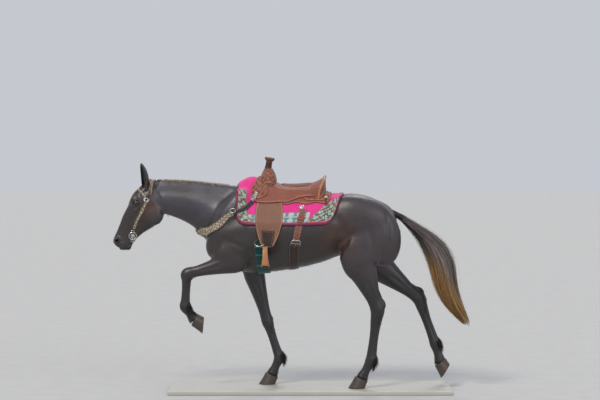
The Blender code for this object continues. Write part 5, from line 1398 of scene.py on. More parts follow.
@dataclass
class Tail:
    """The long tail, carried out behind: a dark core, silver strands above and flaxen ones below."""
    material: bpy.types.Material
    clumps: int = 46
    strands: int = 74
    stations: int = 13
    dock_share: float = 0.36
    seed: int = 21

    def place(self, rows: np.ndarray, share: np.ndarray, across: np.ndarray,
            side: np.ndarray) -> np.ndarray:
        """Places in the tail.

        Args:
            rows: The tail's middle line and half sizes.
            share: How far down the line.
            across: How far off it in the picture plane, in half sizes.
            side: How far off it sideways.

        Returns:
            The places.
        """
        u = np.clip(share, 0, 1) * (len(rows) - 1)
        i = np.minimum(u.astype(int), len(rows) - 2)
        x, z, half, wide = (rows[i] + (rows[i + 1] - rows[i]) * (u - i)[..., None]).T
        x, z, half, wide = (v.T for v in (x, z, half, wide))
        slope = np.gradient(rows[:, :2], axis=0)
        slope /= np.linalg.norm(slope, axis=1, keepdims=True)
        way = slope[i]
        return np.stack([x + way[..., 1] * half * across, wide * side, z - way[..., 0] * half * across
            + BASE_HEIGHT], axis=-1)

    def build(self) -> list[bpy.types.Object]:
        """Builds the tail in two pieces, the upper strands and the lower ones."""
        rng = np.random.default_rng(self.seed)
        rows = smooth_rows(TAIL_LINE, 8)
        count = self.clumps * self.strands
        clump = np.repeat(np.arange(self.clumps), self.strands)
        angle = 2.399963 * clump + rng.normal(0, 0.05, count)
        spread = np.sqrt((clump + 0.5) / self.clumps)
        off = rng.normal(0, 1, (count, 2)) * 0.16
        start = 0.01 + self.dock_share * rng.random(count) * (0.35 + 0.65 * spread) * 0.95
        ends = rng.uniform(0.82, 1.0, self.clumps)[clump] - np.abs(rng.normal(0, 0.035, count))
        t = np.linspace(0, 1, self.stations)[None, :]
        share = start[:, None] + (ends - start)[:, None] * t
        out = (spread[:, None] * np.minimum(1.0, 0.25 + 1.5 * t)) * 0.88
        gather = 1 - 0.72 * t ** 1.5
        wave = 0.09 * np.sin(5 * t + 3 * angle[:, None]) + 0.03 * np.sin(14 * t + 9 * off[:, :1]
            + angle[:, None] * 5)
        across = out * np.cos(angle)[:, None] + wave + off[:, :1] * gather
        side = out * np.sin(angle)[:, None] + off[:, 1:] * gather
        paths = self.place(rows, share, across, side)
        flats = np.stack([np.full_like(across, 0.4), np.cos(angle)[:, None] * np.ones_like(across),
            np.full_like(across, 0.3)], axis=-1)
        top = np.clip(0.5 - across * 0.75, 0, 1)
        silver = shades(rng, ("#b5aaa6", "#8f8583", "#cdc2bb", "#6f6463"), (4, 3, 2, 2), count)[:, None]
        gold = shades(rng, ("#b98a52", "#cfa469", "#8a5a30", "#d9b98c"), (4, 3, 2, 2), count)[:, None]
        dark = shades(rng, ("#211a18", "#2e2421", "#151112"), (3, 2, 2), count)[:, None]
        low = ramp(share - 0.30 * (top - 0.5), 0.42, 0.72)[..., None]
        colours = silver * (1 - low) + gold * low
        core = ((1 - ramp(share, 0.22, 0.62))[..., None] * (0.55 + 0.9 * (0.45 - top))[..., None]
                + (rng.random(count) < 0.20)[:, None, None] * 0.75)
        core = np.clip(core, 0, 1)
        colours = colours * (1 - core) + dark * core
        widths = rng.uniform(0.0016, 0.0030, count)
        roots = np.column_stack([0.02 + 0.9 * (angle % (2 * math.pi)) / (2 * math.pi),
            0.02 + 0.9 * start / 0.4])
        pieces = []
        upper = across[:, self.stations // 2] < np.median(across[:, self.stations // 2])
        for word, chosen in (("upper", upper), ("lower", ~upper)):
            tufts = Tufts("tail_" + word, self.material)
            pieces.append(tufts.build(paths[chosen], flats[chosen], widths[chosen], colours[chosen],
                roots[chosen]))
        return pieces

    def dock(self) -> bpy.types.Object:
        """The fleshy dock that the hairs grow from, dark with short hair."""
        rows = smooth_rows(TAIL_LINE, 8)
        loops = []
        for share in np.linspace(0, self.dock_share, 14):
            slim = 0.78 - 0.60 * share / self.dock_share
            ring = [self.place(rows, np.array([share]), np.array([slim * math.cos(a)]),
                np.array([slim * math.sin(a)]))[0] for a in np.linspace(0, 2 * math.pi, 20, endpoint=False)]
            loops.append([Vector(p) for p in ring])
        bm = bmesh.new()
        add_tube(bm, loops)
        made = from_bmesh("tail_dock", bm, self.material)
        paint(made.data, "hair", np.repeat([linear("#1b1514")[:3]], len(made.data.vertices), 0))
        return made


@dataclass
class Mane:
    """The flaxen mane, which falls from the crest down the right of the neck."""
    material: bpy.types.Material
    skin: BVHTree
    first: float = -1.128
    last: float = -0.612
    clumps: int = 34
    strands: int = 64
    stations: int = 10
    seed: int = 31

    def build(self) -> bpy.types.Object:
        """Builds the mane's strands, clump by clump along the crest."""
        rng = np.random.default_rng(self.seed)
        count = self.clumps * self.strands
        clump = np.repeat(np.arange(self.clumps), self.strands)
        middle = self.first + (self.last - self.first) * (clump + 0.5) / self.clumps
        xs = middle + rng.normal(0, 0.008, count)
        ys = rng.uniform(-0.014, 0.010, count)
        lengths = rng.uniform(0.20, 0.31, self.clumps)[clump] * (1 - 0.35 * clump / self.clumps)
        lengths = lengths * (1 - np.abs(rng.normal(0, 0.07, count)))
        sweep = rng.uniform(0.02, 0.06, self.clumps)[clump]
        lifts = rng.uniform(0.002, 0.012, count)
        phase = rng.uniform(0, 6.28, self.clumps)[clump]
        t = np.linspace(0, 1, self.stations)
        paths = np.empty((count, self.stations, 3))
        for i in range(count):
            top = self.skin.ray_cast(Vector((xs[i], ys[i], 2.0)), Vector((0, 0, -1)))[0]
            gather = middle[i] - xs[i]
            for s, share in enumerate(t):
                if share < 0.10:
                    lift = -0.004 if s == 0 else 0.005 + lifts[i]
                    paths[i, s] = (xs[i], ys[i] + 0.010 * share / 0.10, top.z + lift)
                    continue
                x = xs[i] + (sweep[i] + 0.6 * gather) * share + 0.006 * math.sin(6 * share + phase[i])
                z = top.z - lengths[i] * max(0.0, share - 0.06)
                hit = self.skin.ray_cast(Vector((x, 0.60, z)), Vector((0, -1, 0)))[0]
                y = hit.y if hit is not None else paths[i, s - 1][1]
                arch = 0.010 * max(0.0, 1 - share / 0.35)
                paths[i, s] = (x, max(y, ys[i]) + lifts[i] + arch + 0.002,
                    z + 0.006 * max(0.0, 1 - share / 0.25))
        for i in np.flatnonzero(rng.random(count) < 0.10):
            short, drift = rng.uniform(0.010, 0.034), rng.uniform(0.010, 0.050)
            for s, share in enumerate(t):
                place, out, _, _ = self.skin.find_nearest(Vector((xs[i] + drift * share,
                    -0.002 - 0.75 * short * share, paths[i, 0][2] + 0.004 - short * share ** 1.5)))
                paths[i, s] = place + out * (-0.003 if s == 0 else 0.0025 + lifts[i] * 0.3)
        flats = np.zeros_like(paths)
        flats[..., 0] = 1.0
        pale = shades(rng, ("#cdb694", "#b59a76", "#d9c8ac", "#9a7f60", "#8b817b"), (4, 3, 3, 2, 1), count)
        dark = shades(rng, ("#3a2c25", "#2a211f"), (1, 1), count)
        shade = (rng.random(count) < 0.14)[:, None]
        colour = np.where(shade, dark, pale)[:, None] * np.linspace(0.80, 1.06, self.stations)[None, :,
            None]
        widths = rng.uniform(0.0016, 0.0032, count)
        roots = np.column_stack([(xs - self.first) / (self.last - self.first) * 0.9 + 0.04, 0.5 + ys * 20])
        return Tufts("mane", self.material).build(paths, flats, widths, colour, roots)


@dataclass
class PollTuft:
    """The short hair behind the ears, which falls to both sides in front of the crown strap."""
    material: bpy.types.Material
    skin: BVHTree
    first: float = -1.190
    last: float = -1.146
    count: int = 620
    stations: int = 8
    seed: int = 43

    def build(self) -> bpy.types.Object:
        """Builds the tuft."""
        rng = np.random.default_rng(self.seed)
        xs = rng.uniform(self.first, self.last, self.count)
        behind = (xs - self.first) / (self.last - self.first)
        sweep = -0.052 * behind ** 1.5 + 0.006 * (1 - behind) + rng.normal(0, 0.004, self.count)
        lengths, lifts = rng.uniform(0.050, 0.115, self.count), rng.uniform(0.002, 0.011, self.count)
        sides = np.where(rng.random(self.count) < 0.62, -1, 1)
        curl, phase = rng.uniform(0.001, 0.004, self.count), rng.uniform(0, 6.28, self.count)
        paths = np.empty((self.count, self.stations, 3))
        for i in range(self.count):
            top = self.skin.ray_cast(Vector((xs[i], 0, 2.0)), Vector((0, 0, -1)))[0]
            for s, t in enumerate(np.linspace(0, 1, self.stations)):
                guide = Vector((xs[i] + sweep[i] * t + curl[i] * math.sin(7 * t + phase[i]),
                    sides[i] * (0.003 + 0.075 * math.sin(t * math.pi / 2)), top.z + 0.006 - lengths[i]
                    * t ** 1.4))
                place, out, _, _ = self.skin.find_nearest(guide)
                paths[i, s] = place + out * (-0.004 if s == 0 else lifts[i] + 0.008 * max(0.0, 1 - 2 * t))
        flats = np.zeros_like(paths)
        flats[..., 0] = 1.0
        pale = shades(rng, ("#d6bf9c", "#b98f63", "#75646a", "#4b3d3f", "#97848a"), (3, 2, 3, 3, 2),
            self.count)
        colour = pale[:, None] * np.linspace(1.05, 0.85, self.stations)[None, :, None]
        roots = np.column_stack([0.05 + 0.9 * behind, 0.5 + 0.3 * sides * rng.random(self.count)])
        return Tufts("poll_tuft", self.material).build(paths, flats,
            rng.uniform(0.0013, 0.0024, self.count), colour, roots)


@dataclass
class Forelock:
    """Strands that grow at the poll and fall between the ears, over the browband."""
    material: bpy.types.Material
    skin: BVHTree
    count: int = 900
    stations: int = 12
    seed: int = 41

    def build(self) -> bpy.types.Object:
        """Builds the forelock."""
        rng = np.random.default_rng(self.seed)
        line = smooth_rows(((-1.190, 1.535), (-1.250, 1.510), (-1.310, 1.455), (-1.338, 1.395),
            (-1.356, 1.350)), 8)
        paths = np.empty((self.count, self.stations, 3))
        across = rng.uniform(-1, 1, self.count)
        clump = np.round(across * 5.5)
        drift = rng.normal(0, 0.010, 13)[(clump + 6).astype(int)] + rng.normal(0, 0.0025, self.count)
        reach = rng.uniform(0.72, 1.0, 13)[(clump + 6).astype(int)] * (1
            - np.abs(rng.normal(0, 0.16, self.count)))
        lifts, phase = rng.uniform(0.001, 0.007, self.count), rng.uniform(0, 6.28, self.count)
        for i in range(self.count):
            for s, t in enumerate(np.linspace(0, 1, self.stations)):
                at = t * max(0.30, reach[i]) * (len(line) - 1)
                x, z = line[int(at)] + (line[min(int(at) + 1, len(line) - 1)] - line[int(at)]) * (at % 1)
                y = 0.004 + 0.018 * (across[i] * (1 - 0.6 * t) + clump[i] / 5.5 * 0.6 * t) * (0.9 + 0.8 * t)
                y += drift[i] * t ** 1.6 + 0.0016 * math.sin(8 * t + phase[i])
                hit, out, _, _ = self.skin.find_nearest(Vector((x, y, z + BASE_HEIGHT)))
                paths[i, s] = hit + out * (-0.004 if s == 0 else 0.0015 + lifts[i] * (1 - 0.5 * t))
        flats = np.zeros_like(paths)
        flats[..., 1] = 1.0
        pale = shades(rng, ("#b8a58a", "#8f7c68", "#cdbda4", "#5a4a40"), (3, 3, 2, 2), self.count)
        colour = pale[:, None] * np.linspace(0.75, 1.05, self.stations)[None, :, None]
        roots = np.column_stack([0.5 + 0.3 * across, rng.uniform(0.3, 0.7, self.count)])
        return Tufts("forelock", self.material).build(paths, flats, rng.uniform(0.0009, 0.0017, self.count),
            colour, roots)


@dataclass
class ShortTufts:
    """Tufts of short hair where the coat breaks the outline: fetlocks, below the knees and hocks, coronets,
    jaw, chin, elbows and belly.
    """
    material: bpy.types.Material
    skin_object: bpy.types.Object
    skin: BVHTree
    seed: int = 51

    def spots(self) -> list[tuple]:
        """Where tufts grow.

        Returns:
            For each area its middle over the base, radius, count, length, lie, stand, and the steepest
            upward slope that it takes in.
        """
        out = []
        for name, limb in LIMBS.items():
            joints = limb.joints()
            up = np.array(joints["above the fetlock"][:3])
            low = np.array(joints["fetlock"][:3])
            down = (low - up) / np.linalg.norm(low - up)
            back = np.array([-down[2], 0.0, down[0]]) * (1 if down[2] < 0 else -1)
            out.append((low + back * 0.040, 0.050, 420, 0.042, down + back * 0.35, 0.30, 1.0))
            below = "below the knee" if limb.rows is FORE_ROWS else "below the hock"
            out.append((np.array(joints[below][:3]) + back * 0.035, 0.055, 110, 0.020, down + back * 0.1,
                0.15, 1.0))
            band = np.array(joints["coronet"][:3])
            pastern = np.array(joints["pastern"][:3])
            way = (band - pastern) / np.linalg.norm(band - pastern)
            out.append((band - way * 0.004, 0.062, 520, 0.017, way, 0.16, 1.0))
        for side in (-1, 1):
            out.append((np.array([-1.170, side * 0.025, 1.215]), 0.090, 520, 0.010,
                np.array([0.55, 0, -0.8]), 0.14, -0.55))
            out.append((np.array([-1.365, side * 0.014, 1.025]), 0.042, 460, 0.009,
                np.array([0.5, 0, -0.8]), 0.35, -0.35))
            out.append((np.array([-0.440, side * 0.170, 0.900]), 0.085, 160, 0.024,
                np.array([0.6, 0, -0.7]), 0.15, 1.0))
        out.append((np.array([-0.050, 0.0, 0.880]), 0.220, 420, 0.020, np.array([1.0, 0, -0.2]), 0.15,
            -0.30))
        return out

    def build(self) -> bpy.types.Object:
        """Builds the tufts on the skin."""
        rng = np.random.default_rng(self.seed)
        mesh = self.skin_object.data
        points, normals = points_of(mesh), normals_of(mesh)
        tint = np.empty(len(points) * 4)
        mesh.color_attributes["coat"].data.foreach_get("color", tint)
        tint = tint.reshape(-1, 4)[:, :3]
        stations = 5
        t = np.linspace(0, 1, stations)[None, :, None]
        parts = []
        for middle, radius, count, length, lie, stand, slope in self.spots():
            near = np.flatnonzero((np.linalg.norm(points - (middle + [0, 0, BASE_HEIGHT]), axis=1) < radius)
                & (normals[:, 2] < slope))
            if not len(near):
                continue
            chosen = rng.choice(near, count)
            root, normal = points[chosen] + rng.normal(0, 0.002, (count, 3)), normals[chosen]
            way = lie[None] - normal * np.sum(lie[None] * normal, axis=1, keepdims=True)
            way = way / (np.linalg.norm(way, axis=1, keepdims=True)
                + 1e-9) + normal * stand + rng.normal(0, 0.10, (count, 3))
            reach = length * rng.uniform(0.6, 1.1, (count, 1))
            root = root - normal * 0.0015
            bend = np.array([0, 0, -0.25]) * length
            path = root[:, None] + way[:, None] * reach[:, None] * t + bend * t ** 2
            parts.append((path, np.cross(way, normal)[:, None] * np.ones((1, stations, 1)),
                rng.uniform(0.0011, 0.0020, count) * min(1.0, length / 0.018),
                tint[chosen] * rng.uniform(0.8, 1.5, (count, 1))))
        paths, flats, widths, colours = (np.concatenate([p[k] for p in parts]) for k in range(4))
        roots = np.column_stack([(paths[:, 0, 0] + 1.5) / 2.8, paths[:, 0, 2] / 1.8])
        roots[:, 0] = np.where(paths[:, 0, 1] < 0, roots[:, 0] * 0.48, 0.51 + roots[:, 0] * 0.48)
        made = Tufts("coat_tufts", self.material).build(
            paths, flats, widths, np.repeat(colours[:, None], stations, axis=1), roots)
        return made


@dataclass
class EyeSet:
    """One eye: the ball with its clear front, the ring of lids about it, and the lashes."""
    word: str
    side: int
    coat: bpy.types.Material
    hair: bpy.types.Material
    skin: BVHTree
    radius: float = EYE_RADIUS
    ring: float = 0.040

    def middle(self) -> Vector:
        """The ball's middle in the floor's frame."""
        return Vector((EYE[0], EYE[1] * self.side, EYE[2] + BASE_HEIGHT))

    def axes(self) -> tuple[Vector, Vector, Vector]:
        """The way out of the eye, the way along the slit to its front corner, and the way up."""
        out = Vector((-0.28, self.side, 0.06)).normalized()
        front = Vector((-0.55, 0.0, -0.52))
        front = (front - out * front.dot(out)).normalized()
        up = front.cross(out) * -self.side
        if up.z < 0:
            up = -up
        return out, front, up

    def ball(self) -> bpy.types.Object:
        """The eyeball, with the cornea standing a little proud."""
        out, _, _ = self.axes()
        bm = bmesh.new()
        bmesh.ops.create_uvsphere(bm, u_segments=40, v_segments=24, radius=self.radius)
        for vert in bm.verts:
            way = vert.co.normalized()
            vert.co += way * 0.0012 * max(0.0, way.dot(out) - 0.75) / 0.25
            vert.co += self.middle()
        return from_bmesh("eyeball_" + self.word, bm, Eyeball(side=self.side).material())

    def margin(self, angle: float) -> Vector:
        """The direction from the eye's middle to the lids' edge at an angle round the slit."""
        out, front, up = self.axes()
        c, s = math.cos(angle), math.sin(angle)
        rise = (0.78 if s > 0 else 0.50) * math.copysign(abs(s) ** 0.85, s)
        return (out + front * (1.50 * c) + up * rise).normalized()

    def lids(self) -> bpy.types.Object:
        """The ring of lids: off the ball over a thick margin, through the folds, and flush into the skin."""
        out, _, _ = self.axes()
        eye = self.middle()
        count, steps = 72, 22
        angles = np.linspace(0, 2 * math.pi, count, endpoint=False)
        lines = [self.lid_line(angle, steps) for angle in angles]
        bm = bmesh.new()
        made = [[bm.verts.new(line[k]) for line in lines] for k in range(len(lines[0]))]
        inner = [bm.verts.new(eye + (v.co - eye) * 0.80) for v in made[0]]
        outer = [bm.verts.new(v.co - out * 0.010) for v in made[-1]]
        rows = [inner] + made + [outer]
        for a, b in zip(rows + [outer], rows[1:] + [inner]):
            if a is b:
                continue
            for i in range(count):
                j = (i + 1) % count
                bm.faces.new((a[i], a[j], b[j], b[i]))
        ring = from_bmesh("eyelids_" + self.word, bm, self.coat, crease=180)
        points = points_of(ring.data)
        away = np.linalg.norm(points - np.array(eye), axis=1)
        share = ramp(away, self.radius + 0.0032, self.radius + 0.0060)[:, None]
        paint(ring.data, "coat", np.array(linear("#0b0909")[:3]) * (1 - share) + coat_colours(points)
            * share)
        mark(ring.data, "leg", np.zeros(len(points)))
        return ring

    def lid_line(self, angle: float, steps: int) -> list[Vector]:
        """One line over the lid, from the ball out to the skin.

        Args:
            angle: Where it is round the slit.
            steps: Its steps from margin to skin.

        Returns:
            Its places.
        """
        out, front, up = self.axes()
        eye, aim = self.middle(), self.margin(angle)
        c, s = math.cos(angle), math.sin(angle)
        hit, normal, _, _ = self.skin.find_nearest(eye + out * 0.004 + front * (self.ring * 1.06 * c) + up
            * (self.ring * 0.94 * s))
        margin = [eye + aim * (self.radius + h) for h in (0.0003, 0.0020, 0.0033)]
        away = aim - out * aim.dot(out)
        leave = (away - aim * away.dot(aim)).normalized()
        rim = margin[-1] + leave * 0.0012 + aim * 0.0002
        flat = hit - eye
        flat = (flat - normal * flat.dot(normal)).normalized()
        end = hit + normal * 0.0003
        span = (end - rim).length * 0.40
        line = margin
        for u in np.linspace(0, 1, steps):
            a, b, d, e = (1 - u) ** 3, 3 * u * (1 - u) ** 2, 3 * u * u * (1 - u), u ** 3
            place = rim * a + (rim + leave * span) * b + (end - flat * span) * d + end * e
            upper, lower = max(0.0, s + 0.15), max(0.0, -s)
            lift = (0.0030 * upper + 0.0018
                * lower) * math.sin(math.pi * min(1.0, u / 0.62)) ** 2 * (u < 0.62)
            folds = ((0.0019 * upper, 0.34, 0.055), (0.0011 * upper, 0.56, 0.045),
                (0.0007 * upper, 0.72, 0.04), (0.0010 * lower, 0.30, 0.05), (0.0006 * lower, 0.50, 0.05))
            sunk = sum(depth * math.exp(-((u - at) / wide) ** 2) for depth, at, wide in folds)
            line.append(place + aim.lerp(normal, u).normalized() * (lift - sunk))
        return line + [hit + flat * 0.0035 - normal * 0.0020]

    def lashes(self) -> bpy.types.Object:
        """The upper lashes, which stand out and droop a little."""
        rng = np.random.default_rng(61 + self.side)
        out, front, up = self.axes()
        count, stations = 46, 6
        angles = np.linspace(0.35, math.pi - 0.35, count) + rng.normal(0, 0.02, count)
        t = np.linspace(0, 1, stations)
        paths = np.empty((count, stations, 3))
        for i, angle in enumerate(angles):
            aim = self.margin(angle)
            root = self.middle() + aim * (self.radius + 0.0030)
            reach = rng.uniform(0.008, 0.014)
            way = (out * 1.0 + up * 0.10 + front * 0.5 * math.cos(angle)).normalized()
            for s, share in enumerate(t):
                paths[i, s] = root + way * reach * share - up * 0.55 * reach * share ** 2
        flats = np.tile(np.array(front), (count, stations, 1))
        colours = np.tile(np.array(linear("#0d0a09")[:3]), (count, stations, 1))
        roots = np.column_stack([np.linspace(0.1, 0.9, count), np.full(count, 0.5)])
        return Tufts("lashes_" + self.word, self.hair).build(paths, flats, np.full(count, 0.0007), colours,
            roots)


@dataclass
class Ear:
    """One ear: a cupped leaf with a rolled edge, turned out and a little forward, hairy inside."""
    word: str
    side: int
    coat: bpy.types.Material
    hair: bpy.types.Material
    length: float = 0.190
    half_width: float = 0.0295
    wall: float = 0.0036
    root: tuple[float, float, float] = (-1.220, 0.043, 1.482)
    tip: tuple[float, float, float] = (-1.2576, 0.062, 1.6585)

    def frame(self) -> tuple[Vector, Vector, Vector, Vector]:
        """The root, the way up, the way that it opens, and the way across, on the right side."""
        root, tip = Vector(self.root), Vector(self.tip)
        up = (tip - root).normalized()
        opens = Vector((-0.72, 0.62, 0)).normalized()
        opens = (opens - up * opens.dot(up)).normalized()
        return root, up, opens, up.cross(opens)

    def placed(self, point: Vector) -> Vector:
        """A place of the right ear on this ear's side, in the floor's frame."""
        return Vector((point.x, point.y * self.side, point.z + BASE_HEIGHT))

    def section(self, share: float) -> tuple[Vector, float, float]:
        """The middle, radius and wrap of the leaf at a share of its length."""
        root, up, opens, _ = self.frame()
        table = np.array(((-0.12, 0.72, 2.90), (0.00, 0.82, 2.80), (0.10, 0.92, 2.60), (0.22, 1.00, 2.30),
            (0.36, 1.04, 2.00), (0.52, 1.00, 1.82), (0.68, 0.87, 1.70), (0.80, 0.67, 1.62),
            (0.90, 0.41, 1.54), (0.97, 0.18, 1.48), (1.0, 0.06, 1.45)))
        width, wrap = (float(np.interp(share, table[:, 0], table[:, k])) for k in (1, 2))
        lean = math.sin(math.pi * min(max(share, 0.0), 1.0))
        return root + up * (self.length
            * share) - opens * (0.006 * lean), self.half_width * width * 0.97, wrap

    def leaf(self) -> bpy.types.Object:
        """The leaf as a closed shell, its edge rolled."""
        _, _, opens, wide = self.frame()
        loops = []
        for share in np.concatenate([np.linspace(-0.12, 0.90, 28), (0.94, 0.97, 0.99, 1.0)]):
            middle, radius, wrap = self.section(share)
            wall = min(self.wall, radius * 0.45)
            angles = np.linspace(-wrap, wrap, 25)
            outer = [middle + wide * (radius * math.sin(a)) - opens * (radius * 0.9 * math.cos(a))
                for a in angles]
            inside = radius - wall
            inner = [middle + wide * (inside * math.sin(a)) - opens * (inside * 0.9 * math.cos(a))
                for a in angles[::-1] * 0.97]
            loops.append([self.placed(p) for p in outer + inner])
        bm = bmesh.new()
        add_tube(bm, loops)
        ear = from_bmesh("ear_leaf_" + self.word, bm, self.coat, crease=180)
        soft = ear.modifiers.new("soft", 'SUBSURF')
        soft.levels = soft.render_levels = 1
        applied(ear)
        points = points_of(ear.data)
        height = ramp(points[:, 2], self.root[2] + BASE_HEIGHT, self.tip[2] + BASE_HEIGHT)[:, None]
        low, high = np.array(linear("#2b2021")[:3]), np.array(linear("#171213")[:3])
        paint(ear.data, "coat", low * (1 - height) + high * height)
        mark(ear.data, "leg", np.ones(len(points)))
        ear.data.polygons.foreach_set("use_smooth", [True] * len(ear.data.polygons))
        return ear

    def fluff(self) -> bpy.types.Object:
        """Soft hair in the cup and along its two edges."""
        rng = np.random.default_rng(71 + self.side)
        root, up, opens, wide = self.frame()
        count, stations = 620, 6
        paths = np.empty((count, stations, 3))
        for i in range(count):
            share = rng.uniform(0.06, 0.88)
            middle, radius, wrap = self.section(share)
            edge = rng.random() < 0.55
            a = (rng.choice((-1, 1)) * wrap
                * rng.uniform(0.90, 0.97)) if edge else rng.uniform(-wrap, wrap) * 0.9
            inside = radius - self.wall
            start = middle + wide * (inside * math.sin(a)) - opens * (inside * 0.9 * math.cos(a))
            way = (opens * 0.9 + up * 0.8 - wide * math.sin(a) * 0.75).normalized()
            reach = rng.uniform(0.010, 0.019) * (1.0 if edge else 1.2) * (1 - 0.5 * share)
            for s, t in enumerate(np.linspace(0, 1, stations)):
                point = start - way * 0.001 + way * reach * t + up * 0.35 * reach * t ** 2
                paths[i, s] = self.placed(point)
        flats = np.tile(np.array((wide.x, wide.y * self.side, wide.z)), (count, stations, 1))
        pale = shades(rng, ("#4a3a30", "#6a5544", "#2c221e"), (3, 2, 3), count)
        colours = np.repeat(pale[:, None], stations, axis=1)
        roots = np.column_stack([rng.uniform(0.1, 0.9, count), rng.uniform(0.1, 0.9, count)])
        return Tufts("ear_hair_" + self.word, self.hair).build(
            paths, flats, rng.uniform(0.0006, 0.0011, count), colours, roots)


@dataclass
class Hoof:
    """One hoof: a wall with growth rings, a bulb at the heel, and a shod-free sole."""
    name: str
    limb: Limb
    material: bpy.types.Material
    band: tuple[float, float] = (0.0450, 0.0445)
    slope: float = -0.43
    sole_middle: tuple[float, float] = (-0.034, -0.0685)
    sole: tuple[float, float] = (0.066, 0.060)
    points: int = 48

    def build(self) -> bpy.types.Object:
        """Builds the hoof, its map running round it and down it in metres."""
        x, y, z = self.limb.places[4]
        frame = (Matrix.Translation((x, self.limb.side * y, z + BASE_HEIGHT)) @ Matrix.Rotation(
            math.radians(-self.limb.hoof_turn), 4, 'Y'))
        loops, lays = [], []
        for share, flare in ((0.0, 0.90), (0.0, 0.99), (0.03, 1.035), (0.08, 1.045), (0.14, 1.03),
                (0.22, 1.015), (0.35, 1.0), (0.5, 0.997), (0.65, 0.997), (0.8, 0.998), (0.92, 0.998),
                (0.985, 0.992), (1.0, 0.975), (1.0, 0.90), (0.975, 0.80), (0.96, 0.5), (0.955, 0.15)):
            loop, lay = [], []
            for angle in np.linspace(0, 2 * math.pi, self.points, endpoint=False):
                c, s = math.cos(angle), math.sin(angle)
                rear = 1.0 if c < 0 else 0.93
                heel = 1 - 0.06 * math.exp(-((abs(angle) % (2 * math.pi)) / 0.22) ** 2) \
                    - 0.06 * math.exp(-((2 * math.pi - angle) / 0.22) ** 2)
                band = Vector((self.band[0] * c, self.band[1] * s, self.band[0] * c * self.slope))
                sole = Vector((self.sole_middle[0] + self.sole[0] * c * rear * heel, self.sole[1] * s,
                    self.sole_middle[1]))
                point = band.lerp(sole, share)
                middle = Vector((self.sole_middle[0] * share, 0, point.z))
                loop.append(frame @ (middle + (point - middle) * flare * 0.995))
                lay.append((angle * 0.055, share * 0.085))
            loops.append(loop)
            lays.append(lay)
        bm = bmesh.new()
        made = add_tube(bm, loops)
        layer = bm.loops.layers.uv.new("Lay")
        where = {vert: lay for ring, row in zip(made, lays) for vert, lay in zip(ring, row)}
        for face in bm.faces:
            spots = [where[loop.vert] for loop in face.loops]
            high = max(u for u, _ in spots)
            for loop, (u, v) in zip(face.loops, spots):
                loop[layer].uv = (u + (2 * math.pi * 0.055 if high - u > 0.17 else 0), v)
        return from_bmesh(self.name, bm, self.material, crease=50)


TRUNK_AXIS = 1.170


@dataclass
class Ground:
    """The surfaces that a piece may lie on."""
    trees: tuple[BVHTree, ...]

    def hit(self, start: Vector, way: Vector) -> Vector | None:
        """Where a ray first meets one of them."""
        found = [place for place in (tree.ray_cast(start, way)[0] for tree in self.trees)
            if place is not None]
        return min(found, key=lambda place: (place - start).length) if found else None

    def nearest(self, place: Vector) -> tuple[Vector, Vector]:
        """The nearest place on them, and its normal."""
        return min((tree.find_nearest(place) for tree in self.trees), key=lambda found: found[3])[:2]

    def over(self, *objects: bpy.types.Object) -> "Ground":
        """These, with more surfaces over them."""
        return Ground(self.trees + tuple(surface(obj) for obj in objects))

    def flank(self, x: float, side: int, z: float) -> tuple[Vector, Vector]:
        """The outermost place on a side at (x, z) over the base, and the way out there."""
        places = [self.hit(Vector((x + dx, side * 0.8, z + dz + BASE_HEIGHT)), Vector((0, -side, 0)))
            for dx, dz in ((0, 0), (0.012, 0), (0, 0.012))]
        out = (places[1] - places[0]).cross(places[2] - places[0]).normalized()
        return places[0], out if out.y * side > 0 else -out

    def reach(self, x: float, angle: float) -> float:
        """How far from the trunk's axis the outermost surface is, at an angle from straight up."""
        out = Vector((0, math.sin(angle), math.cos(angle)))
        axis = Vector((x, 0, TRUNK_AXIS + BASE_HEIGHT))
        place = self.hit(axis + out * 0.9, -out)
        return (place - axis).length if place is not None else 0.2

    def edge_angle(self, x: float, side: int, height: float) -> float:
        """The angle from straight up at which the outermost surface is at a height over the base."""
        low, high = 0.0, math.radians(130)
        for _ in range(13):
            angle = (low + high) / 2
            if TRUNK_AXIS + math.cos(angle) * self.reach(x, side * angle) > height:
                low = angle
            else:
                high = angle
        return angle


@dataclass
class Belly(Ground):
    """The trunk alone: the skin where it lies close over the solid torso, the torso where a limb grows."""
    torso: BVHTree

    def hit(self, start: Vector, way: Vector) -> Vector | None:
        """Where a ray meets the trunk under any limb that it passes."""
        solid = self.torso.ray_cast(start, way)[0]
        if solid is None:
            return None
        place = super().hit(solid - way * 0.010, way)
        return place if place is not None and (place - solid).length < 0.025 else solid


def evened(values: np.ndarray, rounds: int) -> np.ndarray:
    """Evens a grid of values out, round by round, with its neighbours."""
    for _ in range(rounds):
        wide = np.pad(values, 1, mode="edge")
        values = (wide[1:-1, 1:-1] * 4 + wide[:-2, 1:-1] + wide[2:, 1:-1] + wide[1:-1, :-2]
            + wide[1:-1, 2:]) / 8
    return values


def arc(points: np.ndarray, axis: int) -> np.ndarray:
    """How far each place of a grid is from the grid's start, measured over its own steps."""
    steps = np.linalg.norm(np.diff(points, axis=axis), axis=2)
    return np.concatenate([np.zeros_like(np.take(steps, [0], axis)), np.cumsum(steps, axis=axis)],
        axis=axis)


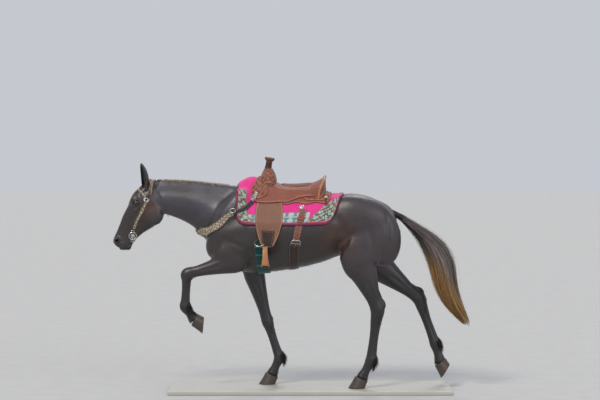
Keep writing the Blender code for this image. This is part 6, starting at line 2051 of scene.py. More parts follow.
@dataclass
class Sheet:
    """A grid of places on a laid surface and the way out at each. Rows run along it, columns across it."""
    places: np.ndarray
    outs: np.ndarray

    def at(self, u: np.ndarray, v: np.ndarray,
            lift: np.ndarray | float = 0.0) -> tuple[np.ndarray, np.ndarray]:
        """Finds places by shares of the way along and across.

        Args:
            u: Shares of the way along.
            v: Shares of the way across.
            lift: How far out the places are lifted.

        Returns:
            The places, and the ways out there.
        """
        u, v = np.asarray(u, float), np.asarray(v, float)
        rows, cols = self.places.shape[:2]
        a, b = np.clip(u, 0, 1) * (rows - 1), np.clip(v, 0, 1) * (cols - 1)
        i, j = np.minimum(a.astype(int), rows - 2), np.minimum(b.astype(int), cols - 2)
        a, b = (a - i)[..., None], (b - j)[..., None]

        def pick(grid: np.ndarray) -> np.ndarray:
            """Blends the grid's four nearest values."""
            return ((grid[i, j] * (1 - b) + grid[i, j + 1] * b) * (1 - a)
                    + (grid[i + 1, j] * (1 - b) + grid[i + 1, j + 1] * b) * a)

        outs = pick(self.outs)
        outs = outs / np.linalg.norm(outs, axis=-1, keepdims=True)
        return pick(self.places) + outs * np.asarray(lift, float)[..., None], outs

    def spans(self) -> tuple[float, float]:
        """Its mean length and width."""
        return float(arc(self.places, 0)[-1].mean()), float(arc(self.places, 1)[:, -1].mean())

    def raised(self, lift: np.ndarray | float) -> "Sheet":
        """The sheet that lies over this one at a height."""
        return Sheet(self.places + self.outs * np.asarray(lift, float)[..., None], self.outs)

    def cut(self, shape: Callable, lift: float = 0.0, rows: int = 40, cols: int = 24) -> "Sheet":
        """A part of it.

        Args:
            shape: Gives shares along and across the sheet for shares along and across the part.
            lift: How far out the part lies.
            rows: Its places along.
            cols: Its places across.

        Returns:
            The part.
        """
        return Sheet(*self.at(*shape(*np.meshgrid(np.linspace(0, 1, rows), np.linspace(0, 1, cols),
            indexing="ij")), lift))

    def line(self, shares: Sequence, lift: float) -> list[Vector]:
        """Places along a line of shares."""
        u, v = np.array(shares, float).T
        return [Vector(p) for p in self.at(u, v, lift)[0]]

    def border(self, inset: float, lift: float, count: int = 60) -> list[Vector]:
        """A closed line at a distance inside its border."""
        long, wide = self.spans()
        a, b = inset / long, inset / wide
        s = np.linspace(0, 1, count, endpoint=False)
        few = np.linspace(0, 1, max(4, int(count * wide / long)), endpoint=False)
        u = np.concatenate([a + (1 - 2 * a) * s, np.full(len(few), 1 - a), 1 - a - (1 - 2 * a) * s,
            np.full(len(few), a)])
        v = np.concatenate([np.full(count, b), b + (1 - 2 * b) * few, np.full(count, 1 - b),
            1 - b - (1 - 2 * b) * few])
        return self.line(np.column_stack([u, v]), lift)

    def shell(self, name: str, material: bpy.types.Material, thick: float, sink: float = 0.003,
            soft: float = 0.003, cell: float = 0.008, crown: Callable | None = None) -> bpy.types.Object:
        """A closed shell on the sheet whose edges round over.

        Args:
            name: The object's name.
            material: Its finish, which may read the map "Lay" in metres and the border's distance "edge".
            thick: How far it stands out.
            sink: How far it goes into what it lies on.
            soft: How far in from the border its edge rounds over.
            cell: The size of its faces.
            crown: More height by shares along and across.

        Returns:
            The shell.
        """
        shares = []
        for length in self.spans():
            ends = np.array((0.0, 0.12, 0.4)) * min(soft, length / 4)
            inner = np.linspace(min(soft, length / 4), length - min(soft, length / 4),
                max(3, int(length / cell)))
            shares.append(np.concatenate([ends, inner, length - ends[::-1]]) / length)
        us, vs = np.meshgrid(*shares, indexing="ij")
        rows, cols = us.shape
        places, outs = self.at(us, vs)
        along, across = arc(places, 0), arc(places, 1)
        edge = np.minimum(np.minimum(along, along[-1:] - along),
            np.minimum(across, across[:, -1:] - across))
        rise = thick * np.sqrt(np.maximum(0.0, 1 - (1 - np.minimum(edge / soft, 1)) ** 2))
        if crown is not None:
            rise = rise + crown(us, vs)
        outer, inner = places + outs * np.maximum(rise, thick * 0.2)[..., None], places - outs * sink
        index = np.arange(rows * cols).reshape(rows, cols)
        quads = np.stack([index[:-1, :-1], index[1:, :-1], index[1:, 1:], index[:-1, 1:]],
            axis=-1).reshape(-1, 4)
        rim = np.concatenate([index[0], index[1:, -1], index[-1, -2::-1], index[-2:0:-1, 0]])
        after = np.roll(rim, -1)
        walls = np.stack([rim, after, after + rows * cols, rim + rows * cols], axis=-1)
        mesh = bpy.data.meshes.new(name)
        mesh.from_pydata(np.concatenate([outer.reshape(-1, 3), inner.reshape(-1, 3)]), [],
            quads.tolist() + (quads[:, ::-1] + rows * cols).tolist() + walls.tolist())
        made = link(name, mesh, material)
        lay = np.stack([np.repeat(along.mean(1, keepdims=True), cols, 1),
            np.repeat(across.mean(0, keepdims=True), rows, 0) - across.mean(0)[-1] / 2], axis=-1)
        corner = np.empty(len(mesh.loops), np.int64)
        mesh.loops.foreach_get("vertex_index", corner)
        mesh.uv_layers.new(name="Lay").data.foreach_set("uv",
            np.tile(lay.reshape(-1, 2), (2, 1))[corner].ravel())
        mark(mesh, "edge", np.tile(edge.ravel(), 2))
        first = mesh.polygons[len(quads) // 2]
        if first.normal.dot(Vector(outs.reshape(-1, 3)[first.vertices[0]])) < 0:
            mesh.flip_normals()
        return made


def drape(ground: Ground, front: Callable, rear: Callable, edge: Callable, along: int = 60,
        around: int = 84, rounds: int = 6) -> Sheet:
    """Lays a sheet over the back.

    Args:
        ground: What it lies on.
        front: x of its front edge, by the share of the way down a side.
        rear: x of its rear edge, likewise.
        edge: Its lower edge's height over the base, by the share along.
        along: Steps along.
        around: Steps from the left edge to the right.
        rounds: How much it evens out.

    Returns:
        The sheet.
    """
    shares = np.linspace(-1, 1, around + 1)
    xs, angles = np.empty((along + 1, around + 1)), np.empty((along + 1, around + 1))
    for i, u in enumerate(np.linspace(0, 1, along + 1)):
        middle = front(0) + (rear(0) - front(0)) * u
        reach = {side: ground.edge_angle(middle, side, edge(u)) for side in (-1, 1)}
        for j, s in enumerate(shares):
            xs[i, j] = front(abs(s)) + (rear(abs(s)) - front(abs(s))) * u
            angles[i, j] = reach[1 if s > 0 else -1] * s
    far = np.array([[ground.reach(x, a) for x, a in zip(*row)] for row in zip(xs, angles)])
    far = np.maximum(far, evened(far, rounds))
    outs = np.stack([np.zeros_like(angles), np.sin(angles), np.cos(angles)], axis=-1)
    places = np.stack([xs, np.zeros_like(xs), np.full_like(xs, TRUNK_AXIS + BASE_HEIGHT)],
        axis=-1) + outs * far[..., None]
    return Sheet(places, outs)


def strap(ground: Ground, path: Sequence, width: float, axis: float | None = None, hang: bool = False,
        taper: Callable | None = None, cols: int = 7, steps: int = 8) -> Sheet:
    """Lays a strap along a path.

    Args:
        ground: What it lies on.
        path: Its places, over the base.
        width: Its width.
        axis: The height over the base of the line that it is drawn tight around, if it is.
        hang: Whether it hangs straight from its widest place.
        taper: Its width's share by the share along.
        cols: Its places across.
        steps: Steps in each gap of the path.

    Returns:
        The strap's sheet.
    """
    rows = smooth_rows(path, steps)
    level = (axis or 0.0) + BASE_HEIGHT
    centres, outs, reach = [], [], []
    for i, row in enumerate(rows):
        along = Vector(rows[min(i + 1, len(rows) - 1)] - rows[max(i - 1, 0)]).normalized()
        guide = Vector(row) + UP * BASE_HEIGHT
        if hang:
            normal = Vector((0, math.copysign(1, guide.y), 0))
        elif axis is None:
            normal = ground.nearest(guide)[1]
        else:
            normal = (guide - Vector((guide.x, 0, level))).normalized()
        across = along.cross(normal).normalized()
        half = width / 2 * (1 if taper is None else taper(i / (len(rows) - 1)))
        found = []
        for t in np.linspace(-1, 1, cols):
            point = guide + across * half * t
            if axis is None and not hang:
                place, out = ground.nearest(point)
                found.append((place, normal.lerp(out, 0.5).normalized(), 0.0))
                continue
            out = normal if hang else (point - Vector((point.x, 0, level))).normalized()
            centre = Vector((point.x, 0, point.z if hang else level))
            place = ground.hit(point + out * 0.25, -out)
            found.append((centre, out, (place - centre).dot(out) if place is not None else -1.0))
        centres.append([tuple(f[0]) for f in found])
        outs.append([tuple(f[1]) for f in found])
        reach.append([f[2] for f in found])
    centres, outs, reach = np.array(centres), np.array(outs), np.array(reach)
    if hang:
        reach = np.maximum.accumulate(reach, axis=0)
        return Sheet(centres + outs * evened(reach, 3)[..., None], outs)
    if axis is None:
        flat = np.stack([evened(centres[..., k], 3) for k in range(3)], axis=-1)
        dip = np.minimum(0.0, np.sum((flat - centres) * outs, axis=-1, keepdims=True))
        return Sheet(flat - outs * dip, outs)
    return Sheet(centres + outs * np.maximum(reach, evened(reach, 8))[..., None], outs)


@dataclass
class Repeat:
    """Small equal beads, stitches or studs set along lines by Geometry Nodes."""
    name: str
    material: bpy.types.Material
    pitch: float
    long: float
    thick: float

    def nodes(self) -> bpy.types.NodeTree:
        """The tree: lines to curves, a point every pitch, one bead on each along the line."""
        tree = bpy.data.node_groups.new(self.name, 'GeometryNodeTree')
        tree.interface.new_socket("Lines", in_out='INPUT', socket_type='NodeSocketGeometry')
        for label in ("Pitch", "Long", "Thick"):
            tree.interface.new_socket(label, in_out='INPUT', socket_type='NodeSocketFloat')
        tree.interface.new_socket("Beads", in_out='OUTPUT', socket_type='NodeSocketGeometry')
        given = add_node(tree, 'NodeGroupInput').outputs
        curve = add_node(tree, 'GeometryNodeMeshToCurve', {"Mesh": given["Lines"]}).outputs[0]
        spots = add_node(tree, 'GeometryNodeCurveToPoints', {"Curve": curve, "Length": given["Pitch"]},
            mode='LENGTH')
        bead = add_node(tree, 'GeometryNodeMeshUVSphere',
            {"Segments": 6, "Rings": 4, "Radius": 0.5}).outputs[0]
        size = add_node(tree, 'ShaderNodeCombineXYZ',
            {0: given["Long"], 1: given["Thick"], 2: given["Thick"]}).outputs[0]
        turn = add_node(tree, 'FunctionNodeAlignRotationToVector', {"Vector": spots.outputs["Tangent"]},
            axis='X')
        placed = add_node(tree, 'GeometryNodeInstanceOnPoints',
            {"Points": spots.outputs["Points"], "Instance": bead, "Rotation": turn.outputs[0],
            "Scale": size})
        real = add_node(tree, 'GeometryNodeRealizeInstances', {"Geometry": placed.outputs[0]}).outputs[0]
        smooth = add_node(tree, 'GeometryNodeSetShadeSmooth', {"Geometry": real}).outputs[0]
        dressed = add_node(tree, 'GeometryNodeSetMaterial',
            {"Geometry": smooth, "Material": self.material}).outputs[0]
        add_node(tree, 'NodeGroupOutput', {0: dressed})
        return tree

    def along(self, lines: Sequence, closed: bool = False) -> bpy.types.Object:
        """Sets them along lines of points.

        Args:
            lines: The lines.
            closed: Whether each line joins its own start.

        Returns:
            The beads as one plain mesh.
        """
        points, edges = [], []
        for line in lines:
            start, last = len(points), len(points) + len(line) - 1
            points += [tuple(p) for p in line]
            edges += [(k, k + 1) for k in range(start, last)] + ([(last, start)] if closed else [])
        mesh = bpy.data.meshes.new(self.name)
        mesh.from_pydata(points, edges, [])
        made = bpy.data.objects.new(self.name, mesh)
        bpy.context.scene.collection.objects.link(made)
        modifier = made.modifiers.new("beads", 'NODES')
        tree = self.nodes()
        modifier.node_group = tree
        sizes = {"Pitch": self.pitch, "Long": self.long, "Thick": self.thick}
        for socket in tree.interface.items_tree:
            if socket.name in sizes:
                modifier[socket.identifier] = sizes[socket.name]
        return applied(made)


def turned(name: str, hit: tuple[Vector, Vector], profile: Sequence[tuple[float, float]],
        material: bpy.types.Material, count: int = 36, petals: int = 0,
        depth: float = 0.0) -> bpy.types.Object:
    """A turned plate on a surface.

    Args:
        name: The object's name.
        hit: The place and the way out.
        profile: Radius and height, from the rim's underside to the crown.
        material: Its finish.
        count: Points round it.
        petals: How many scallops its rim has.
        depth: How deep they are, for its radius.

    Returns:
        The plate.
    """
    place, out = hit
    side = out.cross(UP).normalized() if abs(out.z) < 0.9 else out.cross(Vector((1, 0, 0))).normalized()
    up = side.cross(out)
    bm = bmesh.new()
    loops = []
    for radius, height in profile:
        loop = []
        for a in np.linspace(0, 2 * math.pi, count, endpoint=False):
            r = radius * (1 - depth * (1 - abs(math.cos(petals * a / 2)))) if petals else radius
            loop.append(place + out * height + (side * math.cos(a) + up * math.sin(a)) * r)
        loops.append(loop)
    add_tube(bm, loops)
    return from_bmesh(name, bm, material, crease=50)


def frame_loop(name: str, place: Vector, wide: Vector, high: Vector, radius: float,
        material: bpy.types.Material, power: float = 0.45, count: int = 40) -> bpy.types.Object:
    """A closed wire frame: a ring, or with a low power a rounded box.

    Args:
        name: The object's name.
        place: Its middle.
        wide: Half of its width, as a vector.
        high: Half of its height, as a vector.
        radius: The wire's radius.
        material: Its finish.
        power: How square it is, from 1, round.
        count: Points along it.

    Returns:
        The frame.
    """
    return round_tube(name, ring_of(place, wide, high, count, power), radius, material, 10, closed=True)


class Wear(Enum):
    """The finishes that the tack's pieces share."""
    SADDLE = Leather("basket-stamped saddle leather", "#a9604a", "#552a20", stamp=0.015, border=0.010)
    FLORAL = Leather("flower-carved saddle leather", "#b0684c", "#572c20", rosette=0.040, border=0.009)
    FENDER = Leather("worn fender leather", "#a06f58", "#4d3227", stamp=0.018, border=0.012)
    STRAP = Leather("oiled strap leather", "#463028", "#1c120f", border=0.004)
    BILLET = Leather("carved billet leather", "#a76c5c", "#5a322a", rosette=0.028, border=0.005)
    BLACK = Leather("black harness leather", "#2a2624", "#0d0b0a", border=0.004)
    INLAY = Leather("pale carved inlay leather", "#dccaae", "#3d2c20", rosette=0.028, border=0.003)
    PATCH = Leather("carved corner leather with painted flowers", "#b0726a", "#663c38", rosette=0.052,
        border=0.006, bloom="#a8d6c0")
    TAN = Leather("rawhide-laced tan leather", "#c98f5c", "#7c4a2a", roughness=0.36)
    BINDING = Leather("wine red binding leather", "#8c1f4c", "#4c0f2c")
    KEEPER = Leather("red keeper leather", "#b23a3c", "#5c1c1e", border=0.003)
    FELT = Textile("pressed wool felt", ("#c81e74", "#ef4a9c"))
    BAND = Textile("woven wool band", ("#cfe3df", "#4fb3a8", "#8f9498", "#e9e6e0"), Weave.BAND, 0.0045)
    # The cinch cord's darker teal is painted shade in the grooves between its cords
    CORD = Textile("mohair cinch cord", ("#0c4643", "#23807a"), Weave.CORD, 0.006)
    THREAD = Paint("waxed linen thread", "#d9cbb0", 0.6)
    SILVER = Silver(engraved=0.007)
    PLAIN = Silver("polished nickel silver", engraved=0.0)

    def material(self) -> bpy.types.Material:
        """The finish's material, made once."""
        return bpy.data.materials.get(self.value.name) or self.value.material()


def round_end(u: float, low: float, high: float, depth: float) -> float:
    """How far an edge is drawn up near the two ends of a piece, as a quarter circle."""
    t = 1 - u / low if u < low else 1 - (1 - u) / high if u > 1 - high else 0.0
    return depth * (1 - math.sqrt(max(0.0, 1 - t * t)))


def stitched(name: str, sheets: Sequence[Sheet], inset: float, lift: float,
        pitch: float = 0.0065) -> bpy.types.Object:
    """Rows of thread a little inside the borders of some sheets."""
    row = Repeat(name, Wear.THREAD.material(), pitch, pitch * 0.62, 0.0013)
    return row.along([sheet.border(inset, lift) for sheet in sheets], closed=True)


CONCHO = ((0.86, -0.12), (1.0, 0.0), (1.0, 0.07), (0.93, 0.15), (0.86, 0.11), (0.80, 0.10), (0.70, 0.20),
    (0.50, 0.28), (0.40, 0.26), (0.34, 0.32), (0.15, 0.36), (0.02, 0.37))


def concho(name: str, hit: tuple[Vector, Vector], radius: float, petals: int = 12) -> bpy.types.Object:
    """A domed silver plate with a scalloped rim and a raised button."""
    return turned(name, hit, [(r * radius, h * radius) for r, h in CONCHO], Wear.SILVER.material(), 72,
        petals, 0.07)


@dataclass
class SaddlePad:
    """The thick felt pad with woven bands, leather corners and a bound edge."""
    ground: Ground
    front: float = -0.548
    rear: float = 0.246
    edge: float = 1.226
    thick: float = 0.0155

    def tent(self, x: np.ndarray, s: np.ndarray) -> np.ndarray:
        """How far the pad is pulled up off the withers."""
        return 0.030 * np.exp(-((x + 0.43) / 0.11) ** 2) * np.maximum(0.0, 1 - np.abs(s) * 2.2)

    def build(self) -> bpy.types.Object:
        """Builds the pad and what is sewn to it, and gives its felt."""
        base = drape(self.ground, lambda s: self.front + 0.020 * (1 - s), lambda s: self.rear - 0.075
            * s ** 2, lambda u: self.edge + round_end(u, 0.10, 0.10, 0.075))
        felt = base.shell("pad_felt", Wear.FELT.material(), self.thick, sink=0.006, soft=0.010, cell=0.010,
            crown=lambda u, v: self.tent(base.at(u, v)[0][..., 0], 2 * v - 1))
        settle(felt, "felt", "saddle_pad")
        shares = np.linspace(-1, 1, base.places.shape[1])[None]
        top = base.raised(self.thick + self.tent(base.places[..., 0], shares) - 0.0005)
        bands, patches = [], []
        for side in (-1, 1):
            def down(s: np.ndarray, side: int = side) -> np.ndarray:
                """The share across for the share of the way down this side."""
                return (1 + side * s) / 2

            bands.append(top.cut(lambda a, b: (0.08 + 0.65 * a, down(0.765 + 0.20 * b)), rows=70))
            patches.append(top.cut(lambda a, b: (0.010 + (0.080 + 0.075 * b ** 3) * a,
                down(0.34 + 0.63 * b)), rows=14))
            patches.append(top.cut(lambda a, b: (
                (0.935 - 0.235 * b ** 0.8 + 0.014 * np.abs(np.sin(b * 9.4))) * (1 - a) + 0.986 * a,
                down(0.47 + 0.50 * b)), rows=30))
        pieces = [sheet.shell(f"pad_band_{i}", Wear.BAND.material(), 0.0022, 0.002, 0.0015, 0.006)
            for i, sheet in enumerate(bands)]
        settle(joined("pad_bands", pieces), "webbing")
        pieces = [sheet.shell(f"pad_corner_{i}", Wear.PATCH.material(), 0.0040, 0.002, 0.002, 0.006)
            for i, sheet in enumerate(patches)]
        settle(joined("pad_corners", pieces), "inlay")
        settle(stitched("pad_stitches", patches, 0.006, 0.0042), "inlay")
        path = base.border(0.001, self.thick * 0.45, 90)
        settle(round_tube("pad_binding", path, 0.0098, Wear.BINDING.material(), 12, closed=True), "strap")
        return felt


@dataclass
class Saddle:
    """The saddle: skirts, jockeys, seat, fork with its horn, and cantle."""
    ground: Ground
    foot: float = 1.440
    gullet: float = -0.365
    heights: tuple = ((-0.425, 1.500), (-0.350, 1.530), (-0.270, 1.520), (-0.200, 1.500), (-0.110, 1.498),
        (-0.020, 1.504), (0.050, 1.510), (0.090, 1.510))
    fork_rows: tuple = ((-0.372, 0.104, 1.530), (-0.362, 0.120, 1.572), (-0.344, 0.142, 1.612),
        (-0.312, 0.156, 1.634), (-0.280, 0.150, 1.624), (-0.258, 0.124, 1.578), (-0.252, 0.108, 1.545))

    def skirts(self) -> Ground:
        """Builds the skirts and gives the ground that the rigging hangs over."""
        skirts = drape(self.ground, lambda s: self.gullet - 0.065 * min(1.0, 1.5 * s), lambda s: 0.158,
            lambda u: 1.370 + round_end(u, 0.18, 0.14, 0.060) + 0.012 * math.cos((u - 0.56) * 12.5) ** 2)
        leather = skirts.shell("skirt_leather", Wear.SADDLE.material(), 0.009, 0.004, 0.003)
        settle(leather, "saddle", "saddle_skirts")
        settle(stitched("skirt_stitches", (skirts,), 0.0075, 0.0092), "saddle")
        return self.ground.over(leather)

    def upper(self, ground: Ground) -> Ground:
        """Builds what lies over skirts and fenders, and gives the ground that the collar's straps lie on."""
        jockey = drape(ground, lambda s: -0.060, lambda s: 0.136,
            lambda u: 1.398 + round_end(u, 0.30, 0.30, 0.045))
        rear = jockey.shell("rear_jockey", Wear.FLORAL.material(), 0.006, 0.004, 0.0025)
        ground = ground.over(rear)
        seat = drape(ground, lambda s: self.gullet + 0.010 - 0.070 * min(1.0, 1.5 * s), lambda s: 0.090,
            lambda u: 1.385 + round_end(u, 0.20, 0.16, 0.045) + 0.040
            * float(ramp(np.array(u), 0.46, 0.76)), rounds=12)
        crest = smooth_rows(self.heights, 6)

        def crown(u: np.ndarray, v: np.ndarray) -> np.ndarray:
            """How far the padding lifts the seat to its dished line."""
            places = seat.at(u, v)[0]
            line = np.interp(places[..., 0], crest[:, 0], crest[:, 1]) + BASE_HEIGHT
            side = np.maximum(0.0, 1 - (np.abs(2 * v - 1) / 0.80) ** 2.2)
            return np.maximum(0.0, line - places[..., 2]) * side

        cover = seat.shell("seat_leather", Wear.SADDLE.material(), 0.009, 0.004, 0.003, crown=crown)
        settle(cover, "saddle", "saddle_seat")
        grid = np.meshgrid(np.linspace(0, 1, seat.places.shape[0]), np.linspace(0, 1, seat.places.shape[1]),
            indexing="ij")
        top = seat.raised(0.0088 + crown(*grid))
        inlay = top.cut(lambda a, b: (0.36 + 0.48 * a,
            0.5 + (0.10 + 0.12 * np.sin(math.pi * (0.12 + 0.62 * a))) * (2 * b - 1)), rows=50)
        settle(inlay.shell("seat_cushion", Leather("nubuck seat leather", "#8a5a48", "#5c382b",
            roughness=0.75).material(), 0.0085, 0.003, 0.020), "saddle")
        flap = drape(ground.over(cover), lambda s: self.gullet + 0.020 - 0.090 * min(1.0, 1.5 * s),
            lambda s: -0.312, lambda u: 1.420 + round_end(u, 0.5, 0.5, 0.05))
        front = flap.shell("front_jockey", Wear.FLORAL.material(), 0.006, 0.003, 0.0025)
        jockeys = settle(joined("jockeys", [rear, front]), "saddle")
        settle(stitched("seat_stitches", (seat,), 0.0075, 0.0092), "saddle")
        settle(stitched("jockey_stitches", (jockey, flap), 0.0065, 0.0062), "saddle")
        self.fork()
        self.horn()
        self.cantle()
        ground = ground.over(cover, jockeys)
        for word, side in SIDES.items():
            plates = [concho("plate", ground.flank(x, side, z), 0.015, 8)
                for x, z in ((0.116, 1.424), (-0.398, 1.450))]
            settle(joined("small_conchos_" + word, plates), "silver")
            thongs = [round_tube("thong",
                [hit + out * 0.003 for hit, out in (ground.flank(0.116 + dx * t, side, 1.420 - 0.15 * t)
                for t in np.linspace(0, 1, 9))], 0.0024, Wear.STRAP.material(), 6)
                for dx in (-0.012, 0.016)]
            settle(joined("saddle_strings_" + word, thongs), "strap")
        return ground

    def faced(self, places: np.ndarray, guide: Vector) -> Sheet:
        """A sheet on a grid of places, whose outs point away from a guide place."""
        outs = np.cross(np.gradient(places, axis=0), np.gradient(places, axis=1))
        outs /= np.linalg.norm(outs, axis=2, keepdims=True) + 1e-9
        turn = np.sign(np.sum(outs * (places - np.array(guide)), axis=2, keepdims=True))
        return Sheet(places, outs * np.where(turn == 0, 1, turn))

    def fork(self) -> None:
        """The swelled fork: a leather-covered arch, its edges laced under a roll."""
        rows = smooth_rows(self.fork_rows, 5)
        angles = np.linspace(-math.pi / 2, math.pi / 2, 49)
        arch = np.array(
            [[(x, half * math.sin(a), self.foot + BASE_HEIGHT + (top - self.foot)
            * max(0.0, math.cos(a)) ** 0.62) for a in angles] for x, half, top in rows])
        bm = bmesh.new()
        low = self.foot + BASE_HEIGHT - 0.006
        add_tube(bm, [[tuple(p) for p in row] + [(row[0][0], y, low) for y in (0.05, 0.0, -0.05)]
            for row in arch])
        tree = from_bmesh("fork_tree", bm, Wear.FENDER.material())
        sheet = self.faced(arch[2:-2, 4:-4], Vector((-0.312, 0, self.foot + BASE_HEIGHT)))
        cover = sheet.shell("fork_cover", Wear.FLORAL.material(), 0.003, 0.004, 0.002, 0.006)
        rolls = [round_tube(f"fork_roll_{i}", sheet.line([(u, v) for v in np.linspace(0, 1, 50)], 0.001),
            0.0042, Wear.STRAP.material(), 8) for i, u in enumerate((0.0, 1.0))]
        settle(joined("fork", [tree, cover, *rolls]), "saddle", "saddle_fork")
        settle(stitched("fork_stitches", (sheet,), 0.009, 0.0032), "saddle")

    def horn(self) -> None:
        """The horn: a wrapped neck under a broad cap whose rim is bound."""
        foot, head = (Vector((x, 0, z + BASE_HEIGHT)) for x, z in ((-0.314, 1.612), (-0.300, 1.700)))
        way, tall = (head - foot).normalized(), (head - foot).length
        profile = ((0.034, 0.0), (0.029, 0.08), (0.025, 0.20), (0.023, 0.40), (0.022, 0.62), (0.024, 0.78),
            (0.030, 0.87), (0.0355, 0.92), (0.0372, 0.98), (0.0372, 1.04), (0.035, 1.09), (0.031, 1.115),
            (0.0295, 1.105), (0.020, 1.125), (0.010, 1.13), (0.002, 1.13))
        cap = turned("horn_leather", (foot, way), [(r, h * tall) for r, h in profile],
            Wear.FENDER.material(), 40)
        wraps = [turned(f"horn_wrap_{i}", (foot, way),
            [(r - 0.004, h - 0.001), (r, h), (r + 0.0016, h + 0.0035), (r, h + 0.007),
            (r - 0.004, h + 0.008)], Wear.STRAP.material(), 32)
            for i, (r, h) in enumerate(((0.0255, 0.016), (0.0242, 0.024), (0.0235, 0.032), (0.0230, 0.040),
            (0.0226, 0.048), (0.0226, 0.056)))]
        settle(joined("horn", [cap, *wraps]), "saddle", "saddle_horn")

    def cantle(self) -> None:
        """The cantle: a dished face, a carved back, and the roll along its rim."""
        angles = np.linspace(-1.57, 1.57, 61)
        faces = []
        for foot_x, foot_half, foot_z, sag in ((-0.030, 0.118, 1.512, 0.012),
                (0.118, 0.172, 1.448, -0.008)):
            rows = []
            for a in angles:
                c, s = max(0.0, math.cos(a)), math.sin(a)
                rim = Vector((0.062 + 0.052 * c, 0.178 * s, self.foot + BASE_HEIGHT - 0.030 + 0.158
                    * c ** 0.55))
                low = Vector((foot_x - 0.035 * (1 - c), foot_half * s,
                    foot_z + BASE_HEIGHT - (foot_z - self.foot + 0.030) * (1 - c ** 0.5)))
                rows.append([tuple(rim.lerp(low, t) - Vector((-0.3, 0, 1)) * sag * math.sin(math.pi * t))
                    for t in np.linspace(0, 1, 15)])
            faces.append(np.array(rows))
        inside = Vector((0.072, 0, self.foot + BASE_HEIGHT - 0.02))
        dish, back = (self.faced(face, inside) for face in faces)
        pieces = [dish.shell("cantle_dish", Wear.SADDLE.material(), 0.004, 0.010, 0.003, 0.007),
            back.shell("cantle_back", Wear.FLORAL.material(), 0.004, 0.010, 0.003, 0.007)]
        rim = [Vector(p) for p in faces[0][:, 0]]
        pieces.append(round_tube("cantle_roll", rim, 0.0095, Wear.TAN.material(), 12))
        settle(joined("cantle", pieces), "saddle", "saddle_cantle")
        settle(stitched("cantle_stitches", (dish, back), 0.014, 0.0042), "saddle")


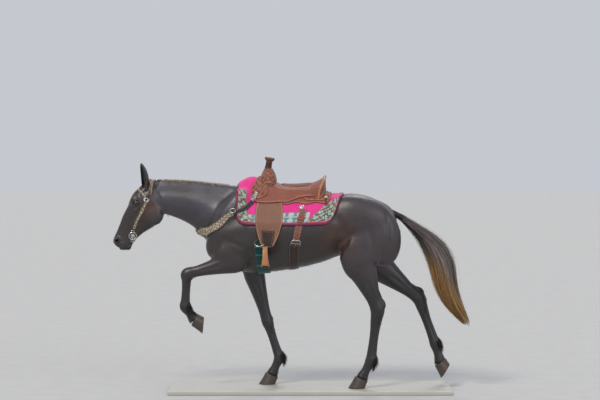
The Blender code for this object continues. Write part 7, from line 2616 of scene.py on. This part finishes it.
@dataclass
class Rigging:
    """What hangs from the saddle: latigos, billets, cinches, fenders and stirrups, with their metal."""
    ground: Ground
    trunk: Ground
    stirrup_at: tuple[float, float, float] = (-0.330, 0.308, 1.062)
    outline: tuple = ((0.000, 0.000), (0.030, -0.004), (0.052, -0.030), (0.068, -0.080), (0.074, -0.118),
        (0.060, -0.136), (0.030, -0.140), (0.000, -0.140))

    def around(self, x: float, start: float, end: float, count: int, slant: float = 0.0) -> list[tuple]:
        """Places round the trunk at x, from one angle from straight up to another, in degrees."""
        return [(x + slant * t, 0.34 * math.sin(a), TRUNK_AXIS + 0.34 * math.cos(a))
                for t, a in zip(np.linspace(0, 1, count), np.radians(np.linspace(start, end, count)))]

    def build(self) -> Ground:
        """Builds the rigging of both sides, and gives the ground that the seat lies on."""
        back = strap(self.trunk, self.around(-0.119, -108, -252, 8), 0.075, TRUNK_AXIS, steps=9)
        under = back.shell("cinch_back_leather", Wear.STRAP.material(), 0.0065, 0.004, 0.003)
        over = back.cut(lambda a, b: (0.02 + 0.96 * a, 0.26 + 0.48 * b), 0.006, rows=80)
        settle(joined("cinch_back",
            [under, over.shell("cinch_back_layer", Wear.STRAP.material(), 0.003, 0.002, 0.002)]), "strap",
            "cinch_back")
        settle(stitched("cinch_stitches", (back,), 0.005, 0.0066), "strap")
        front = strap(self.trunk, self.around(-0.372, -108, -252, 8, slant=0.072), 0.085, TRUNK_AXIS,
            steps=9)
        cords = [round_tube(f"cord_{i}", front.line([(t, v) for t in np.linspace(0, 1, 64)], 0.0036),
            0.0037, Wear.CORD.material(), 8) for i, v in enumerate(np.linspace(0.05, 0.95, 13))]
        bars = [front.cut(lambda a, b, m=m: (m - 0.012 + 0.024 * a, 0.01 + 0.98 * b), 0.0045, 6,
            20).shell(f"bar_{m}", Wear.CORD.material(), 0.004, 0.004, 0.002, 0.005)
            for m in (0.06, 0.16, 0.28, 0.5, 0.72, 0.84, 0.94)]
        settle(joined("cinch_front", cords + bars), "webbing", "cinch_front")
        lying = self.ground.over(under, bpy.data.objects["cinch_front"])
        return self.ground.over(*[self.hang(word, side, lying) for word, side in SIDES.items()])

    def hang(self, word: str, side: int, lying: Ground) -> bpy.types.Object:
        """Builds one side's straps, fender, stirrup and metal, and gives the fender."""
        foot = -0.372 if side < 0 else -0.300
        latigo = strap(lying, [(-0.368, side * 0.30, 1.385), (-0.370, side * 0.33, 1.280),
            (foot, side * 0.33, 1.160), (foot, side * 0.31, 1.080)], 0.045, TRUNK_AXIS)
        latigo_leather = latigo.shell("latigo_leather_" + word, Wear.STRAP.material(), 0.006, 0.003, 0.0025,
            0.007)
        settle(latigo_leather, "strap", "latigo_" + word)
        billet = strap(lying, [(-0.048, side * 0.34, 1.410), (-0.060, side * 0.34, 1.330),
            (-0.080, side * 0.34, 1.240), (-0.096, side * 0.335, 1.150), (-0.108, side * 0.325, 1.080)],
            0.050, TRUNK_AXIS)
        leather = billet.shell("billet_leather_" + word, Wear.BILLET.material(), 0.006, 0.003, 0.0025,
            0.007)
        keeper = billet.cut(lambda a, b: (0.320 + 0.080 * a, -0.08 + 1.16 * b), 0.0055, 10, 16)
        settle(joined("billet_straps_" + word, [leather, keeper.shell(
            "keeper", Wear.KEEPER.material(), 0.005, 0.003, 0.002, 0.004)]), "strap", "billet_" + word)
        settle(stitched("billet_stitches_" + word, (billet,), 0.005, 0.0062, 0.006), "strap")
        over = lying.over(latigo_leather)
        fender = strap(over, [(-0.296, side * 0.30, 1.425), (-0.300, side * 0.32, 1.330),
            (-0.306, side * 0.32, 1.230), (-0.312, side * 0.315, 1.130), (-0.316, side * 0.305, 1.056)],
            0.205, hang=True, cols=11, taper=lambda t: 1 - 0.62 * max(0.0, (t - 0.45) / 0.55) ** 1.2 - 0.18
            * max(0.0, 0.25 - t) / 0.25)
        flap = fender.shell("fender_flap", Wear.FENDER.material(), 0.0085, 0.001, 0.003)
        belt = fender.cut(lambda a, b: (0.62 + 0.37 * a, 0.5 + 0.36 * (2 * b - 1) * (0.75 + 0.25 * a)),
            0.008, 30)
        strips = [belt.shell("fender_belt", Wear.STRAP.material(), 0.005, 0.002, 0.002),
            fender.cut(lambda a, b: (0.945 + 0.045 * a, -0.03 + 1.06 * b), 0.012, 8).shell("fender_hobble",
            Wear.STRAP.material(), 0.005, 0.010, 0.002, 0.004)]
        whole = settle(joined("fender_leather_" + word, [flap, *strips]), "saddle", "fender_" + word)
        settle(stitched("fender_stitches_" + word, (fender, belt), 0.007, 0.0088), "saddle")
        self.stirrup(word, side)
        self.metal(word, side, lying.over(bpy.data.objects["billet_straps_" + word]))
        return whole

    def metal(self, word: str, side: int, ground: Ground) -> None:
        """The buckle, the concho over the billet and the ring that the latigo runs through."""
        place, out = ground.flank(-0.106, side, 1.090)
        down = Vector((-0.10, 0, -1)).normalized()
        down = (down - out * down.dot(out)).normalized()
        wide = down.cross(out)
        silver = Wear.SILVER.material()
        middle = place + out * 0.005
        pieces = [frame_loop("buckle_frame", middle, wide * 0.0335, down * 0.034, 0.0046, silver),
            round_tube("buckle_bar", [middle - wide * 0.031, middle + wide * 0.031], 0.0034, silver, 10),
            round_tube("buckle_tongue",
            [middle + out * (0.003 + 0.005 * math.sin(math.pi * t)) + down * (0.036 * t)
            for t in np.linspace(-0.1, 1, 9)], 0.0030, silver, 10)]
        settle(joined("buckle_metal_" + word, pieces), "silver", "buckle_" + word)
        settle(concho("concho_plate_" + word, ground.flank(-0.062, side, 1.352), 0.0205), "silver",
            "concho_" + word)
        foot = -0.372 if side < 0 else -0.300
        place, out = ground.flank(foot, side, 1.085)
        ring = frame_loop("cinch_ring_" + word, place + out * 0.004, Vector((0.036, 0, 0)),
            (UP - out * out.z).normalized() * 0.036, 0.0042, Wear.PLAIN.material(), 1.0)
        settle(ring, "silver")

    def stirrup(self, word: str, side: int) -> None:
        """A leather-covered bell stirrup with a stitched tread pad and a bolt through its neck."""
        x, y, z = self.stirrup_at
        curve = closed_curve(list(self.outline) + [(-a, b) for a, b in reversed(self.outline[1:-1])], 72)
        loops, tread = [], []
        for i, (a, b) in enumerate(curve):
            along = Vector((0, *(curve[(i + 1) % 72] - curve[i - 1]))).normalized()
            out = along.cross(Vector((1, 0, 0))).normalized()
            low = max(0.0, min(1.0, -b / 0.14))
            middle = Vector((x, side * y + a, z + b + BASE_HEIGHT))
            loops.append(ring_of(middle, Vector((0.018 + 0.014 * low ** 3, 0, 0)), out * 0.0066, 14, 0.55))
            if b < -0.128:
                tread.append(ring_of(middle, Vector((0.027, 0, 0)), out * 0.0098, 14, 0.5))
        bm = bmesh.new()
        add_tube(bm, loops, closed=True)
        bell = from_bmesh("stirrup_bell", bm, Wear.TAN.material())
        bm = bmesh.new()
        add_tube(bm, tread)
        pad = from_bmesh("stirrup_tread", bm, Wear.STRAP.material())
        bolt = [round_tube("stirrup_bolt",
            [(x + s * 0.020, side * y, z - 0.001 + BASE_HEIGHT) for s in (-1, 1)], 0.0045,
            Wear.PLAIN.material(), 12)]
        settle(joined("stirrup_leather_" + word, [bell, pad, *bolt]), "rawhide", "stirrup_" + word)


@dataclass
class BreastCollar:
    """The shaped breast collar with its carved inlay, the straps that carry it and their rings."""
    ground: Ground
    wide: tuple = ((-0.560, 0.250, 1.330), (-0.640, 0.240, 1.270), (-0.725, 0.200, 1.205),
        (-0.800, 0.120, 1.160), (-0.826, 0.055, 1.145), (-0.835, 0.000, 1.140))
    line: tuple = ((-0.424, 0.178, 1.420), (-0.436, 0.190, 1.410), (-0.480, 0.235, 1.382),
        (-0.530, 0.245, 1.350), (-0.566, 0.250, 1.327))

    def build(self) -> None:
        """Builds the collar, its straps, rings and middle concho."""
        path = [(x, -y, z) for x, y, z in self.wide] + [(x, y, z) for x, y, z in reversed(self.wide[:-1])]
        band = strap(self.ground, path, 0.078, cols=11, steps=10,
            taper=lambda t: 1 - 0.5 * abs(2 * t - 1) ** 6)
        leather = band.shell("collar_leather", Wear.BLACK.material(), 0.0065, 0.004, 0.003, 0.007)
        inlay = band.cut(lambda a, b: (0.025 + 0.95 * a, 0.17 + 0.66 * b), 0.0055, 140)
        carved = inlay.shell("collar_inlay", Wear.INLAY.material(), 0.0032, 0.002, 0.002, 0.006)
        settle(joined("breast_collar_band", [leather, carved]), "inlay", "breast_collar")
        settle(stitched("collar_stitches", (band,), 0.0045, 0.0066), "strap")
        studs = Repeat("collar_studs", Wear.PLAIN.material(), 0.018, 0.0050, 0.0050)
        settle(studs.along([band.border(0.0095, 0.0062, 80)], closed=True), "silver")
        ground = self.ground.over(bpy.data.objects["breast_collar_band"])
        settle(concho("collar_concho", ground.nearest(Vector((-0.85, 0, 1.140 + BASE_HEIGHT))), 0.026),
            "silver")
        for word, side in SIDES.items():
            laid = strap(ground, [(x, side * y, z) for x, y, z in self.line], 0.030, TRUNK_AXIS)
            settle(laid.shell("collar_tug_" + word, Wear.BLACK.material(), 0.006, 0.003, 0.0025, 0.006),
                "strap", "collar_strap_" + word)
            settle(stitched("tug_stitches_" + word, (laid,), 0.004, 0.0061, 0.006), "strap")
            place, out = ground.flank(-0.418, side, 1.418)
            rise = (UP - out * out.z).normalized()
            ring = frame_loop("ring", place + out * 0.004, rise.cross(out) * 0.019, rise * 0.019, 0.0036,
                Wear.PLAIN.material(), 1.0, 32)
            settle(joined("collar_ring_metal_" + word, [ring, concho("dee_plate", (place, out), 0.012, 8)]),
                "silver", "collar_ring_" + word)
            place, out = ground.flank(-0.570, side, 1.322)
            rise = (UP - out * out.z).normalized()
            settle(frame_loop("collar_dee_" + word, place + out * 0.004, rise.cross(out) * 0.021,
                rise * 0.021, 0.0034, Wear.PLAIN.material(), 1.0, 32), "silver")


@dataclass
class Headstall:
    """The headstall: crown strap, browband, cheekpieces, conchos, and the cheeks of the bit."""
    ground: Ground
    crown: tuple = ((-1.206, 0.090, 1.410), (-1.188, 0.085, 1.440), (-1.160, 0.075, 1.485),
        (-1.138, 0.050, 1.532), (-1.126, 0.000, 1.555))
    brow: tuple = ((-1.218, 0.088, 1.418), (-1.246, 0.085, 1.456), (-1.278, 0.060, 1.482),
        (-1.288, 0.000, 1.495))
    cheek: tuple = ((-1.213, 0.100, 1.385), (-1.228, 0.105, 1.350), (-1.256, 0.100, 1.300),
        (-1.291, 0.080, 1.230), (-1.312, 0.070, 1.165))
    bit: tuple[float, float] = (-1.319, 1.128)

    def over_head(self, line: Sequence) -> list[tuple]:
        """The path from one side over the middle to the other."""
        return [(x, -y, z) for x, y, z in line] + [(x, y, z) for x, y, z in reversed(line[:-1])]

    def build(self) -> None:
        """Builds the headstall."""
        crown = strap(self.ground, self.over_head(self.crown), 0.030, cols=7, steps=10)
        settle(crown.shell("crown_strap", Wear.BLACK.material(), 0.005, 0.003, 0.002, 0.005), "strap",
            "headstall_crown")
        settle(stitched("crown_stitches", (crown,), 0.0034, 0.0052, 0.006), "strap")
        ground = self.ground.over(bpy.data.objects["crown_strap"])
        brow = strap(ground, self.over_head(self.brow), 0.025, cols=7, steps=10)
        edge = brow.shell("brow_edge", Wear.BLACK.material(), 0.004, 0.003, 0.002, 0.005)
        carved = brow.cut(lambda a, b: (0.01 + 0.98 * a, 0.13 + 0.74 * b), 0.0034, 70).shell(
            "brow_inlay", Wear.INLAY.material(), 0.003, 0.002, 0.0018, 0.005)
        settle(joined("browband", [edge, carved]), "inlay", "headstall_browband")
        for word, side in SIDES.items():
            cheek = strap(ground, [(x, side * y, z) for x, y, z in self.cheek], 0.036, cols=9)
            edge = cheek.shell("cheek_edge", Wear.BLACK.material(), 0.005, 0.003, 0.0025, 0.005)
            carved = cheek.cut(lambda a, b: (0.04 + 0.92 * a, 0.22 + 0.56 * b), 0.0045, 50).shell(
                "cheek_inlay", Wear.INLAY.material(), 0.0030, 0.002, 0.0018, 0.005)
            settle(joined("cheek_strap_" + word, [edge, carved]), "inlay", "cheekpiece_" + word)
            settle(stitched("cheek_stitches_" + word, (cheek,), 0.0034, 0.0051, 0.005), "strap")
            over = ground.over(bpy.data.objects["cheek_strap_" + word], bpy.data.objects["browband"])
            hit = over.flank(-1.214, side, 1.400)
            heart = turned("concho_heart", hit, ((0.0080, 0.0060), (0.0078, 0.0092), (0.0050, 0.0104),
                (0.0006, 0.0106)), Wear.BLACK.material(), 32)
            settle(joined("head_concho_" + word, [concho("plate", hit, 0.0225), heart]), "silver",
                   "headstall_concho_" + word)
            place, out = over.flank(self.bit[0], side, self.bit[1])
            rise = (UP - out * out.z).normalized()
            wide = rise.cross(out)
            silver = Wear.SILVER.material()
            pieces = [frame_loop("bit_ring", place + out * 0.006, wide * 0.028, rise * 0.028, 0.0042,
                silver, 1.0, 40), turned("bit_plate", (place + out * 0.001, out),
                [(r * 0.02, h * 0.02) for r, h in CONCHO], silver, 60, 8, 0.16),
                frame_loop("bit_loop", place + out * 0.005 + rise * 0.034, wide * 0.011, rise * 0.008,
                0.0032, silver, 0.8, 28),
                frame_loop("bit_shank", place + out * 0.005 - rise * 0.034 - wide * 0.004, wide * 0.009,
                rise * 0.011, 0.0032, silver, 0.9, 28)]
            settle(joined("bit_metal_" + word, pieces), "silver", "bit_cheek_" + word)


@dataclass
class Tack:
    """Pad, saddle, rigging, breast collar and headstall, each laid on what is under it."""
    frame: dict
    tree: BVHTree

    def build(self) -> None:
        """Builds the tack in the order that it goes on, and paints the base."""
        skin = Ground((self.tree,))
        felt = SaddlePad(skin).build()
        saddle = Saddle(skin.over(felt))
        belly = Belly((self.tree,), surface(self.frame["nodes"]["torso"]))
        on_saddle = saddle.upper(Rigging(saddle.skirts(), belly).build())
        BreastCollar(on_saddle).build()
        Headstall(skin).build()
        paint = Paint("pale satin base paint", "#b9b6ae", 0.45).material()
        for slot in self.frame["nodes"]["stand_base"].material_slots:
            slot.material = paint


@dataclass
class Studio:
    """A pale floor, soft lights and the long lens that the photo's flat side view calls for."""
    distance: float = 18.0
    elevation: float = 3.0
    aim: tuple[float, float, float] = (-0.0745, 0.0, 1.423)
    frame_width: float = 4.47

    def build(self) -> None:
        """Builds the studio."""
        scene = bpy.context.scene
        bpy.ops.mesh.primitive_plane_add(size=60, location=(0, 0, 0))
        floor = bpy.context.active_object
        floor.name = "floor"
        floor.data.materials.append(Paint("pale studio floor", "#bfbfbe", 0.9).material())
        world = bpy.data.worlds.new("studio")
        world.use_nodes = True
        world.node_tree.nodes["Background"].inputs["Color"].default_value = linear("#eaeef6")
        world.node_tree.nodes["Background"].inputs["Strength"].default_value = 0.68
        scene.world = world
        for name, place, strength, angle, hue in (("key", (-2.6, -4.2, 5.2), 1.5, 16, "#fff8ee"),
                ("fill", (4.2, -4.4, 2.6), 0.5, 40, "#eef3ff"),
                ("rim", (0.6, 4.2, 4.4), 0.7, 20, "#ffffff")):
            light = bpy.data.lights.new(name, 'SUN')
            light.energy, light.angle = strength, math.radians(angle)
            light.color = linear(hue)[:3]
            lamp = bpy.data.objects.new(name, light)
            lamp.location = place
            lamp.rotation_euler = (-Vector(place)).to_track_quat('-Z', 'Y').to_euler()
            scene.collection.objects.link(lamp)
        lens = bpy.data.cameras.new("camera")
        lens.sensor_width = 36.0
        lens.lens = 36.0 * self.distance / self.frame_width
        lens.clip_end = 100
        camera = bpy.data.objects.new("camera", lens)
        tilt = math.radians(self.elevation)
        aim = Vector(self.aim)
        camera.location = aim + Vector((0, -math.cos(tilt), math.sin(tilt))) * self.distance
        camera.rotation_euler = (aim - camera.location).to_track_quat('-Z', 'Y').to_euler()
        scene.collection.objects.link(camera)
        scene.camera = camera
        scene.view_settings.view_transform = 'Standard'


FLESH_NODES = ("head", "neck", "torso",
    *(f"{limb}_{part}" for limb in LIMBS for part in ("upper", "lower")))


def build_horse() -> BVHTree:
    """Builds skin, eyes, ears, hooves and hair, and gives the skin's search tree."""
    coat = ShortCoat().material()
    hair = LongHair().material()
    skin = settle(HorseSkin(coat).build(), "torso", *FLESH_NODES)
    tree = surface(skin)
    horn = Horn().material()
    for name, limb in LIMBS.items():
        settle(Hoof(name + "_horn", limb, horn).build(), "hoof", name + "_hoof")
    for word, side in SIDES.items():
        eye = EyeSet(word, side, coat, hair, tree)
        settle(eye.ball(), "eye", "eye_" + word)
        settle(eye.lids(), "head")
        settle(eye.lashes(), "head")
        ear = Ear(word, side, coat, hair)
        settle(ear.leaf(), "ear", "ear_" + word)
        settle(ear.fluff(), "ear")
    tail = Tail(hair)
    settle(tail.dock(), "tail", "tail")
    for piece in tail.build():
        settle(piece, "tail")
    settle(Mane(hair, tree).build(), "neck")
    settle(PollTuft(hair, tree).build(), "neck")
    settle(Forelock(hair, tree).build(), "head")
    settle(ShortTufts(hair, skin, tree).build(), "leg")
    return tree


def main() -> None:
    """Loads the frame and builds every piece."""
    logging.basicConfig(level=logging.INFO, format="%(message)s")
    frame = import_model()
    Studio().build()
    tree = build_horse()
    Tack(frame, tree).build()


if __name__ == "__main__":
    main()
